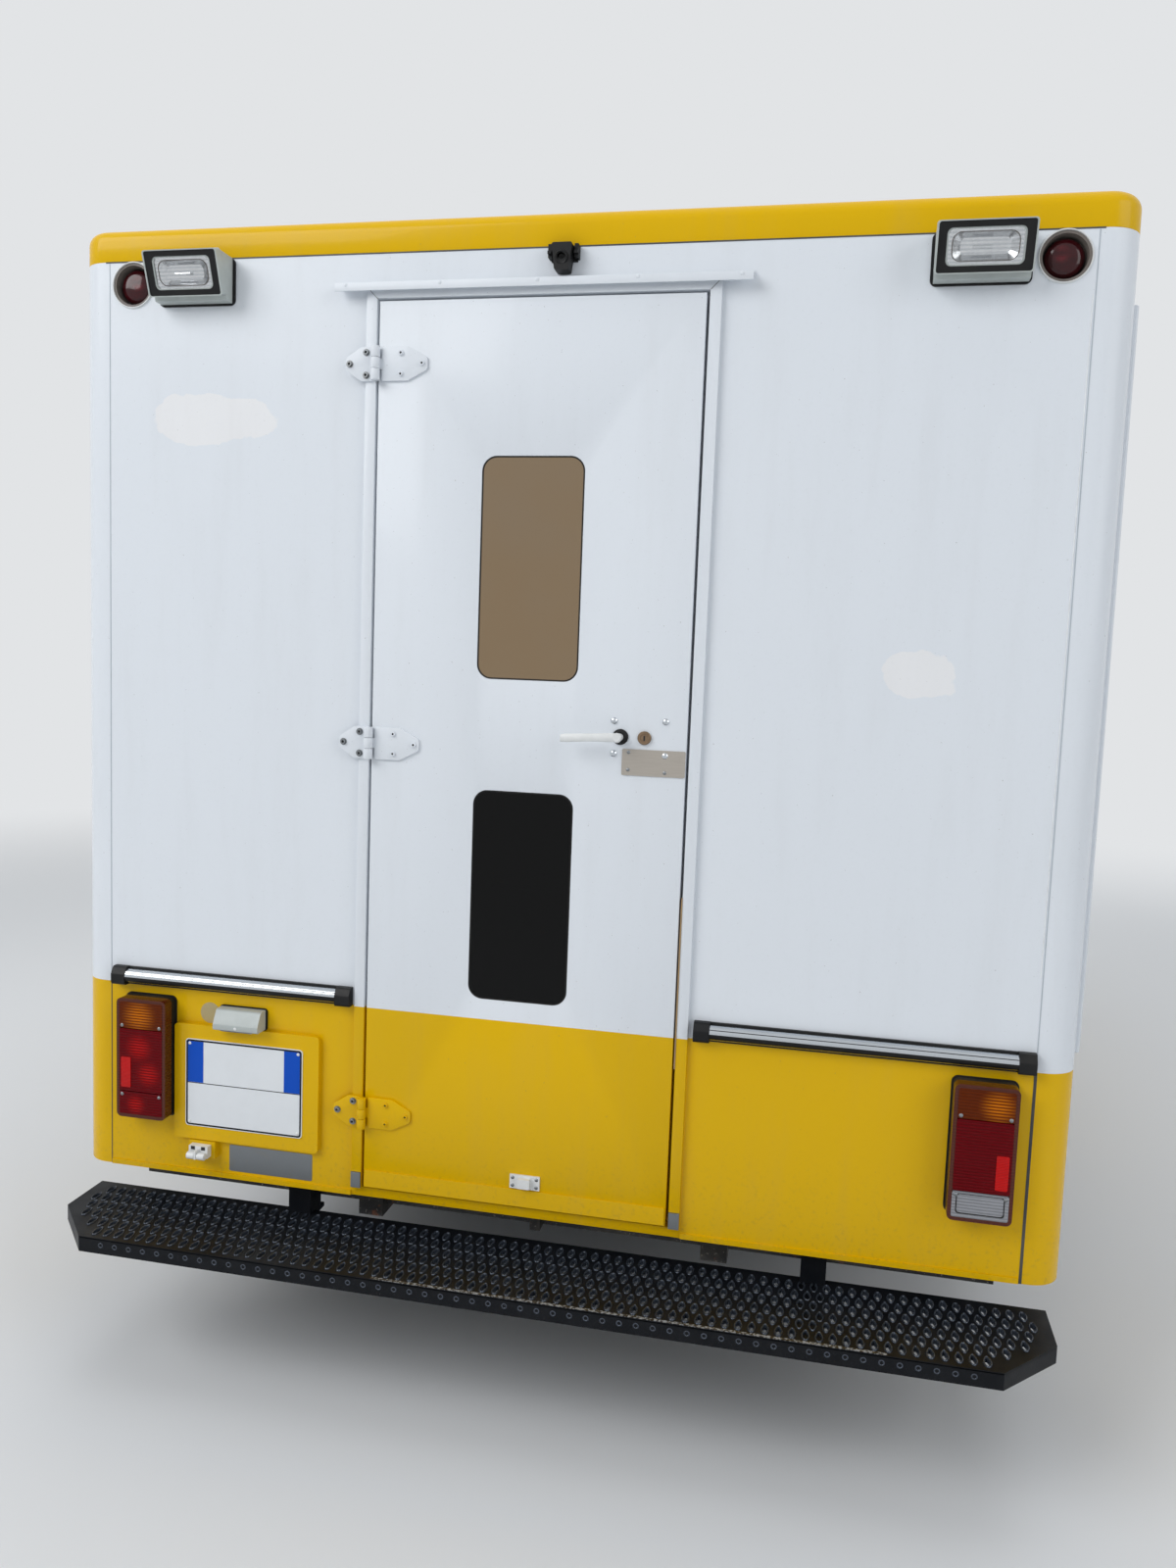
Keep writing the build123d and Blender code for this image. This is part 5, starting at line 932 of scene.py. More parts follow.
@dataclass
class CoachBody:
    """The box body's own panels, dressed, with their seams and sealing."""

    panels: Panels = (
        ("box_rear_wall", BELTED),
        ("corner_posts", BELTED),
        ("box_side_left", BELTED),
        ("box_side_right", BELTED),
        ("box_front_wall", WHITE),
        ("roof_cap", YELLOW, 0.002),
        ("box_floor", "grey_polypropylene"),
        ("side_panel", WHITE, 0.003),
    )
    seam_proud: float = 0.0006
    open_seam: float = 0.006
    lip_height: float = 0.012
    lip_proud: float = 0.0035
    # Middles of the outer rows of screws on the side panel
    panel_y: Span = (-2.563, -1.613)
    panel_z: Span = (0.948, 2.422)
    panel_x: float = 1.151

    def build(self, bench: Bench) -> None:
        """Dress the panels and add seams, the lower lip and the panel's screws."""
        bench.dress(self.panels)
        self.seams(bench)
        lip = Form()
        for x in ((-POST_SEAM + 0.002, -0.432), (0.340, POST_SEAM - 0.004)):
            lip.block(x, (REAR - self.lip_proud, REAR), (BOX_BOTTOM, BOX_BOTTOM + self.lip_height), 0, 0.0012)
        bench.piece("lower_lip", lip, [YELLOW], "yellow_paint")
        (rear, front), (low, high) = self.panel_y, self.panel_z
        spots = [(y, low + (high - low) * step / 8) for step in range(9) for y in self.panel_y]
        spots += [(rear + (front - rear) * step / 6, z) for step in range(1, 6) for z in self.panel_z]
        screws = [Place((self.panel_x, y, z), TO_RIGHT) for y, z in spots]
        bench.stamp("side_panel_screws", dome_head(0.0065, 0.003), screws, ZINC)

    def seams(self, bench: Bench) -> None:
        """Lay the sealed joints between the rear panels and under the roof edge, and grey lines of painted shade up
        the post seams.
        """
        form = Form()
        back = (REAR - self.seam_proud, REAR + 0.002)
        upper = (BELT, ROOF_SEAM - 0.003)
        form.block(about(POST_SEAM, self.open_seam / 2), back, (BOX_BOTTOM, BELT))
        form.block(about(-POST_SEAM, 0.001), back, (BOX_BOTTOM, BELT))
        form.block((-1.062, 1.062), back, (ROOF_SEAM - 0.002, ROOF_SEAM + 0.001))
        for outer, inner in ((-0.4275, -0.4035), (0.3375, 0.3135)):
            line = [(outer, 2.4885), (outer + 0.0014, 2.4885), (inner + 0.0014, 2.4645), (inner, 2.4645)]
            form.prism(line, Axis.Y, (DOOR_FACE - self.seam_proud, DOOR_FACE + 0.002))
        # Grey lines up both post seams on the white: painted shade in the seams
        form.block((-POST_SEAM - 0.0012, -POST_SEAM + 0.0008), back, upper, 1)
        form.block((POST_SEAM - 0.0008, POST_SEAM + 0.0012), back, upper, 1)
        bead = ((0.0, 0.0), (0.0008, 0.0008), (0.0016, 0.0012), (0.0024, 0.0008), (0.0032, 0.0))
        form.prism([(POST_SEAM - 0.006 + a, REAR + 0.001 - 2 * b) for a, b in bead], Axis.Z, (1.10, 2.44), 2)
        bench.piece("sealed_joints", form, ["dark_sealant", "seam_shade_grey", "white_sealant_bead"], "black_plastic")
        marks = Form()
        marks.lathe([(0.0, 0.025), (0.0004, 0.0245)], (-0.793, REAR, 0.849), BACK, 28)
        marks.panel(Axis.Y, (-0.741, -0.530), (0.469, 0.533), 0.004, (REAR - 0.0006, REAR), 1)
        bench.piece("bare_label_and_disc", marks, ["weathered_glue_mark", ZINC], "grey_plastic")


@dataclass
class RearDoor:
    """The hinged rear door with its panes, seals, handle, lock and hinges."""

    panels: Panels = (
        ("rear_door", BELTED, 0.0012),
        ("rear_door_frame", BELTED, 0.0006),
        ("rear_door_hinges", BELTED, 0.0007),
        ("rear_hinges", BELTED, 0.0007),
    )
    # Columns: height of the pane, finish
    windows: tuple[tuple[Span, str], ...] = (
        ((1.660, 2.134), "bronze_reflective_film"),
        ((0.949, 1.417), "smoked_glass"),
    )
    window_x: Span = (-0.158, 0.067)
    corner: float = 0.032
    seal_edge: float = 0.0032
    pane_y: Span = (-2.6818, -2.668)
    hinge_heights: tuple[float, ...] = (0.658, 1.508, 2.327)
    leaf_face: float = -2.688
    pivot: Flat = (0.165, 1.548)
    lock: Flat = (0.217, 1.548)
    # Lever, columns: x, y, z, half height, half depth
    lever: tuple[tuple[float, float, float, float, float], ...] = (
        (0.169, -2.7265, 1.5480, 0.0092, 0.0055),
        (0.150, -2.7275, 1.5482, 0.0096, 0.0055),
        (0.120, -2.7280, 1.5470, 0.0086, 0.0045),
        (0.085, -2.7275, 1.5450, 0.0086, 0.0042),
        (0.054, -2.7260, 1.5430, 0.0090, 0.0042),
        (0.045, -2.7250, 1.5424, 0.0082, 0.0036),
        (0.043, -2.7248, 1.5422, 0.0070, 0.0028),
    )

    def build(self, bench: Bench) -> None:
        """Build the door, its frame and everything on them."""
        bench.dress(self.panels)
        self.panes(bench)
        self.bolts(bench)
        self.handle(bench)
        self.trims(bench)

    def panes(self, bench: Bench) -> None:
        """Fit both panes and the rubber profile round each."""
        glass = Form()
        seals = Form()
        for index, (z, _) in enumerate(self.windows):
            outer, inner = (
                rounded_box(self.window_x, z, self.corner - inset, inset, 8) for inset in (0.0003, self.seal_edge)
            )
            glass.prism(inner, Axis.Y, self.pane_y, index, 0.0006, 1)
            seals.hoop(outer, inner, Axis.Y, (self.pane_y[0] - 0.0007, self.pane_y[1]), 0, 0.0004)
        finishes = [finish for _, finish in self.windows]
        bench.piece("rear_door_panes", glass, finishes, "dark_glass", "rear_door", "rear_door_glass")
        bench.piece("rear_door_seals", seals, [RUBBER], "black_plastic", "rear_door")

    def bolts(self, bench: Bench) -> None:
        """Fasten the hinge leaves down, three socket screws in each."""
        # Columns: leaf, kind of fastener, body, finish, x of tip and root, spread, sizes of the screw and of the
        # black dome of painted shade in its socket
        rows = (
            ("fixed_leaf", "bolts", "root", ZINC, -0.462, -0.424, 0.024, (0.0058, 0.0052), (0.0031, 0.0042)),
            ("moving_leaf", "screws", "rear_door", BELTED, -0.297, -0.345, 0.022, (0.0052, 0.0044), (0.0028, 0.0036)),
        )
        for leaf, kind, body, finish, tip, root, spread, screw, hole in rows:
            spots = ((tip, 0.0), (root, spread), (root, -spread))
            places = on_rear(self.leaf_face, [(x, z + up) for z in self.hinge_heights for x, up in spots])
            bench.stamp(f"{leaf}_{kind}", socket_screw(*screw), places, finish, body)
            # A black dome sits in each socket: painted shade in the pit
            bench.stamp(f"{leaf}_sockets", dome_head(*hole), places, "pit_shade_and_spring_black", body)

    def handle(self, bench: Bench) -> None:
        """Build the lever handle, lock, cover plate and striker."""
        form = Form()
        # Columns: rows of distance and radius, place, faces round, finish, for the rosette, the stem and the lock
        turned = (
            (((0.0, 0.017), (0.004, 0.017), (0.009, 0.0125), (0.011, 0.011)), self.pivot, 32, 0),
            (((0.0, 0.008), (0.030, 0.008), (0.036, 0.0095), (0.046, 0.0105), (0.050, 0.008)), self.pivot, 24, 1),
            (
                ((0.0, 0.0145), (0.0055, 0.0145), (0.007, 0.013), (0.007, 0.0085), (0.0055, 0.0080), (0.0055, 0.001)),
                self.lock, 32, 2,
            ),
        )
        for rows, (x, z), steps, slot in turned:
            form.lathe(rows, (x, DOOR_FACE, z), BACK, steps, slot)
        ring = circle(1.0, 12)
        form.skin([[(x, y + deep * a, z + half * b) for a, b in ring] for x, y, z, half, deep in self.lever], 1)
        x, z = self.lock
        # A black block for the keyhole: painted shade in the hole
        form.block(about(x, 0.0016), (DOOR_FACE - 0.0062, DOOR_FACE - 0.005), (z - 0.006, z + 0.005), 3, 0.0003)
        # Cover plate to the door's edge, then the striker at the door's foot
        form.panel(Axis.Y, (0.170, 0.306), (1.467, 1.523), 0.003, (DOOR_FACE - 0.002, DOOR_FACE), 4, 0.0004)
        form.block((-0.047, 0.022), (DOOR_FACE - 0.004, DOOR_FACE), (0.523, 0.555), 1, 0.001)
        form.block((-0.026, 0.001), (DOOR_FACE - 0.016, DOOR_FACE - 0.003), (0.528, 0.550), 1, 0.003)
        finishes = [BLACK, "white_nylon", "tarnished_brass", "pit_shade_and_spring_black", "brushed_stainless"]
        bench.piece("handle_and_lock", form, finishes, "stainless", "rear_door", "door_hardware")
        domes = on_rear(DOOR_FACE, ((0.150, 1.582), (0.261, 1.584), (0.151, 1.512), (0.262, 1.512)))
        head = dome_head(0.0072, 0.0048, 20)
        bench.stamp("handle_bolts", head, domes, "anodised_aluminium", "rear_door")
        small = on_rear(DOOR_FACE - 0.002, ((0.184, 1.5165), (0.184, 1.479), (0.263, 1.476)))
        small += on_rear(DOOR_FACE - 0.004, [(x, z) for x in (-0.040, 0.015) for z in (0.530, 0.548)])
        bench.stamp("plate_screws", dome_head(0.0040, 0.0020), small, ZINC, "rear_door")

    def trims(self, bench: Bench) -> None:
        """Add the kick band, the frame's end pads, its fasteners and the worn seal."""
        band = Form()
        band.block((-0.394, 0.304), (DOOR_FACE - 0.0025, DOOR_FACE + 0.001), (0.4805, 0.520), 0, 0.0008)
        bench.piece("door_kick_band", band, [YELLOW], "yellow_paint", "rear_door")
        pads = Form()
        for x in ((-0.4275, -0.4040), (0.3140, 0.3375)):
            pads.block(x, (DOOR_FACE - 0.003, DOOR_FACE + 0.002), (0.475, 0.512), 0, 0.001)
        bench.piece("frame_end_pads", pads, [ZINC], "stainless")
        seal = Form()
        seal.block((0.3108, 0.3134), (-2.6845, -2.676), (0.835, 1.210), 0, 0.0006)
        bench.piece("worn_gap_seal", seal, ["tan_weathered_foam"], "grey_plastic")
        places = on_rear(-2.700, [(-0.470 + 0.212 * step, 2.4895) for step in range(5)])
        bench.stamp("channel_rivets", dome_head(0.0045, 0.0015), places, WHITE)


# Where the rear lamps' finishes stand in their list
AMBER_LENS = 3
RED_LENS = 4
CLEAR_LENS = 5


@dataclass
class TailLamp:
    """One rear lamp cluster: a rim, three lens fields and a reflex reflector."""

    x: Span
    side: int
    lowest_lens: int
    z: Span = (0.591, 0.879)
    depth: float = 0.050
    rim: float = 0.0085
    amber_low: float = 0.807
    red_low: float = 0.655

    def build(self, form: Form) -> None:
        """Add the cluster to a form whose finishes are listed by RearFittings."""
        face = REAR - self.depth
        form.prism(rounded_box(self.x, self.z, 0.014, -0.003), Axis.Y, (REAR - 0.004, REAR))
        outer = rounded_box(self.x, self.z, 0.012)
        inner = rounded_box(self.x, self.z, 0.006, self.rim)
        form.hoop(outer, inner, Axis.Y, (face + 0.0302, REAR - 0.004), 0, 0.001)
        form.hoop(outer, inner, Axis.Y, (face + 0.002, face + 0.030), 1, 0.0022)
        form.prism(inner, Axis.Y, (REAR - 0.016, REAR - 0.005), 2)
        low, high = self.x[0] + self.rim - 0.0005, self.x[1] - self.rim + 0.0005
        # Columns: bottom, top, finish
        fields = (
            (self.amber_low + 0.001, self.z[1] - self.rim, AMBER_LENS),
            (self.red_low + 0.001, self.amber_low - 0.001, RED_LENS),
            (self.z[0] + self.rim, self.red_low - 0.001, self.lowest_lens),
        )
        for bottom, top, slot in fields:
            form.panel(Axis.Y, (low, high), (bottom, top), 0.004, (face + 0.001, face + 0.012), slot, 0.002)
            if slot == CLEAR_LENS:
                line = [
                    rounded_box((low + inset, high - inset), (bottom + inset, top - inset * 0.5), 0.006)
                    for inset in (0.008, 0.0102)
                ]
                form.hoop(*line, Axis.Y, (face + 0.0006, face + 0.002))
        edge = self.x[0] if self.side < 0 else self.x[1]
        x = sorted(edge - self.side * inset for inset in (0.013, 0.038))
        z = (self.red_low + 0.010, self.red_low + 0.083)
        form.panel(Axis.Y, x, z, 0.003, (face - 0.0006, face + 0.006), 6, 0.001)

    def screws(self) -> list[Place]:
        """Give the places of the four lens screws."""
        columns = (self.x[0] + 0.015, self.x[1] - 0.015)
        rows = (self.amber_low + 0.007, self.red_low - 0.008)
        return on_rear(REAR - self.depth + 0.001, [(x, z) for x in columns for z in rows])


@dataclass
class RearFittings:
    """Lamps, plate board, buffer rails, camera and catch on the rear wall."""

    # Finishes of the rear lamps; the three coloured lenses stand where the constants above say
    lamp_finishes: tuple[str, ...] = (
        RUBBER, "smoky_rim_acrylic", "aluminised_reflector", "amber_lamp_acrylic", "red_lamp_acrylic",
        "clear_lamp_acrylic", "reflex_reflector", "white_nylon", "grey_lamp_recess", "wine_marker_acrylic",
    )
    tails: tuple[TailLamp, ...] = (TailLamp((-1.008, -0.882), -1, RED_LENS), TailLamp((0.891, 1.019), 1, CLEAR_LENS))
    marker: Flat = (0.993, 2.512)
    work_x: tuple[Span, ...] = ((-0.921, -0.745), (0.747, 0.930))
    work_z: Span = (2.465, 2.561)
    work_depths: Span = (0.051, 0.085)
    rails: tuple[Span, ...] = ((-1.038, -0.436), (0.350, 1.050))
    rail_low: float = 0.902
    board_x: Span = (-0.878, -0.512)
    board_z: Span = (0.542, 0.821)
    plate_x: Span = (-0.848, -0.551)
    plate_z: Span = (0.575, 0.787)
    band: float = 0.046

    def build(self, bench: Bench) -> None:
        """Build every fitting."""
        self.rear_lamps(bench)
        self.work_lamps(bench)
        self.plate(bench)
        self.buffer(bench)
        self.camera(bench)
        self.catch(bench)

    def rear_lamps(self, bench: Bench) -> None:
        """Build the tail lamps and the marker lamps above them."""
        form = Form()
        places: list[Place] = []
        for tail in self.tails:
            tail.build(form)
            places += tail.screws()
        ring = ((0.0, 0.0515), (0.0025, 0.051), (0.004, 0.0498), (0.004, 0.0485), (0.0, 0.048))
        recess = (
            (0.0006, 0.0484), (0.0006, 0.0428), (-0.026, 0.0415), (-0.026, 0.0400), (-0.028, 0.0428), (-0.002, 0.0429)
        )
        dome = ((-0.0248, 0.0380), (-0.015, 0.0370), (-0.009, 0.0320), (-0.0055, 0.022), (-0.0045, 0.008))
        for side, _ in SIDES:
            centre = (side * self.marker[0], REAR, self.marker[1])
            form.lathe(ring, centre, BACK, 48, 7, hollow=True)
            form.lathe(recess, centre, BACK, 48, 8, hollow=True)
            form.lathe([(-0.029, 0.0405), (-0.025, 0.0405)], centre, BACK)
            form.lathe(dome, centre, BACK, 48, 9)
        bench.piece("rear_lamp_clusters", form, self.lamp_finishes, "red_lens", replaces="rear_lamps")
        bench.stamp("lens_screws", dome_head(0.0042, 0.002), places, ZINC)

    def work_lamps(self, bench: Bench) -> None:
        """Build the two work lamps, whose faces lean down."""
        form = Form()
        low, high = self.work_z
        shallow, deep = self.work_depths
        lean = math.atan2(deep - shallow, high - low)
        tall = (high - low) / 2 / math.cos(lean)
        root = REAR - 0.005
        shell = [(root, low), (REAR - shallow + 0.020, low), (REAR - deep + 0.020, high), (root, high)]
        # Outlines of the face from its rim inwards, columns: inset, corner
        outlines = (
            (0.0, 0.006), (0.003, 0.005), (0.019, 0.011), (0.0225, 0.010), (0.029, 0.018), (0.031, 0.017),
            (0.045, 0.010),
        )
        # The bowl runs from its floor out over the flange and back behind itself, columns: outline, depth
        bowl = ((6, 0.0180), (5, 0.0072), (3, 0.0064), (3, 0.0076), (5, 0.0086), (6, 0.0195))
        for left, right in self.work_x:
            form.panel(Axis.Y, (left - 0.004, right + 0.004), (low - 0.004, high + 0.001), 0.012, (root, REAR))
            form.prism(shell, Axis.X, (left + 0.002, right - 0.002), 1, 0.004)
            half = (right - left) / 2
            middle = Matrix.Translation(((left + right) / 2, REAR - (shallow + deep) / 2, (low + high) / 2))
            form.frame = middle @ Matrix.Rotation(lean, 4, "X")
            loops = []
            for inset, corner in outlines:
                z = (-tall + 0.003 + inset * 0.72, tall - 0.004 - inset * 0.72)
                loops.append(rounded_box(about(0.0, half - inset), z, corner, steps=6))
            form.hoop(loops[0], loops[1], Axis.Y, (-0.0005, 0.021), 1, 0.0008)
            form.hoop(loops[1], loops[2], Axis.Y, (0.0015, 0.012), 0, 0.0015)
            form.hoop(loops[2], loops[3], Axis.Y, (0.0030, 0.012), 1, 0.0005)
            form.prism(loops[3], Axis.Y, (0.0040, 0.0054), 3, 0.0004)
            form.skin([Axis.Y.loop(loops[row], along) for row, along in bowl], 2)
            form.hoop(loops[4], loops[5], Axis.Y, (0.0060, 0.0070), 4, 0.0002)
            form.tube([(-0.022, 0.013, -0.002), (0.014, 0.013, -0.002)], 0.0035, 10, 2)
            form.frame = Matrix.Identity(4)
        finishes = [BLACK, "pale_grey_abs", "aluminised_reflector", "fluted_lamp_glass", "grey_lamp_recess"]
        bench.piece("work_lamp_housings", form, finishes, "grey_plastic", replaces="work_lamps")

    def plate(self, bench: Bench) -> None:
        """Build the board, the blank plate and the lamp over it."""
        form = Form()
        board_face = REAR - 0.013
        face = REAR - 0.015
        print_y = (face - 0.0003, face + 0.0002)
        form.panel(Axis.Y, self.board_x, self.board_z, 0.009, (board_face, REAR), 0, 0.0015)
        form.panel(Axis.Y, self.plate_x, self.plate_z, 0.008, (face, board_face), 1, 0.0004)
        outer = rounded_box(self.plate_x, self.plate_z, 0.007, 0.002)
        form.hoop(outer, rounded_box(self.plate_x, self.plate_z, 0.004, 0.006), Axis.Y, print_y, 2)
        (low, high), (bottom, top) = self.plate_x, self.plate_z
        middle = (bottom + top) / 2
        inside = 0.0062
        for span in ((low + inside, low + self.band), (high - self.band, high - inside)):
            form.block(span, print_y, (middle + 0.001, top - inside), 3)
        form.block((low + inside, high - inside), print_y, (middle - 0.0012, middle + 0.0006), 2)
        # Plate lamp on its gasket
        form.panel(Axis.Y, (-0.766, -0.646), (0.820, 0.873), 0.008, (REAR - 0.004, REAR), 2)
        # Columns: distance to the rear, height, radius
        rows = (
            (0.004, 0.824, 0.0), (0.045, 0.824, 0.004), (0.045, 0.838, 0.006), (0.028, 0.870, 0.008),
            (0.004, 0.870, 0.0),
        )
        lamp = rounded([(REAR - out, up, radius) for out, up, radius in rows], 3)
        form.prism(lamp, Axis.X, (-0.762, -0.650), 4, 0.003)
        form.block((-0.745, -0.667), (REAR - 0.040, REAR - 0.008), (0.8215, 0.826), 5, 0.001)
        finishes = [YELLOW, "white_reflective_sheet", BLACK, "blue_reflective_sheet", "pale_grey_abs"]
        finishes.append("clear_lamp_acrylic")
        bench.piece("plate_and_board", form, finishes, "yellow_board", replaces="plate_board")
        places = on_rear(face, [(x, z) for x in (low + 0.011, high - 0.011) for z in (bottom + 0.011, top - 0.011)])
        places += on_rear(REAR - 0.0445, [(-0.706, 0.831)])
        bench.stamp("plate_corner_screws", dome_head(0.0038, 0.0018), places, "white_nylon")

    def buffer(self, bench: Bench) -> None:
        """Build the two buffer rails: black body, bright upper strip with black bands of painted shade and painted
        reflection on it, end caps.
        """
        form = Form()
        low = self.rail_low

        def curve(turn: float, out: float = 0.0) -> Flat:
            """Give a point of the strip's face, or of one that lies proud of it."""
            return REAR - 0.0085 - (0.0163 + out) * math.cos(turn), low + 0.021 + (0.0166 + out) * math.sin(turn)

        strip = [(REAR - 0.006, low + 0.0375)]
        strip += [curve(math.pi * (0.42 - 0.84 * step / 8)) for step in range(9)]
        strip.append((REAR - 0.006, low + 0.0045))
        # Columns: distance to the rear, height over the rail's foot, radius
        rows = (
            (0.0, -0.0005, 0.0), (0.0253, -0.0005, 0.008), (0.0258, 0.0255, 0.008), (0.0160, 0.0425, 0.008),
            (0.0, 0.0425, 0.0),
        )
        cap = rounded([(REAR - out, low + up, radius) for out, up, radius in rows], 4)
        for first, last in self.rails:
            bright = (first + 0.030, last - 0.030)
            form.block((first + 0.001, last - 0.001), (REAR - 0.007, REAR), (low, low + 0.042), 0, 0.0015)
            form.prism(strip, Axis.X, bright, 1)
            # Black bands drawn on the strip: the thin upper one is painted shade in a groove, the broad lower one a
            # painted reflection of the dark ground
            for top, bottom in ((0.60, 0.51), (-0.02, -0.78)):
                turns = [top + (bottom - top) * step / 6 for step in range(7)]
                insert = [curve(turn, 0.0006) for turn in turns] + [curve(turn, -0.002) for turn in reversed(turns)]
                form.prism(insert, Axis.X, bright)
            form.prism(cap, Axis.X, (first, first + 0.035), 0, 0.0015)
            form.prism(cap, Axis.X, (last - 0.035, last), 0, 0.0015)
        bench.piece("buffer_rail_set", form, [BLACK, "anodised_aluminium"], "black_plastic", replaces="buffer_rails")

    def camera(self, bench: Bench) -> None:
        """Build the reversing camera under the roof edge."""
        form = Form()
        head = ((-0.009, 2.505, 0.004), (0.021, 2.505, 0.004), (0.028, 2.560, 0.004), (-0.016, 2.560, 0.004))
        form.prism(rounded(head, 3), Axis.Y, (REAR - 0.036, REAR - 0.004), 0, 0.003)
        form.block((-0.022, 0.034), (REAR - 0.006, REAR), (2.530, 2.560), 0, 0.001)
        for x in ((-0.026, -0.018), (0.030, 0.038)):
            form.block(x, (REAR - 0.022, REAR), (2.534, 2.561), 0, 0.002)
            form.block(x, (REAR - 0.028, REAR - 0.020), (2.540, 2.546), 0, 0.001)
        eye = (0.006, REAR - 0.034, 2.531)
        aim = (0.0, -0.92, -0.4)
        ring = ((-0.004, 0.0135), (0.006, 0.0135), (0.008, 0.012), (0.006, 0.009), (-0.004, 0.009))
        form.lathe(ring, eye, aim, 28, hollow=True)
        form.lathe([(-0.006, 0.009), (0.001, 0.009), (0.004, 0.004)], eye, aim, 24, 1)
        bench.piece("camera_head", form, [BLACK, "smoked_glass"], "black_plastic", replaces="reversing_camera")

    def catch(self, bench: Bench) -> None:
        """Build the catch that holds the door open."""
        form = Form()
        form.block((-0.838, -0.770), (REAR - 0.017, REAR), (0.500, 0.540), 0, 0.002)
        form.block((-0.828, -0.780), (REAR - 0.034, REAR - 0.016), (0.506, 0.534), 1, 0.003)
        roller = ((-0.0105, 0.006), (-0.009, 0.0085), (0.009, 0.0085), (0.0105, 0.006))
        for x in (-0.8170, -0.7910):
            form.lathe(roller, (x, REAR - 0.042, 0.514), ACROSS, 20, 1)
            form.block(about(x, 0.005), (REAR - 0.0346, REAR - 0.030), (0.5255, 0.5335), 2, 0.001)
        form.block((-0.8065, -0.8015), (REAR - 0.050, REAR - 0.030), (0.508, 0.528), 1, 0.0015)
        bench.piece("open_catch", form, [YELLOW, "white_nylon", "pit_shade_and_spring_black"], "yellow_board", replaces="door_catch")


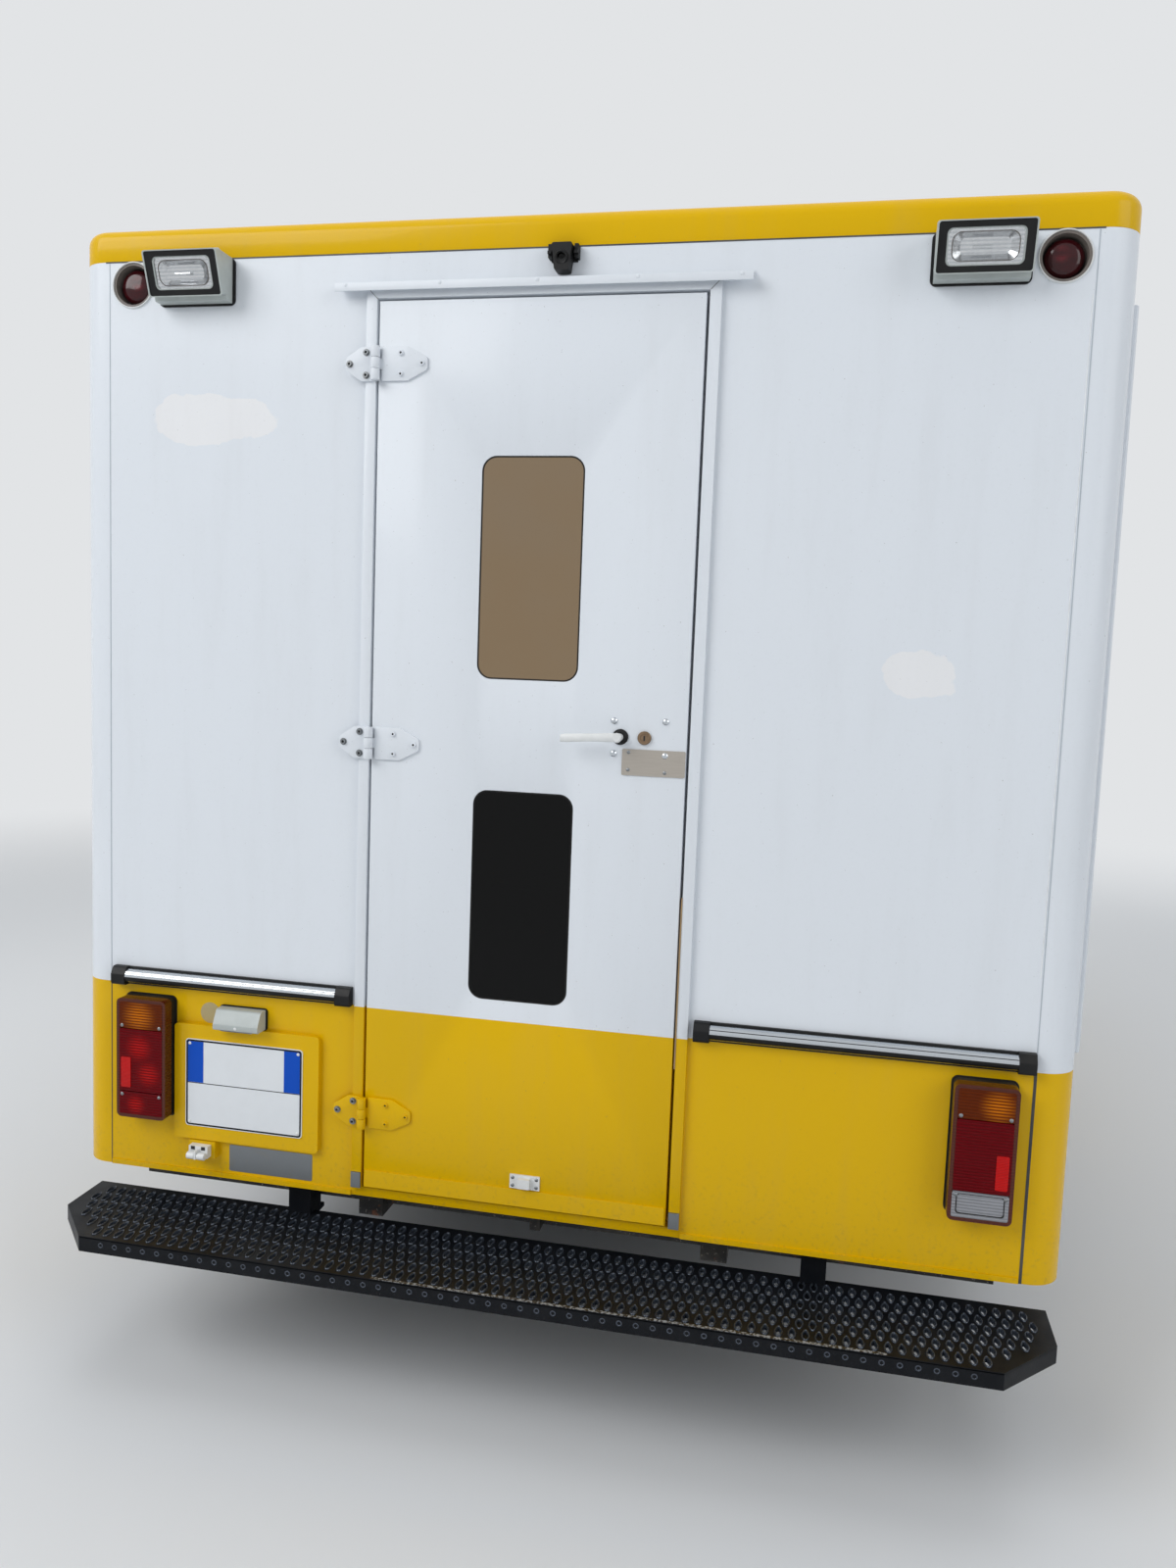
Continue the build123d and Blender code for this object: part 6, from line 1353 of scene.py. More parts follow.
@dataclass
class RearStep:
    """The step: pressed sheet with teardrop grips, a dimpled skirt and brackets."""

    top: float = 0.370
    sheet: float = 0.004
    skirt: float = 0.036
    outline: tuple[Flat, ...] = (
        (-1.118, -2.614), (-1.118, -2.751), (-1.000, -2.8776), (1.000, -2.8776), (1.118, -2.751), (1.118, -2.614)
    )
    pitch_x: float = 0.027
    pitch_y: float = 0.0385
    rows: int = 6
    first_row: float = -2.847
    # Half of the perforated width, and where the chamfered corners narrow it by a share of the distance
    grip_half: float = 1.096
    chamfer_y: float = -2.735
    chamfer_share: float = 0.95
    dimple_pitch: float = 0.035
    dimpled_half: float = 0.98
    # A grip hole's half width and half length, and by what share it narrows to its point
    grip: Point = (0.0064, 0.0172, 0.4)

    def teardrop(self, grow: float, point: int = 1) -> list[Flat]:
        """Give one grip hole's outline round the origin, grown by a width and pointing to front or rear."""
        wide, long, taper = self.grip
        ring = circle(1.0, 14)
        return [((wide * (1.0 - taper * max(0.0, b)) + grow) * a, point * (long + grow) * b) for a, b in ring]

    def holes(self) -> list[tuple[float, float, int]]:
        """Give the centres of the grip holes inside the chamfered outline, and where each points."""
        centres = []
        for row in range(self.rows):
            y = self.first_row + row * self.pitch_y
            half = self.grip_half - max(0.0, self.chamfer_y - y) * self.chamfer_share
            count = int(half / self.pitch_x)
            for step in range(-count, count + 1):
                x = (step + 0.5 * (row % 2)) * self.pitch_x
                if abs(x) < half - 0.006:
                    centres.append((x, y, 1 - 2 * (row % 2)))
        return centres

    def pressing(self, centres: Sequence[tuple[float, float, int]]) -> Work:
        """Give the flat sheet with its holes."""
        work = bmesh.new()
        loops = [[(x + a, y + b) for a, b in self.teardrop(0.0, point)] for x, y, point in centres]
        for loop in [self.outline] + loops:
            ring = [work.verts.new((x, y, self.top)) for x, y in loop]
            for index, vert in enumerate(ring):
                work.edges.new((vert, ring[(index + 1) % len(ring)]))
        bmesh.ops.triangle_fill(work, use_beauty=True, use_dissolve=False, edges=work.edges[:], normal=UP)
        lifted = bmesh.ops.extrude_face_region(work, geom=work.faces[:])
        moved = [item for item in lifted["geom"] if isinstance(item, bmesh.types.BMVert)]
        bmesh.ops.translate(work, verts=moved, vec=(0, 0, -self.sheet))
        return work

    def build(self, bench: Bench) -> None:
        """Build the sheet with real holes, its rims, dimples and brackets."""
        centres = self.holes()
        form = Form()
        form.take(self.pressing(centres))
        inset = [(x - math.copysign(self.sheet, x), y + self.sheet if y < -2.8 else y) for x, y in self.outline]
        low = self.top - self.skirt
        for a, b, c, d in zip(self.outline, self.outline[1:], inset[1:], inset):
            form.prism([a, b, c, d], Axis.Z, (low, self.top - self.sheet * 0.5))
        for x in (-0.575, 0.631):
            form.block(about(x, 0.0275), (-2.860, -2.560), (0.356, 0.3659), 0, 0.001)
            form.block(about(x, 0.0275), (-2.640, -2.5805), (0.366, 0.4485), 0, 0.002)
        edge = self.outline[2][1]
        form.block((-0.30, 0.78), (edge + 0.0004, edge + 0.009), (self.top - 0.001, self.top + 0.0005), 1, 0.0004)
        finishes = ["worn_step_enamel", "rubbed_step_edge"]
        bench.piece("step_pressing", form, finishes, "step_paint", replaces="rear_step")
        rim = Form()
        # Columns: growth of the outline, height
        rows = (
            (-0.0010, -0.010), (-0.0006, 0.0013), (0.0004, 0.0026), (0.0014, 0.0026), (0.0030, 0.0), (0.0004, -0.010)
        )
        rim.skin([Axis.Z.loop(self.teardrop(grow), height) for grow, height in rows], hollow=True)
        places = [Place((x, y, self.top), (0.0, 0.0, 0.0 if point > 0 else math.pi)) for x, y, point in centres]
        # The lighter rims are partly real scuffing and partly painted highlight
        bench.stamp("step_grips", rim, places, "grip_scuff_and_highlight_enamel", angle=60)
        ring = Form()
        rows = ((-0.0002, 0.0035), (0.0008, 0.0042), (0.0008, 0.0052), (-0.0002, 0.0066))
        ring.lathe(rows, ORIGIN, UP, 18, hollow=True)
        count = int(self.dimpled_half / self.dimple_pitch)
        spots = [(step * self.dimple_pitch, self.top - 0.016) for step in range(-count, count + 1)]
        # The lighter dimple rings carry a painted highlight, with chips of wear
        bench.stamp("skirt_dimples", ring, on_rear(edge, spots), "grip_scuff_and_highlight_enamel", angle=60)


@dataclass
class SideFittings:
    """Glass, seals, lamps and trims on the two long sides of the box."""

    panels: Panels = (
        ("side_door", BELTED, 0.001),
        ("side_windows", "smoked_glass"),
        ("side_door_glass", "smoked_glass"),
    )
    left_windows: tuple[Span, ...] = ((-2.250, -1.650), (-0.300, 0.400))
    left_z: Span = (1.550, 2.080)
    left_corner: float = 0.064
    door_window_y: Span = (0.159, 0.539)
    door_window_z: Span = (1.500, 2.080)
    door_corner: float = 0.045
    arch_y: float = -1.321
    arch_z: float = 0.345
    arch_radius: float = 0.420
    arch_width: float = 0.045
    lamp_places: tuple[float, ...] = (-2.35, -0.62, 0.0)
    lamp_z: float = 0.62
    roof_lamp_places: tuple[float, ...] = (-2.2, -0.9, 0.45)

    @staticmethod
    def seal(form: Form, side: int, y: Span, z: Span, corner: float) -> None:
        """Add one window's rubber to a form."""
        outer, inner = (rounded_box(y, z, corner - inset, inset, 7) for inset in (-0.012, 0.010))
        form.hoop(outer, inner, Axis.X, on_side(side, BOX_HALF - 0.006, BOX_HALF + 0.005), 0, 0.002)

    def build(self, bench: Bench) -> None:
        """Build both sides' fittings."""
        bench.dress(self.panels)
        form = Form()
        for y in self.left_windows:
            self.seal(form, -1, y, self.left_z, self.left_corner)
        bench.piece("side_window_seals", form, [RUBBER], "black_plastic")
        form = Form()
        self.seal(form, 1, self.door_window_y, self.door_window_z, self.door_corner)
        bench.piece("side_door_seal", form, [RUBBER], "black_plastic", "side_door")
        self.arches(bench)
        self.lamps(bench)

    def arches(self, bench: Bench) -> None:
        """Lay a rubber trim round each rear wheel arch."""
        form = Form()
        start = math.asin((BOX_BOTTOM - self.arch_z) / self.arch_radius)
        width = self.arch_width
        # Columns: distance over the arch's radius, distance out from the wall
        rows = ((-0.004, -0.012), (-0.004, 0.016), (0.010, 0.020), (width, 0.006), (width, -0.001), (0.002, -0.001))
        for side, _ in SIDES:
            loops = []
            for step in range(29):
                angle = start + (math.pi - 2 * start) * step / 28
                loop = []
                for over, out in rows:
                    y = self.arch_y + (self.arch_radius + over) * math.cos(angle)
                    z = self.arch_z + (self.arch_radius + over) * math.sin(angle)
                    loop.append((side * (BOX_HALF + out), y, max(z, BOX_BOTTOM + 0.0005)))
                loops.append(loop)
            form.skin(loops)
        bench.piece("arch_trims", form, [RUBBER], "black_plastic")

    def lamps(self, bench: Bench) -> None:
        """Add side marker lamps, roof-edge lamps and the fuel flap."""
        form = Form()
        # Columns: half length, height, corner, distances out from the wall, finish, softened edge
        low_lamp = (
            (0.058, about(self.lamp_z, 0.026), 0.012, (0.0, 0.006), 0, 0.001),
            (0.050, about(self.lamp_z, 0.019), 0.010, (0.004, 0.020), 1, 0.004),
        )
        roof_lamp = (
            (0.080, (2.470, 2.545), 0.018, (-0.002, 0.030), 2, 0.008),
            (0.088, (2.462, 2.553), 0.020, (0.0, 0.008), 0, 0.002),
        )
        for side, _ in SIDES:
            for places, rows in ((self.lamp_places, low_lamp), (self.roof_lamp_places, roof_lamp)):
                for y in places:
                    for half, z, corner, (near, far), slot, bevel in rows:
                        span = on_side(side, BOX_HALF + near, BOX_HALF + far)
                        form.panel(Axis.X, about(y, half), z, corner, span, slot, bevel)
        bench.piece("side_lamps", form, [BLACK, "amber_lamp_acrylic", "blue_beacon_acrylic"], "red_lens")
        flap = Form()
        flap.panel(Axis.X, (0.520, 0.700), (0.640, 0.820), 0.022, (-BOX_HALF - 0.004, -BOX_HALF + 0.002), 0, 0.002)
        flap.block((-BOX_HALF - 0.0055, -BOX_HALF - 0.003), (0.505, 0.523), (0.690, 0.770), 1, 0.0008)
        bench.piece("fuel_flap", flap, [YELLOW, BLACK], "yellow_paint")


@dataclass
class Cab:
    """The cab's skin, glass and outer fittings."""

    panels: Panels = (
        ("cab_shell", BELTED),
        ("bonnet", WHITE),
        ("cab_door_left", BELTED),
        ("cab_door_right", BELTED),
        ("cab_fairing", WHITE),
        ("front_bumper", BLACK, 0.002),
        ("grille", BLACK, 0.001),
        ("mirror_left", BLACK, 0.006),
        ("mirror_right", BLACK, 0.006),
        ("windscreen", "windscreen_glass"),
        ("cab_glass_left", "windscreen_glass"),
        ("cab_glass_right", "windscreen_glass"),
        ("headlamps", "fluted_lamp_glass", 0.003),
    )
    mirror_x: Span = (1.090, 1.222)
    mirror_z: Span = (1.345, 1.625)
    mirror_y: float = 1.596
    door_y: Span = (0.901, 1.741)
    screen_low: Point = (0.0, 2.030, 1.310)
    screen_high: Point = (0.0, 1.480, 2.250)
    bumper_y: float = 2.879

    def build(self, bench: Bench) -> None:
        """Build the outside of the cab."""
        bench.dress(self.panels)
        for side, name in SIDES:
            self.mirror(bench, side, name)
        self.wipers(bench)
        self.nose(bench)
        self.reflectors(bench)
        for side, name in SIDES:
            self.door_fittings(bench, side, name)

    def mirror(self, bench: Bench, side: int, name: str) -> None:
        """Set a glass in the rear face of a mirror head."""
        form = Form()
        y = (self.mirror_y - 0.0015, self.mirror_y + 0.002)
        form.panel(Axis.Y, on_side(side, *self.mirror_x), self.mirror_z, 0.025, y, 0, 0.0006)
        body = bench.nodes[f"mirror_{name}"]["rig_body"]
        bench.piece(f"mirror_glass_{name}", form, ["chrome_plate"], "stainless", body)

    def screen_matrix(self) -> Matrix:
        """Give the windscreen's frame: X across, Y up the glass and Z outward."""
        low, high = Vector(self.screen_low), Vector(self.screen_high)
        across, up = -Vector(ACROSS), (high - low).normalized()
        return Matrix.Translation(low) @ Matrix((across, up, across.cross(up))).transposed().to_4x4()

    def wipers(self, bench: Bench) -> None:
        """Lay two wipers on the windscreen."""
        form = Form()
        form.frame = self.screen_matrix()
        for foot, tip in ((0.56, -0.06), (-0.12, -0.74)):
            form.lathe([(-0.010, 0.019), (0.010, 0.019), (0.016, 0.013)], (foot, 0.030, 0.0), UP, 20)
            form.tube([(foot, 0.030, 0.012), (foot - 0.20, 0.078, 0.020), (tip + 0.16, 0.112, 0.012)], 0.006, 8)
            form.block((tip - 0.10, tip + 0.46), (0.104, 0.118), (-0.004, 0.010), 0, 0.002)
        bench.piece("wipers", form, [BLACK], "black_plastic")

    def door_fittings(self, bench: Bench, side: int, name: str) -> None:
        """Add a pull handle and a rubbing strip to a cab door."""
        form = Form()
        face = CAB_HALF - 0.004
        rear, front = self.door_y
        # Pull handle, columns: distance out, distance forwards, height
        rows = (
            (-0.004, 0.060, 1.150), (0.028, 0.080, 1.150), (0.030, 0.150, 1.151), (0.028, 0.220, 1.150),
            (-0.004, 0.240, 1.150),
        )
        form.tube([(side * (face + out), rear + along, up) for out, along, up in rows], 0.011)
        x = on_side(side, face - 0.006, face + 0.003)
        form.panel(Axis.X, (rear + 0.045, rear + 0.255), (1.115, 1.185), 0.018, x, 0, 0.002)
        x = on_side(side, face - 0.010, face + 0.014)
        form.panel(Axis.X, (rear + 0.02, front - 0.02), (0.600, 0.690), 0.020, x, 0, 0.006)
        body = bench.nodes[f"cab_door_{name}"]["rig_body"]
        bench.piece(f"cab_door_trim_{name}", form, [BLACK], "black_plastic", body)

    def nose(self, bench: Bench) -> None:
        """Add a blank plate, fog lamps and the grille's surround."""
        form = Form()
        plate_y = (self.bumper_y - 0.006, self.bumper_y + 0.00015)
        form.panel(Axis.Y, (-0.260, 0.260), (0.440, 0.550), 0.008, plate_y, 0, 0.0001)
        outer = rounded_box((-0.372, 0.372), (0.678, 0.862), 0.020)
        inner = rounded_box((-0.352, 0.352), (0.696, 0.844), 0.010)
        form.hoop(outer, inner, Axis.Y, (2.835, 2.876), 1, 0.003)
        ring = ((-0.004, 0.052), (0.0001, 0.052), (0.0001, 0.046), (-0.004, 0.046))
        for side, _ in SIDES:
            centre = (side * 0.530, self.bumper_y, 0.490)
            form.lathe(ring, centre, FORWARD, 36, 2, hollow=True)
            form.lathe([(-0.004, 0.0455), (0.00008, 0.0455)], centre, FORWARD, 36, 3)
        finishes = ["white_reflective_sheet", BLACK, ZINC, "clear_lamp_acrylic"]
        bench.piece("nose_fittings", form, finishes, "black_plastic")

    @staticmethod
    def reflectors(bench: Bench) -> None:
        """Set bowls, bulbs and a turn lamp behind each headlamp's glass."""
        form = Form()
        bulb = ((0.0, 0.0095), (0.010, 0.0095), (0.014, 0.007))
        for side, _ in SIDES:
            form.block(on_side(side, 0.442, 0.788), (2.784, 2.787), (0.712, 0.848))
            for x, radius in ((0.515, 0.062), (0.655, 0.056)):
                centre = (side * x, 2.787, 0.780)
                cup = [(0.0, 0.010), (0.004, radius * 0.5), (0.026, radius), (0.028, radius), (0.028, radius - 0.002)]
                cup += [(0.006, radius * 0.48), (0.003, 0.010)]
                form.lathe(cup, centre, FORWARD, hollow=True)
                form.lathe(bulb, centre, FORWARD, 16, 1)
            form.block(on_side(side, 0.728, 0.784), (2.789, 2.794), (0.716, 0.844), 2, 0.001)
        finishes = ["aluminised_reflector", "grey_lamp_recess", "amber_lamp_acrylic"]
        bench.piece("headlamp_reflectors", form, finishes, "clear_lens")


@dataclass
class CabInterior:
    """Padded seats, dashboard and steering wheel."""

    panels: Panels = (
        ("dashboard", "grey_polypropylene", 0.003),
        ("steering_wheel", BLACK),
        ("seat_bases", BLACK, 0.003),
    )
    # Seats, columns: name, centre x, width
    seats: tuple[tuple[str, float, float], ...] = (("driver", -0.400, 0.480), ("mate", 0.300, 0.860))
    head_rests: Point = (-0.400, 0.085, 0.515)
    seat_rear: float = 0.930
    seat_top: float = 1.010
    # Outlines from the side, columns: forwards of the seat's rear, over its top, radius
    base: tuple[Point, ...] = (
        (0.160, -0.140, 0.03), (0.545, -0.140, 0.04), (0.545, -0.015, 0.045), (0.170, -0.035, 0.03)
    )
    back: tuple[Point, ...] = (
        (0.045, -0.120, 0.03), (0.165, -0.120, 0.03), (0.098, 0.600, 0.04), (0.014, 0.600, 0.035)
    )
    shrink: float = 0.012
    voxel: float = 0.012
    pressure: float = 4.0
    swell_frames: int = 20
    swell_cap: float = 0.022
    channel_half: float = 0.010
    channel_deep: float = 0.006

    def build(self, bench: Bench) -> None:
        """Build the inside of the cab."""
        bench.dress(self.panels)
        rear, top = self.seat_rear, self.seat_top
        replaced = "cab_seats"
        for name, centre, width in self.seats:
            for part, rows in (("seat", self.base), ("back", self.back)):
                form = Form()
                outline = rounded([(rear + along, top + up, radius) for along, up, radius in rows], 4)
                form.prism(outline, Axis.X, about(centre, width / 2 - self.shrink), 0, 0.018, 3)
                title = f"{name}_{part}_pad"
                pad = bench.piece(title, form, ["woven_seat_cloth"], "seat_cloth", replaces=replaced, angle=60)
                replaced = ""
                self.swell(pad, centre, width)
        form = Form()
        for centre in self.head_rests:
            form.block(about(centre, 0.125), (rear + 0.014, rear + 0.096), (1.640, 1.795), 0, 0.035, 5)
            for x in about(centre, 0.055):
                form.tube([(x, rear + 0.055, 1.590), (x, rear + 0.055, 1.660)], 0.006, 10, 1)
        heads = bench.piece("head_pads", form, ["woven_seat_cloth", "chrome_plate"], "seat_cloth")

    def swell(self, pad: bpy.types.Object, centre: float, width: float) -> None:
        """Inflate a pad as cloth, cap how far it moves, then sew its channels.

        Args:
            pad: the pad, still with plain faces.
            centre: the seat's middle across the cab.
            width: the seat's width.
        """
        finish = pad.data.materials[0]
        even = pad.modifiers.new("even", "REMESH")
        even.mode = "VOXEL"
        even.voxel_size = self.voxel
        self.settle(pad)
        start = [vert.co.copy() for vert in pad.data.vertices]
        cloth = pad.modifiers.new("filling", "CLOTH")
        cloth.settings.use_pressure = True
        cloth.settings.uniform_pressure_force = self.pressure
        cloth.settings.effector_weights.gravity = 0.0
        cloth.point_cache.frame_start = 1
        cloth.point_cache.frame_end = self.swell_frames
        for frame in range(1, self.swell_frames + 1):
            bpy.context.scene.frame_set(frame)
        self.settle(pad)
        bpy.context.scene.frame_set(1)
        for vert, before in zip(pad.data.vertices, start):
            move = vert.co - before
            if move.length > self.swell_cap:
                vert.co = before + move.normalized() * self.swell_cap
        pad.data.update()
        for vert in pad.data.vertices:
            gap = min(abs(vert.co.x - seam) for seam in about(centre, width * 0.24))
            if gap < self.channel_half:
                vert.co -= vert.normal * self.channel_deep * (1 - (gap / self.channel_half) ** 2)
        pad.modifiers.new("softened", "SUBSURF").levels = 1
        self.settle(pad)
        pad.data.materials.clear()
        pad.data.materials.append(finish)
        for face in pad.data.polygons:
            face.material_index = 0
            face.use_smooth = True
        LOG.info("%s: swelled to %d faces", pad.name, len(pad.data.polygons))

    @staticmethod
    def settle(pad: bpy.types.Object) -> None:
        """Turn a pad with its modifiers into a plain mesh."""
        bpy.context.view_layer.update()
        mesh = bpy.data.meshes.new_from_object(pad.evaluated_get(bpy.context.evaluated_depsgraph_get()))
        pad.modifiers.clear()
        pad.data = mesh


@dataclass
class Wheel:
    """One road wheel: tyre with tread blocks, painted rim, bolts and cap."""

    corner: str
    x: float
    y: float
    radius: float = 0.345
    width: float = 0.2036
    rim: float = 0.190
    tread: float = 0.008
    blocks: int = 56
    # Rows of tread blocks, columns: distance from the tyre's middle, width
    block_rows: tuple[Flat, ...] = ((-0.066, 0.036), (-0.0215, 0.034), (0.0215, 0.034), (0.066, 0.036))
    hub_out: float = 0.0805
    bolt_circle: float = 0.065
    bolts: int = 5

    def build(self, bench: Bench) -> None:
        """Build the wheel on its body."""
        body = f"wheel_{self.corner}"
        centre = (self.x, self.y, self.radius)
        bench.refine(f"rim_{self.corner}", "silver_wheel_paint")
        half = self.width / 2
        core = self.radius - self.tread
        # Columns: share of the half width, radius
        flank = (
            (0.80, self.rim + 0.002), (0.93, self.rim + 0.014), (0.985, self.rim + 0.052), (1.0, self.rim + 0.085),
            (0.97, core - 0.030), (0.88, core - 0.008), (0.72, core),
        )
        # Columns: share of the half width, distance over the rim
        bead = ((0.975, 0.024), (1.0, 0.026), (1.0, 0.029), (0.975, 0.031))
        form = Form()
        profile = [(-half * share, radius) for share, radius in flank]
        profile += [(half * share, radius) for share, radius in reversed(flank)]
        form.lathe(profile, centre, ACROSS, 96, hollow=True)
        for side, _ in SIDES:
            form.lathe([(side * half * share, self.rim + up) for share, up in bead], centre, ACROSS, 96, hollow=True)
        tyre = f"tyre_{self.corner}"
        bench.piece(f"{tyre}_casing", form, [RUBBER], "tyre_rubber", body, tyre, 40)
        self.tread_blocks(bench, body, core)
        self.hub(bench, body, 1 if self.x > 0 else -1)

    def tread_blocks(self, bench: Bench, body: str, core: float) -> None:
        """Stamp four staggered rows of tread blocks round the casing."""
        pitch = 2 * math.pi / self.blocks
        long = core * pitch * 0.80 / 2
        for row, (offset, width) in enumerate(self.block_rows):
            block = Form()
            lean = 0.004 if row % 2 else -0.004
            wide = width / 2
            outline = [(-wide, -long - lean), (wide, -long + lean), (wide, long + lean), (-wide, long - lean)]
            block.prism(outline, Axis.Z, (-0.004, self.tread - 0.0005), 0, 0.0012, 1)
            places = []
            for step in range(self.blocks):
                angle = pitch * (step + 0.5 * (row % 2))
                point = (self.x + offset, self.y - core * math.sin(angle), self.radius + core * math.cos(angle))
                places.append(Place(point, (angle, 0.0, 0.0)))
            bench.stamp(f"tread_{self.corner}_{row}", block, places, RUBBER, body)

    def hub(self, bench: Bench, body: str, side: int) -> None:
        """Add the wheel bolts and the centre cap."""
        x = self.x + side * self.hub_out
        cap = Form()
        rows = ((-0.004, 0.040), (0.006, 0.040), (0.012, 0.034), (0.014, 0.012))
        cap.lathe(rows, (x, self.y, self.radius), (side, 0, 0))
        bench.piece(f"hub_cap_{self.corner}", cap, [BLACK], "black_plastic", body)
        turn = TO_RIGHT if side > 0 else TO_LEFT
        ring = circle(self.bolt_circle, self.bolts)
        places = [Place((x - side * 0.012, self.y + a, self.radius + b), turn) for a, b in ring]
        bench.stamp(f"wheel_bolts_{self.corner}", socket_screw(0.0095, 0.016), places, ZINC, body)


@dataclass
class Underbody:
    """Frame, axles, tank and exhaust, and the flaps behind the wheels."""

    panels: Panels = (
        ("chassis_frame", "chassis_enamel"),
        ("front_subframe", "chassis_enamel"),
        ("rear_axle", "chassis_enamel"),
        ("steering_rack", "grey_cast_iron"),
        ("knuckle_left", "grey_cast_iron"),
        ("knuckle_right", "grey_cast_iron"),
        ("powertrain", "grey_cast_iron"),
        ("exhaust", "brushed_stainless"),
        ("fuel_tank", BLACK),
    )

    def build(self, bench: Bench) -> None:
        """Dress the running gear."""
        bench.dress(self.panels)
        form = Form()
        for side, _ in SIDES:
            x = on_side(side, 0.785, 1.010)
            form.block(x, (-1.782, -1.776), (0.190, 0.489), 0, 0.002)
            form.block(x, (-1.776, -1.752), (0.455, 0.4895), 1, 0.002)
        bench.piece("mud_flaps", form, [RUBBER, "chassis_enamel"], "black_plastic")


@dataclass
class RoofKit:
    """Two blue beacons on the front corners of the roof."""

    places: tuple[Flat, ...] = ((-0.760, 0.639), (0.760, 0.639))
    base: float = 2.638

    def build(self, bench: Bench) -> None:
        """Build both beacons with their reflectors inside."""
        form = Form()
        dome = [(0.038, 0.067)] + [(0.048 + 0.012 * step, 0.0665 - 0.0008 * step) for step in range(6)]
        dome += [(0.123, 0.056), (0.136, 0.040), (0.1438, 0.018)]
        for x, y in self.places:
            foot = (x, y, self.base)
            form.lathe([(0.0, 0.078), (0.018, 0.078), (0.026, 0.071), (0.040, 0.0705)], foot, UP, 48)
            form.lathe(dome, foot, UP, 48, 1)
            form.lathe([(0.040, 0.030), (0.060, 0.030), (0.100, 0.036), (0.112, 0.020)], foot, UP, 20, 2)
        finishes = [BLACK, "blue_beacon_acrylic", "aluminised_reflector"]
        bench.piece("beacon_pair", form, finishes, "blue_lens", replaces="beacons")


# Studio and camera


def seen_directly(tree: bpy.types.NodeTree) -> Node:
    """Give 1 for rays from the camera and for those that metal and glass send on."""
    path = add_node(tree, "ShaderNodeLightPath").outputs
    seen: object = path["Is Camera Ray"]
    for name in ("Is Glossy Ray", "Is Transmission Ray"):
        seen = add_node(tree, "ShaderNodeMath", {0: seen, 1: path[name]}, operation="MAXIMUM")
    return seen


@dataclass(frozen=True)
class BackdropPaper(Finish):
    """Matt seamless paper: away from the vehicle it shows plainly its own pale colour."""

    near: float = 4.0
    far: float = 9.5

    def cover(self, surface: Surface) -> None:
        """Turn the paper into plain light where it is far away and seen directly."""
        tree = surface.tree
        away = add_node(tree, "ShaderNodeVectorMath", {0: surface.place}, operation="LENGTH").outputs["Value"]
        inputs = {"Value": away, "From Min": self.near, "From Max": self.far}
        share = add_node(tree, "ShaderNodeMapRange", inputs, interpolation_type="SMOOTHSTEP")
        share = add_node(tree, "ShaderNodeMath", {0: share, 1: seen_directly(tree)}, operation="MULTIPLY")
        plain = add_node(tree, "ShaderNodeEmission", {"Color": linear(self.colour), "Strength": 1.0})
        mixed = add_node(tree, "ShaderNodeMixShader", {0: share, 1: surface.shader, 2: plain})
        tree.links.new(mixed.outputs[0], surface.output.inputs["Surface"])


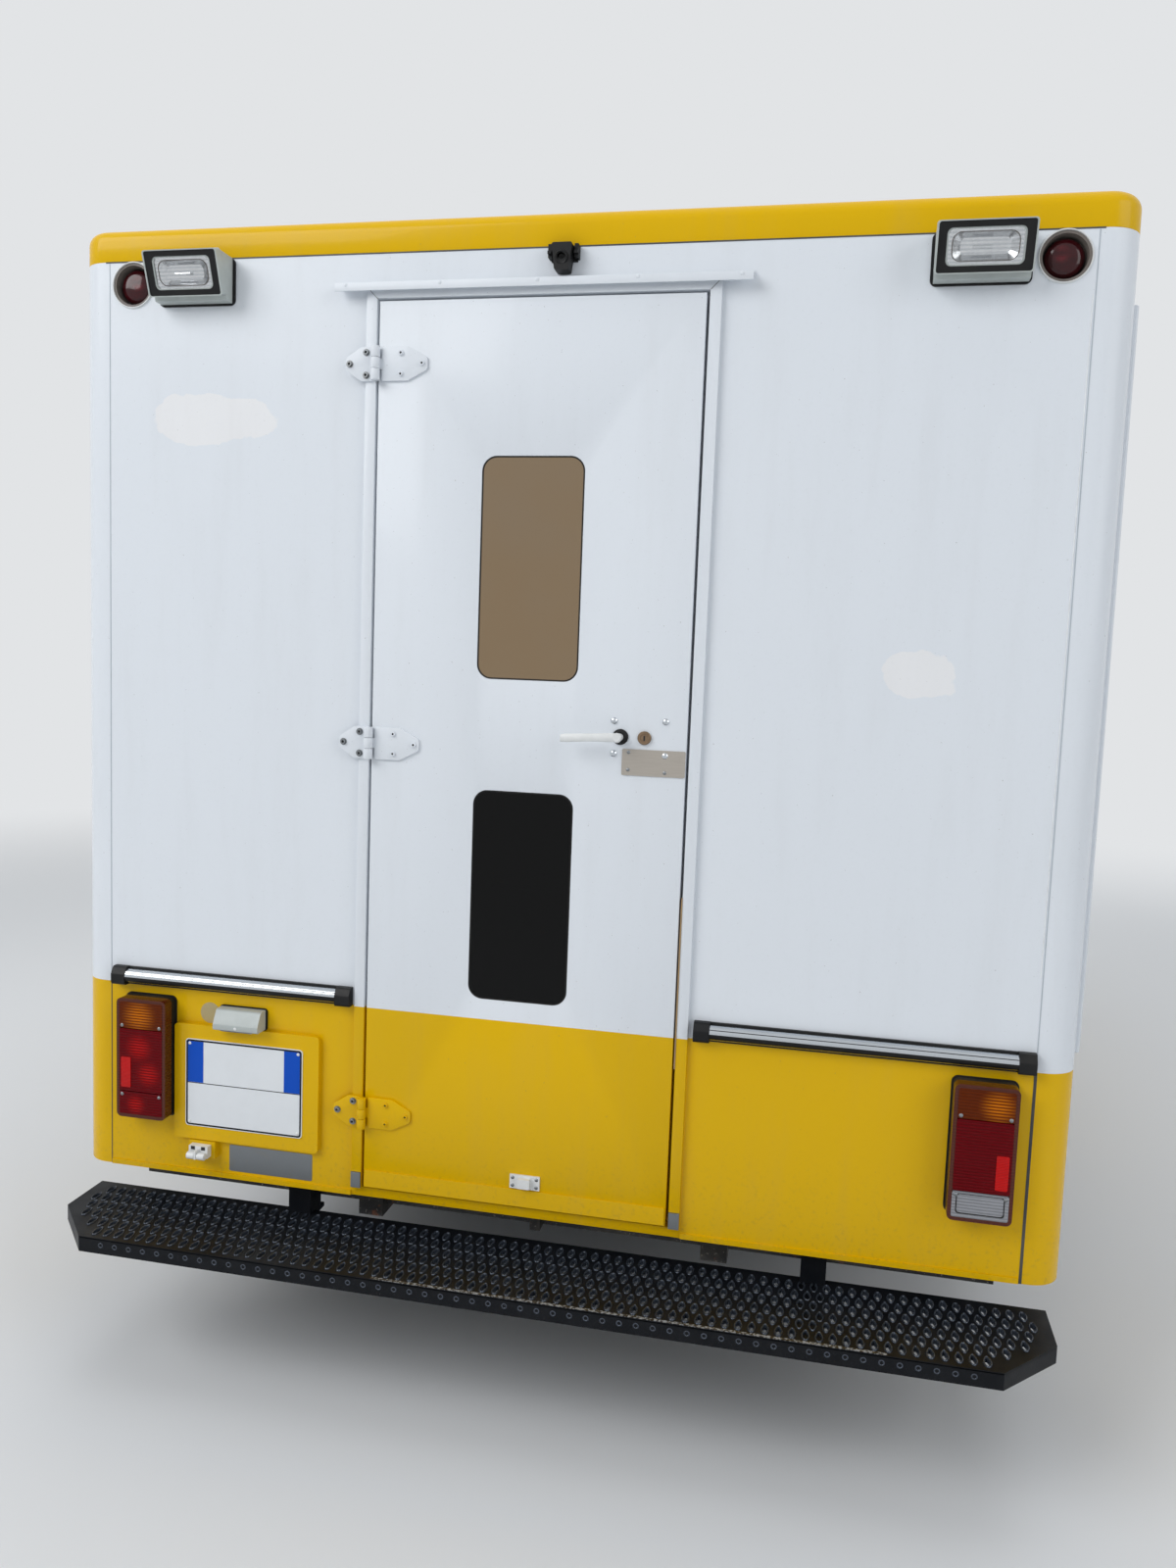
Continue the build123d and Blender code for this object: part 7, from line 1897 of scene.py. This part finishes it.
@dataclass
class Studio:
    """A pale sweep with soft lamps, and the camera at the photo's viewpoint."""

    place: Point = (0.60403, -5.15308, 1.69253)
    turn: Point = (84.35169, -2.12601, 11.78383)
    lens: float = 27.05
    backdrop: str = "#E2E4E6"
    air: str = "#E8ECF0"
    air_strength: float = 0.42
    # The sweep's floor, the radius of its bend and its top
    floor_y: Span = (-30.0, 9.0)
    bend: float = 5.0
    sweep_top: float = 16.0
    half_width: float = 30.0
    # Lamps: name, place, aimed at, width, height, power, and whether glossy surfaces show it
    lamps: tuple[tuple[str, Point, Point, float, float, float, bool], ...] = (
        ("key_lamp", (-5.5, -8.0, 6.5), (0.0, -1.5, 1.2), 6.0, 5.0, 440.0, True),
        ("fill_lamp", (7.0, -6.5, 4.5), (0.0, -1.0, 1.2), 5.0, 5.0, 170.0, True),
        ("top_lamp", (0.0, -0.5, 9.0), (0.0, -0.5, 0.0), 8.0, 9.0, 250.0, False),
        ("front_lamp", (1.0, 10.0, 5.0), (0.0, 1.5, 1.0), 6.0, 4.0, 240.0, False),
    )

    def sweep(self) -> bpy.types.Object:
        """Build the floor and the backdrop it curves up into."""
        foot = self.floor_y[1]
        rows = [(self.floor_y[0], 0.0), (foot, 0.0)]
        for step in range(1, 13):
            angle = math.pi / 2 * step / 12
            rows.append((foot + self.bend * math.sin(angle), self.bend - self.bend * math.cos(angle)))
        rows.append((foot + self.bend, self.sweep_top))
        work = bmesh.new()
        # The floor lies a little under the tyres
        pairs = [[work.verts.new((x, y, z - 0.0005)) for x in about(0.0, self.half_width)] for y, z in rows]
        for before, after in zip(pairs, pairs[1:]):
            work.faces.new((*before, *reversed(after))).smooth = True
        mesh = bpy.data.meshes.new("studio_sweep")
        work.to_mesh(mesh)
        work.free()
        mesh.materials.append(BackdropPaper("seamless_backdrop_paper", self.backdrop, 0.9).build())
        sweep = bpy.data.objects.new("studio_sweep", mesh)
        bpy.context.scene.collection.objects.link(sweep)
        return sweep

    @staticmethod
    def lamp(
        name: str, place: Point, aim: Point, width: float, height: float, power: float, shiny: bool
    ) -> bpy.types.Object:
        """Hang one soft lamp that faces a point."""
        light = bpy.data.lights.new(name, "AREA")
        light.shape = "RECTANGLE"
        light.size = width
        light.size_y = height
        light.energy = power
        lamp = bpy.data.objects.new(name, light)
        lamp.location = place
        lamp.visible_glossy = shiny
        lamp.rotation_euler = (Vector(aim) - Vector(place)).to_track_quat("-Z", "Y").to_euler()
        bpy.context.scene.collection.objects.link(lamp)
        return lamp

    def surround(self) -> None:
        """Fill the air with pale light, and show the backdrop's colour where it is seen directly."""
        world = bpy.data.worlds.new("studio_air")
        bpy.context.scene.world = world
        world.use_nodes = True
        tree = world.node_tree
        air = tree.nodes["Background"]
        air.inputs["Color"].default_value = linear(self.air)
        air.inputs["Strength"].default_value = self.air_strength
        plain = add_node(tree, "ShaderNodeBackground", {"Color": linear(self.backdrop), "Strength": 1.0})
        mixed = add_node(tree, "ShaderNodeMixShader", {0: seen_directly(tree), 1: air, 2: plain})
        tree.links.new(mixed.outputs[0], tree.nodes["World Output"].inputs["Surface"])

    def build(self) -> None:
        """Set the sweep, the lamps, the surrounding light and the camera."""
        self.sweep()
        [self.lamp(*row) for row in self.lamps]
        self.surround()
        data = bpy.data.cameras.new("viewpoint")
        data.lens = self.lens
        data.sensor_width = 36.0
        camera = bpy.data.objects.new("viewpoint", data)
        camera.location = self.place
        camera.rotation_euler = Euler([math.radians(angle) for angle in self.turn])
        scene = bpy.context.scene
        scene.collection.objects.link(camera)
        scene.camera = camera
        scene.view_settings.view_transform = "Standard"


@dataclass
class Ambulance:
    """The whole vehicle."""

    parts: list[object] = field(
        default_factory=lambda: [
            CoachBody(),
            RearDoor(),
            RearFittings(),
            RearStep(),
            SideFittings(),
            Cab(),
            CabInterior(),
            Wheel("front_left", -0.825, 2.029),
            Wheel("front_right", 0.825, 2.029),
            Wheel("rear_left", -0.900, -1.321),
            Wheel("rear_right", 0.900, -1.321),
            Underbody(),
            RoofKit(),
        ]
    )

    def build(self, bench: Bench) -> None:
        """Build every assembly."""
        for part in self.parts:
            part.build(bench)


def main() -> None:
    """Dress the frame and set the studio."""
    logging.basicConfig(level=logging.INFO, format="%(name)s: %(message)s")
    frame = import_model()
    bench = Bench(frame)
    Ambulance().build(bench)
    Studio().build()
    LOG.info("sizes written")


if __name__ == "__main__":
    main()
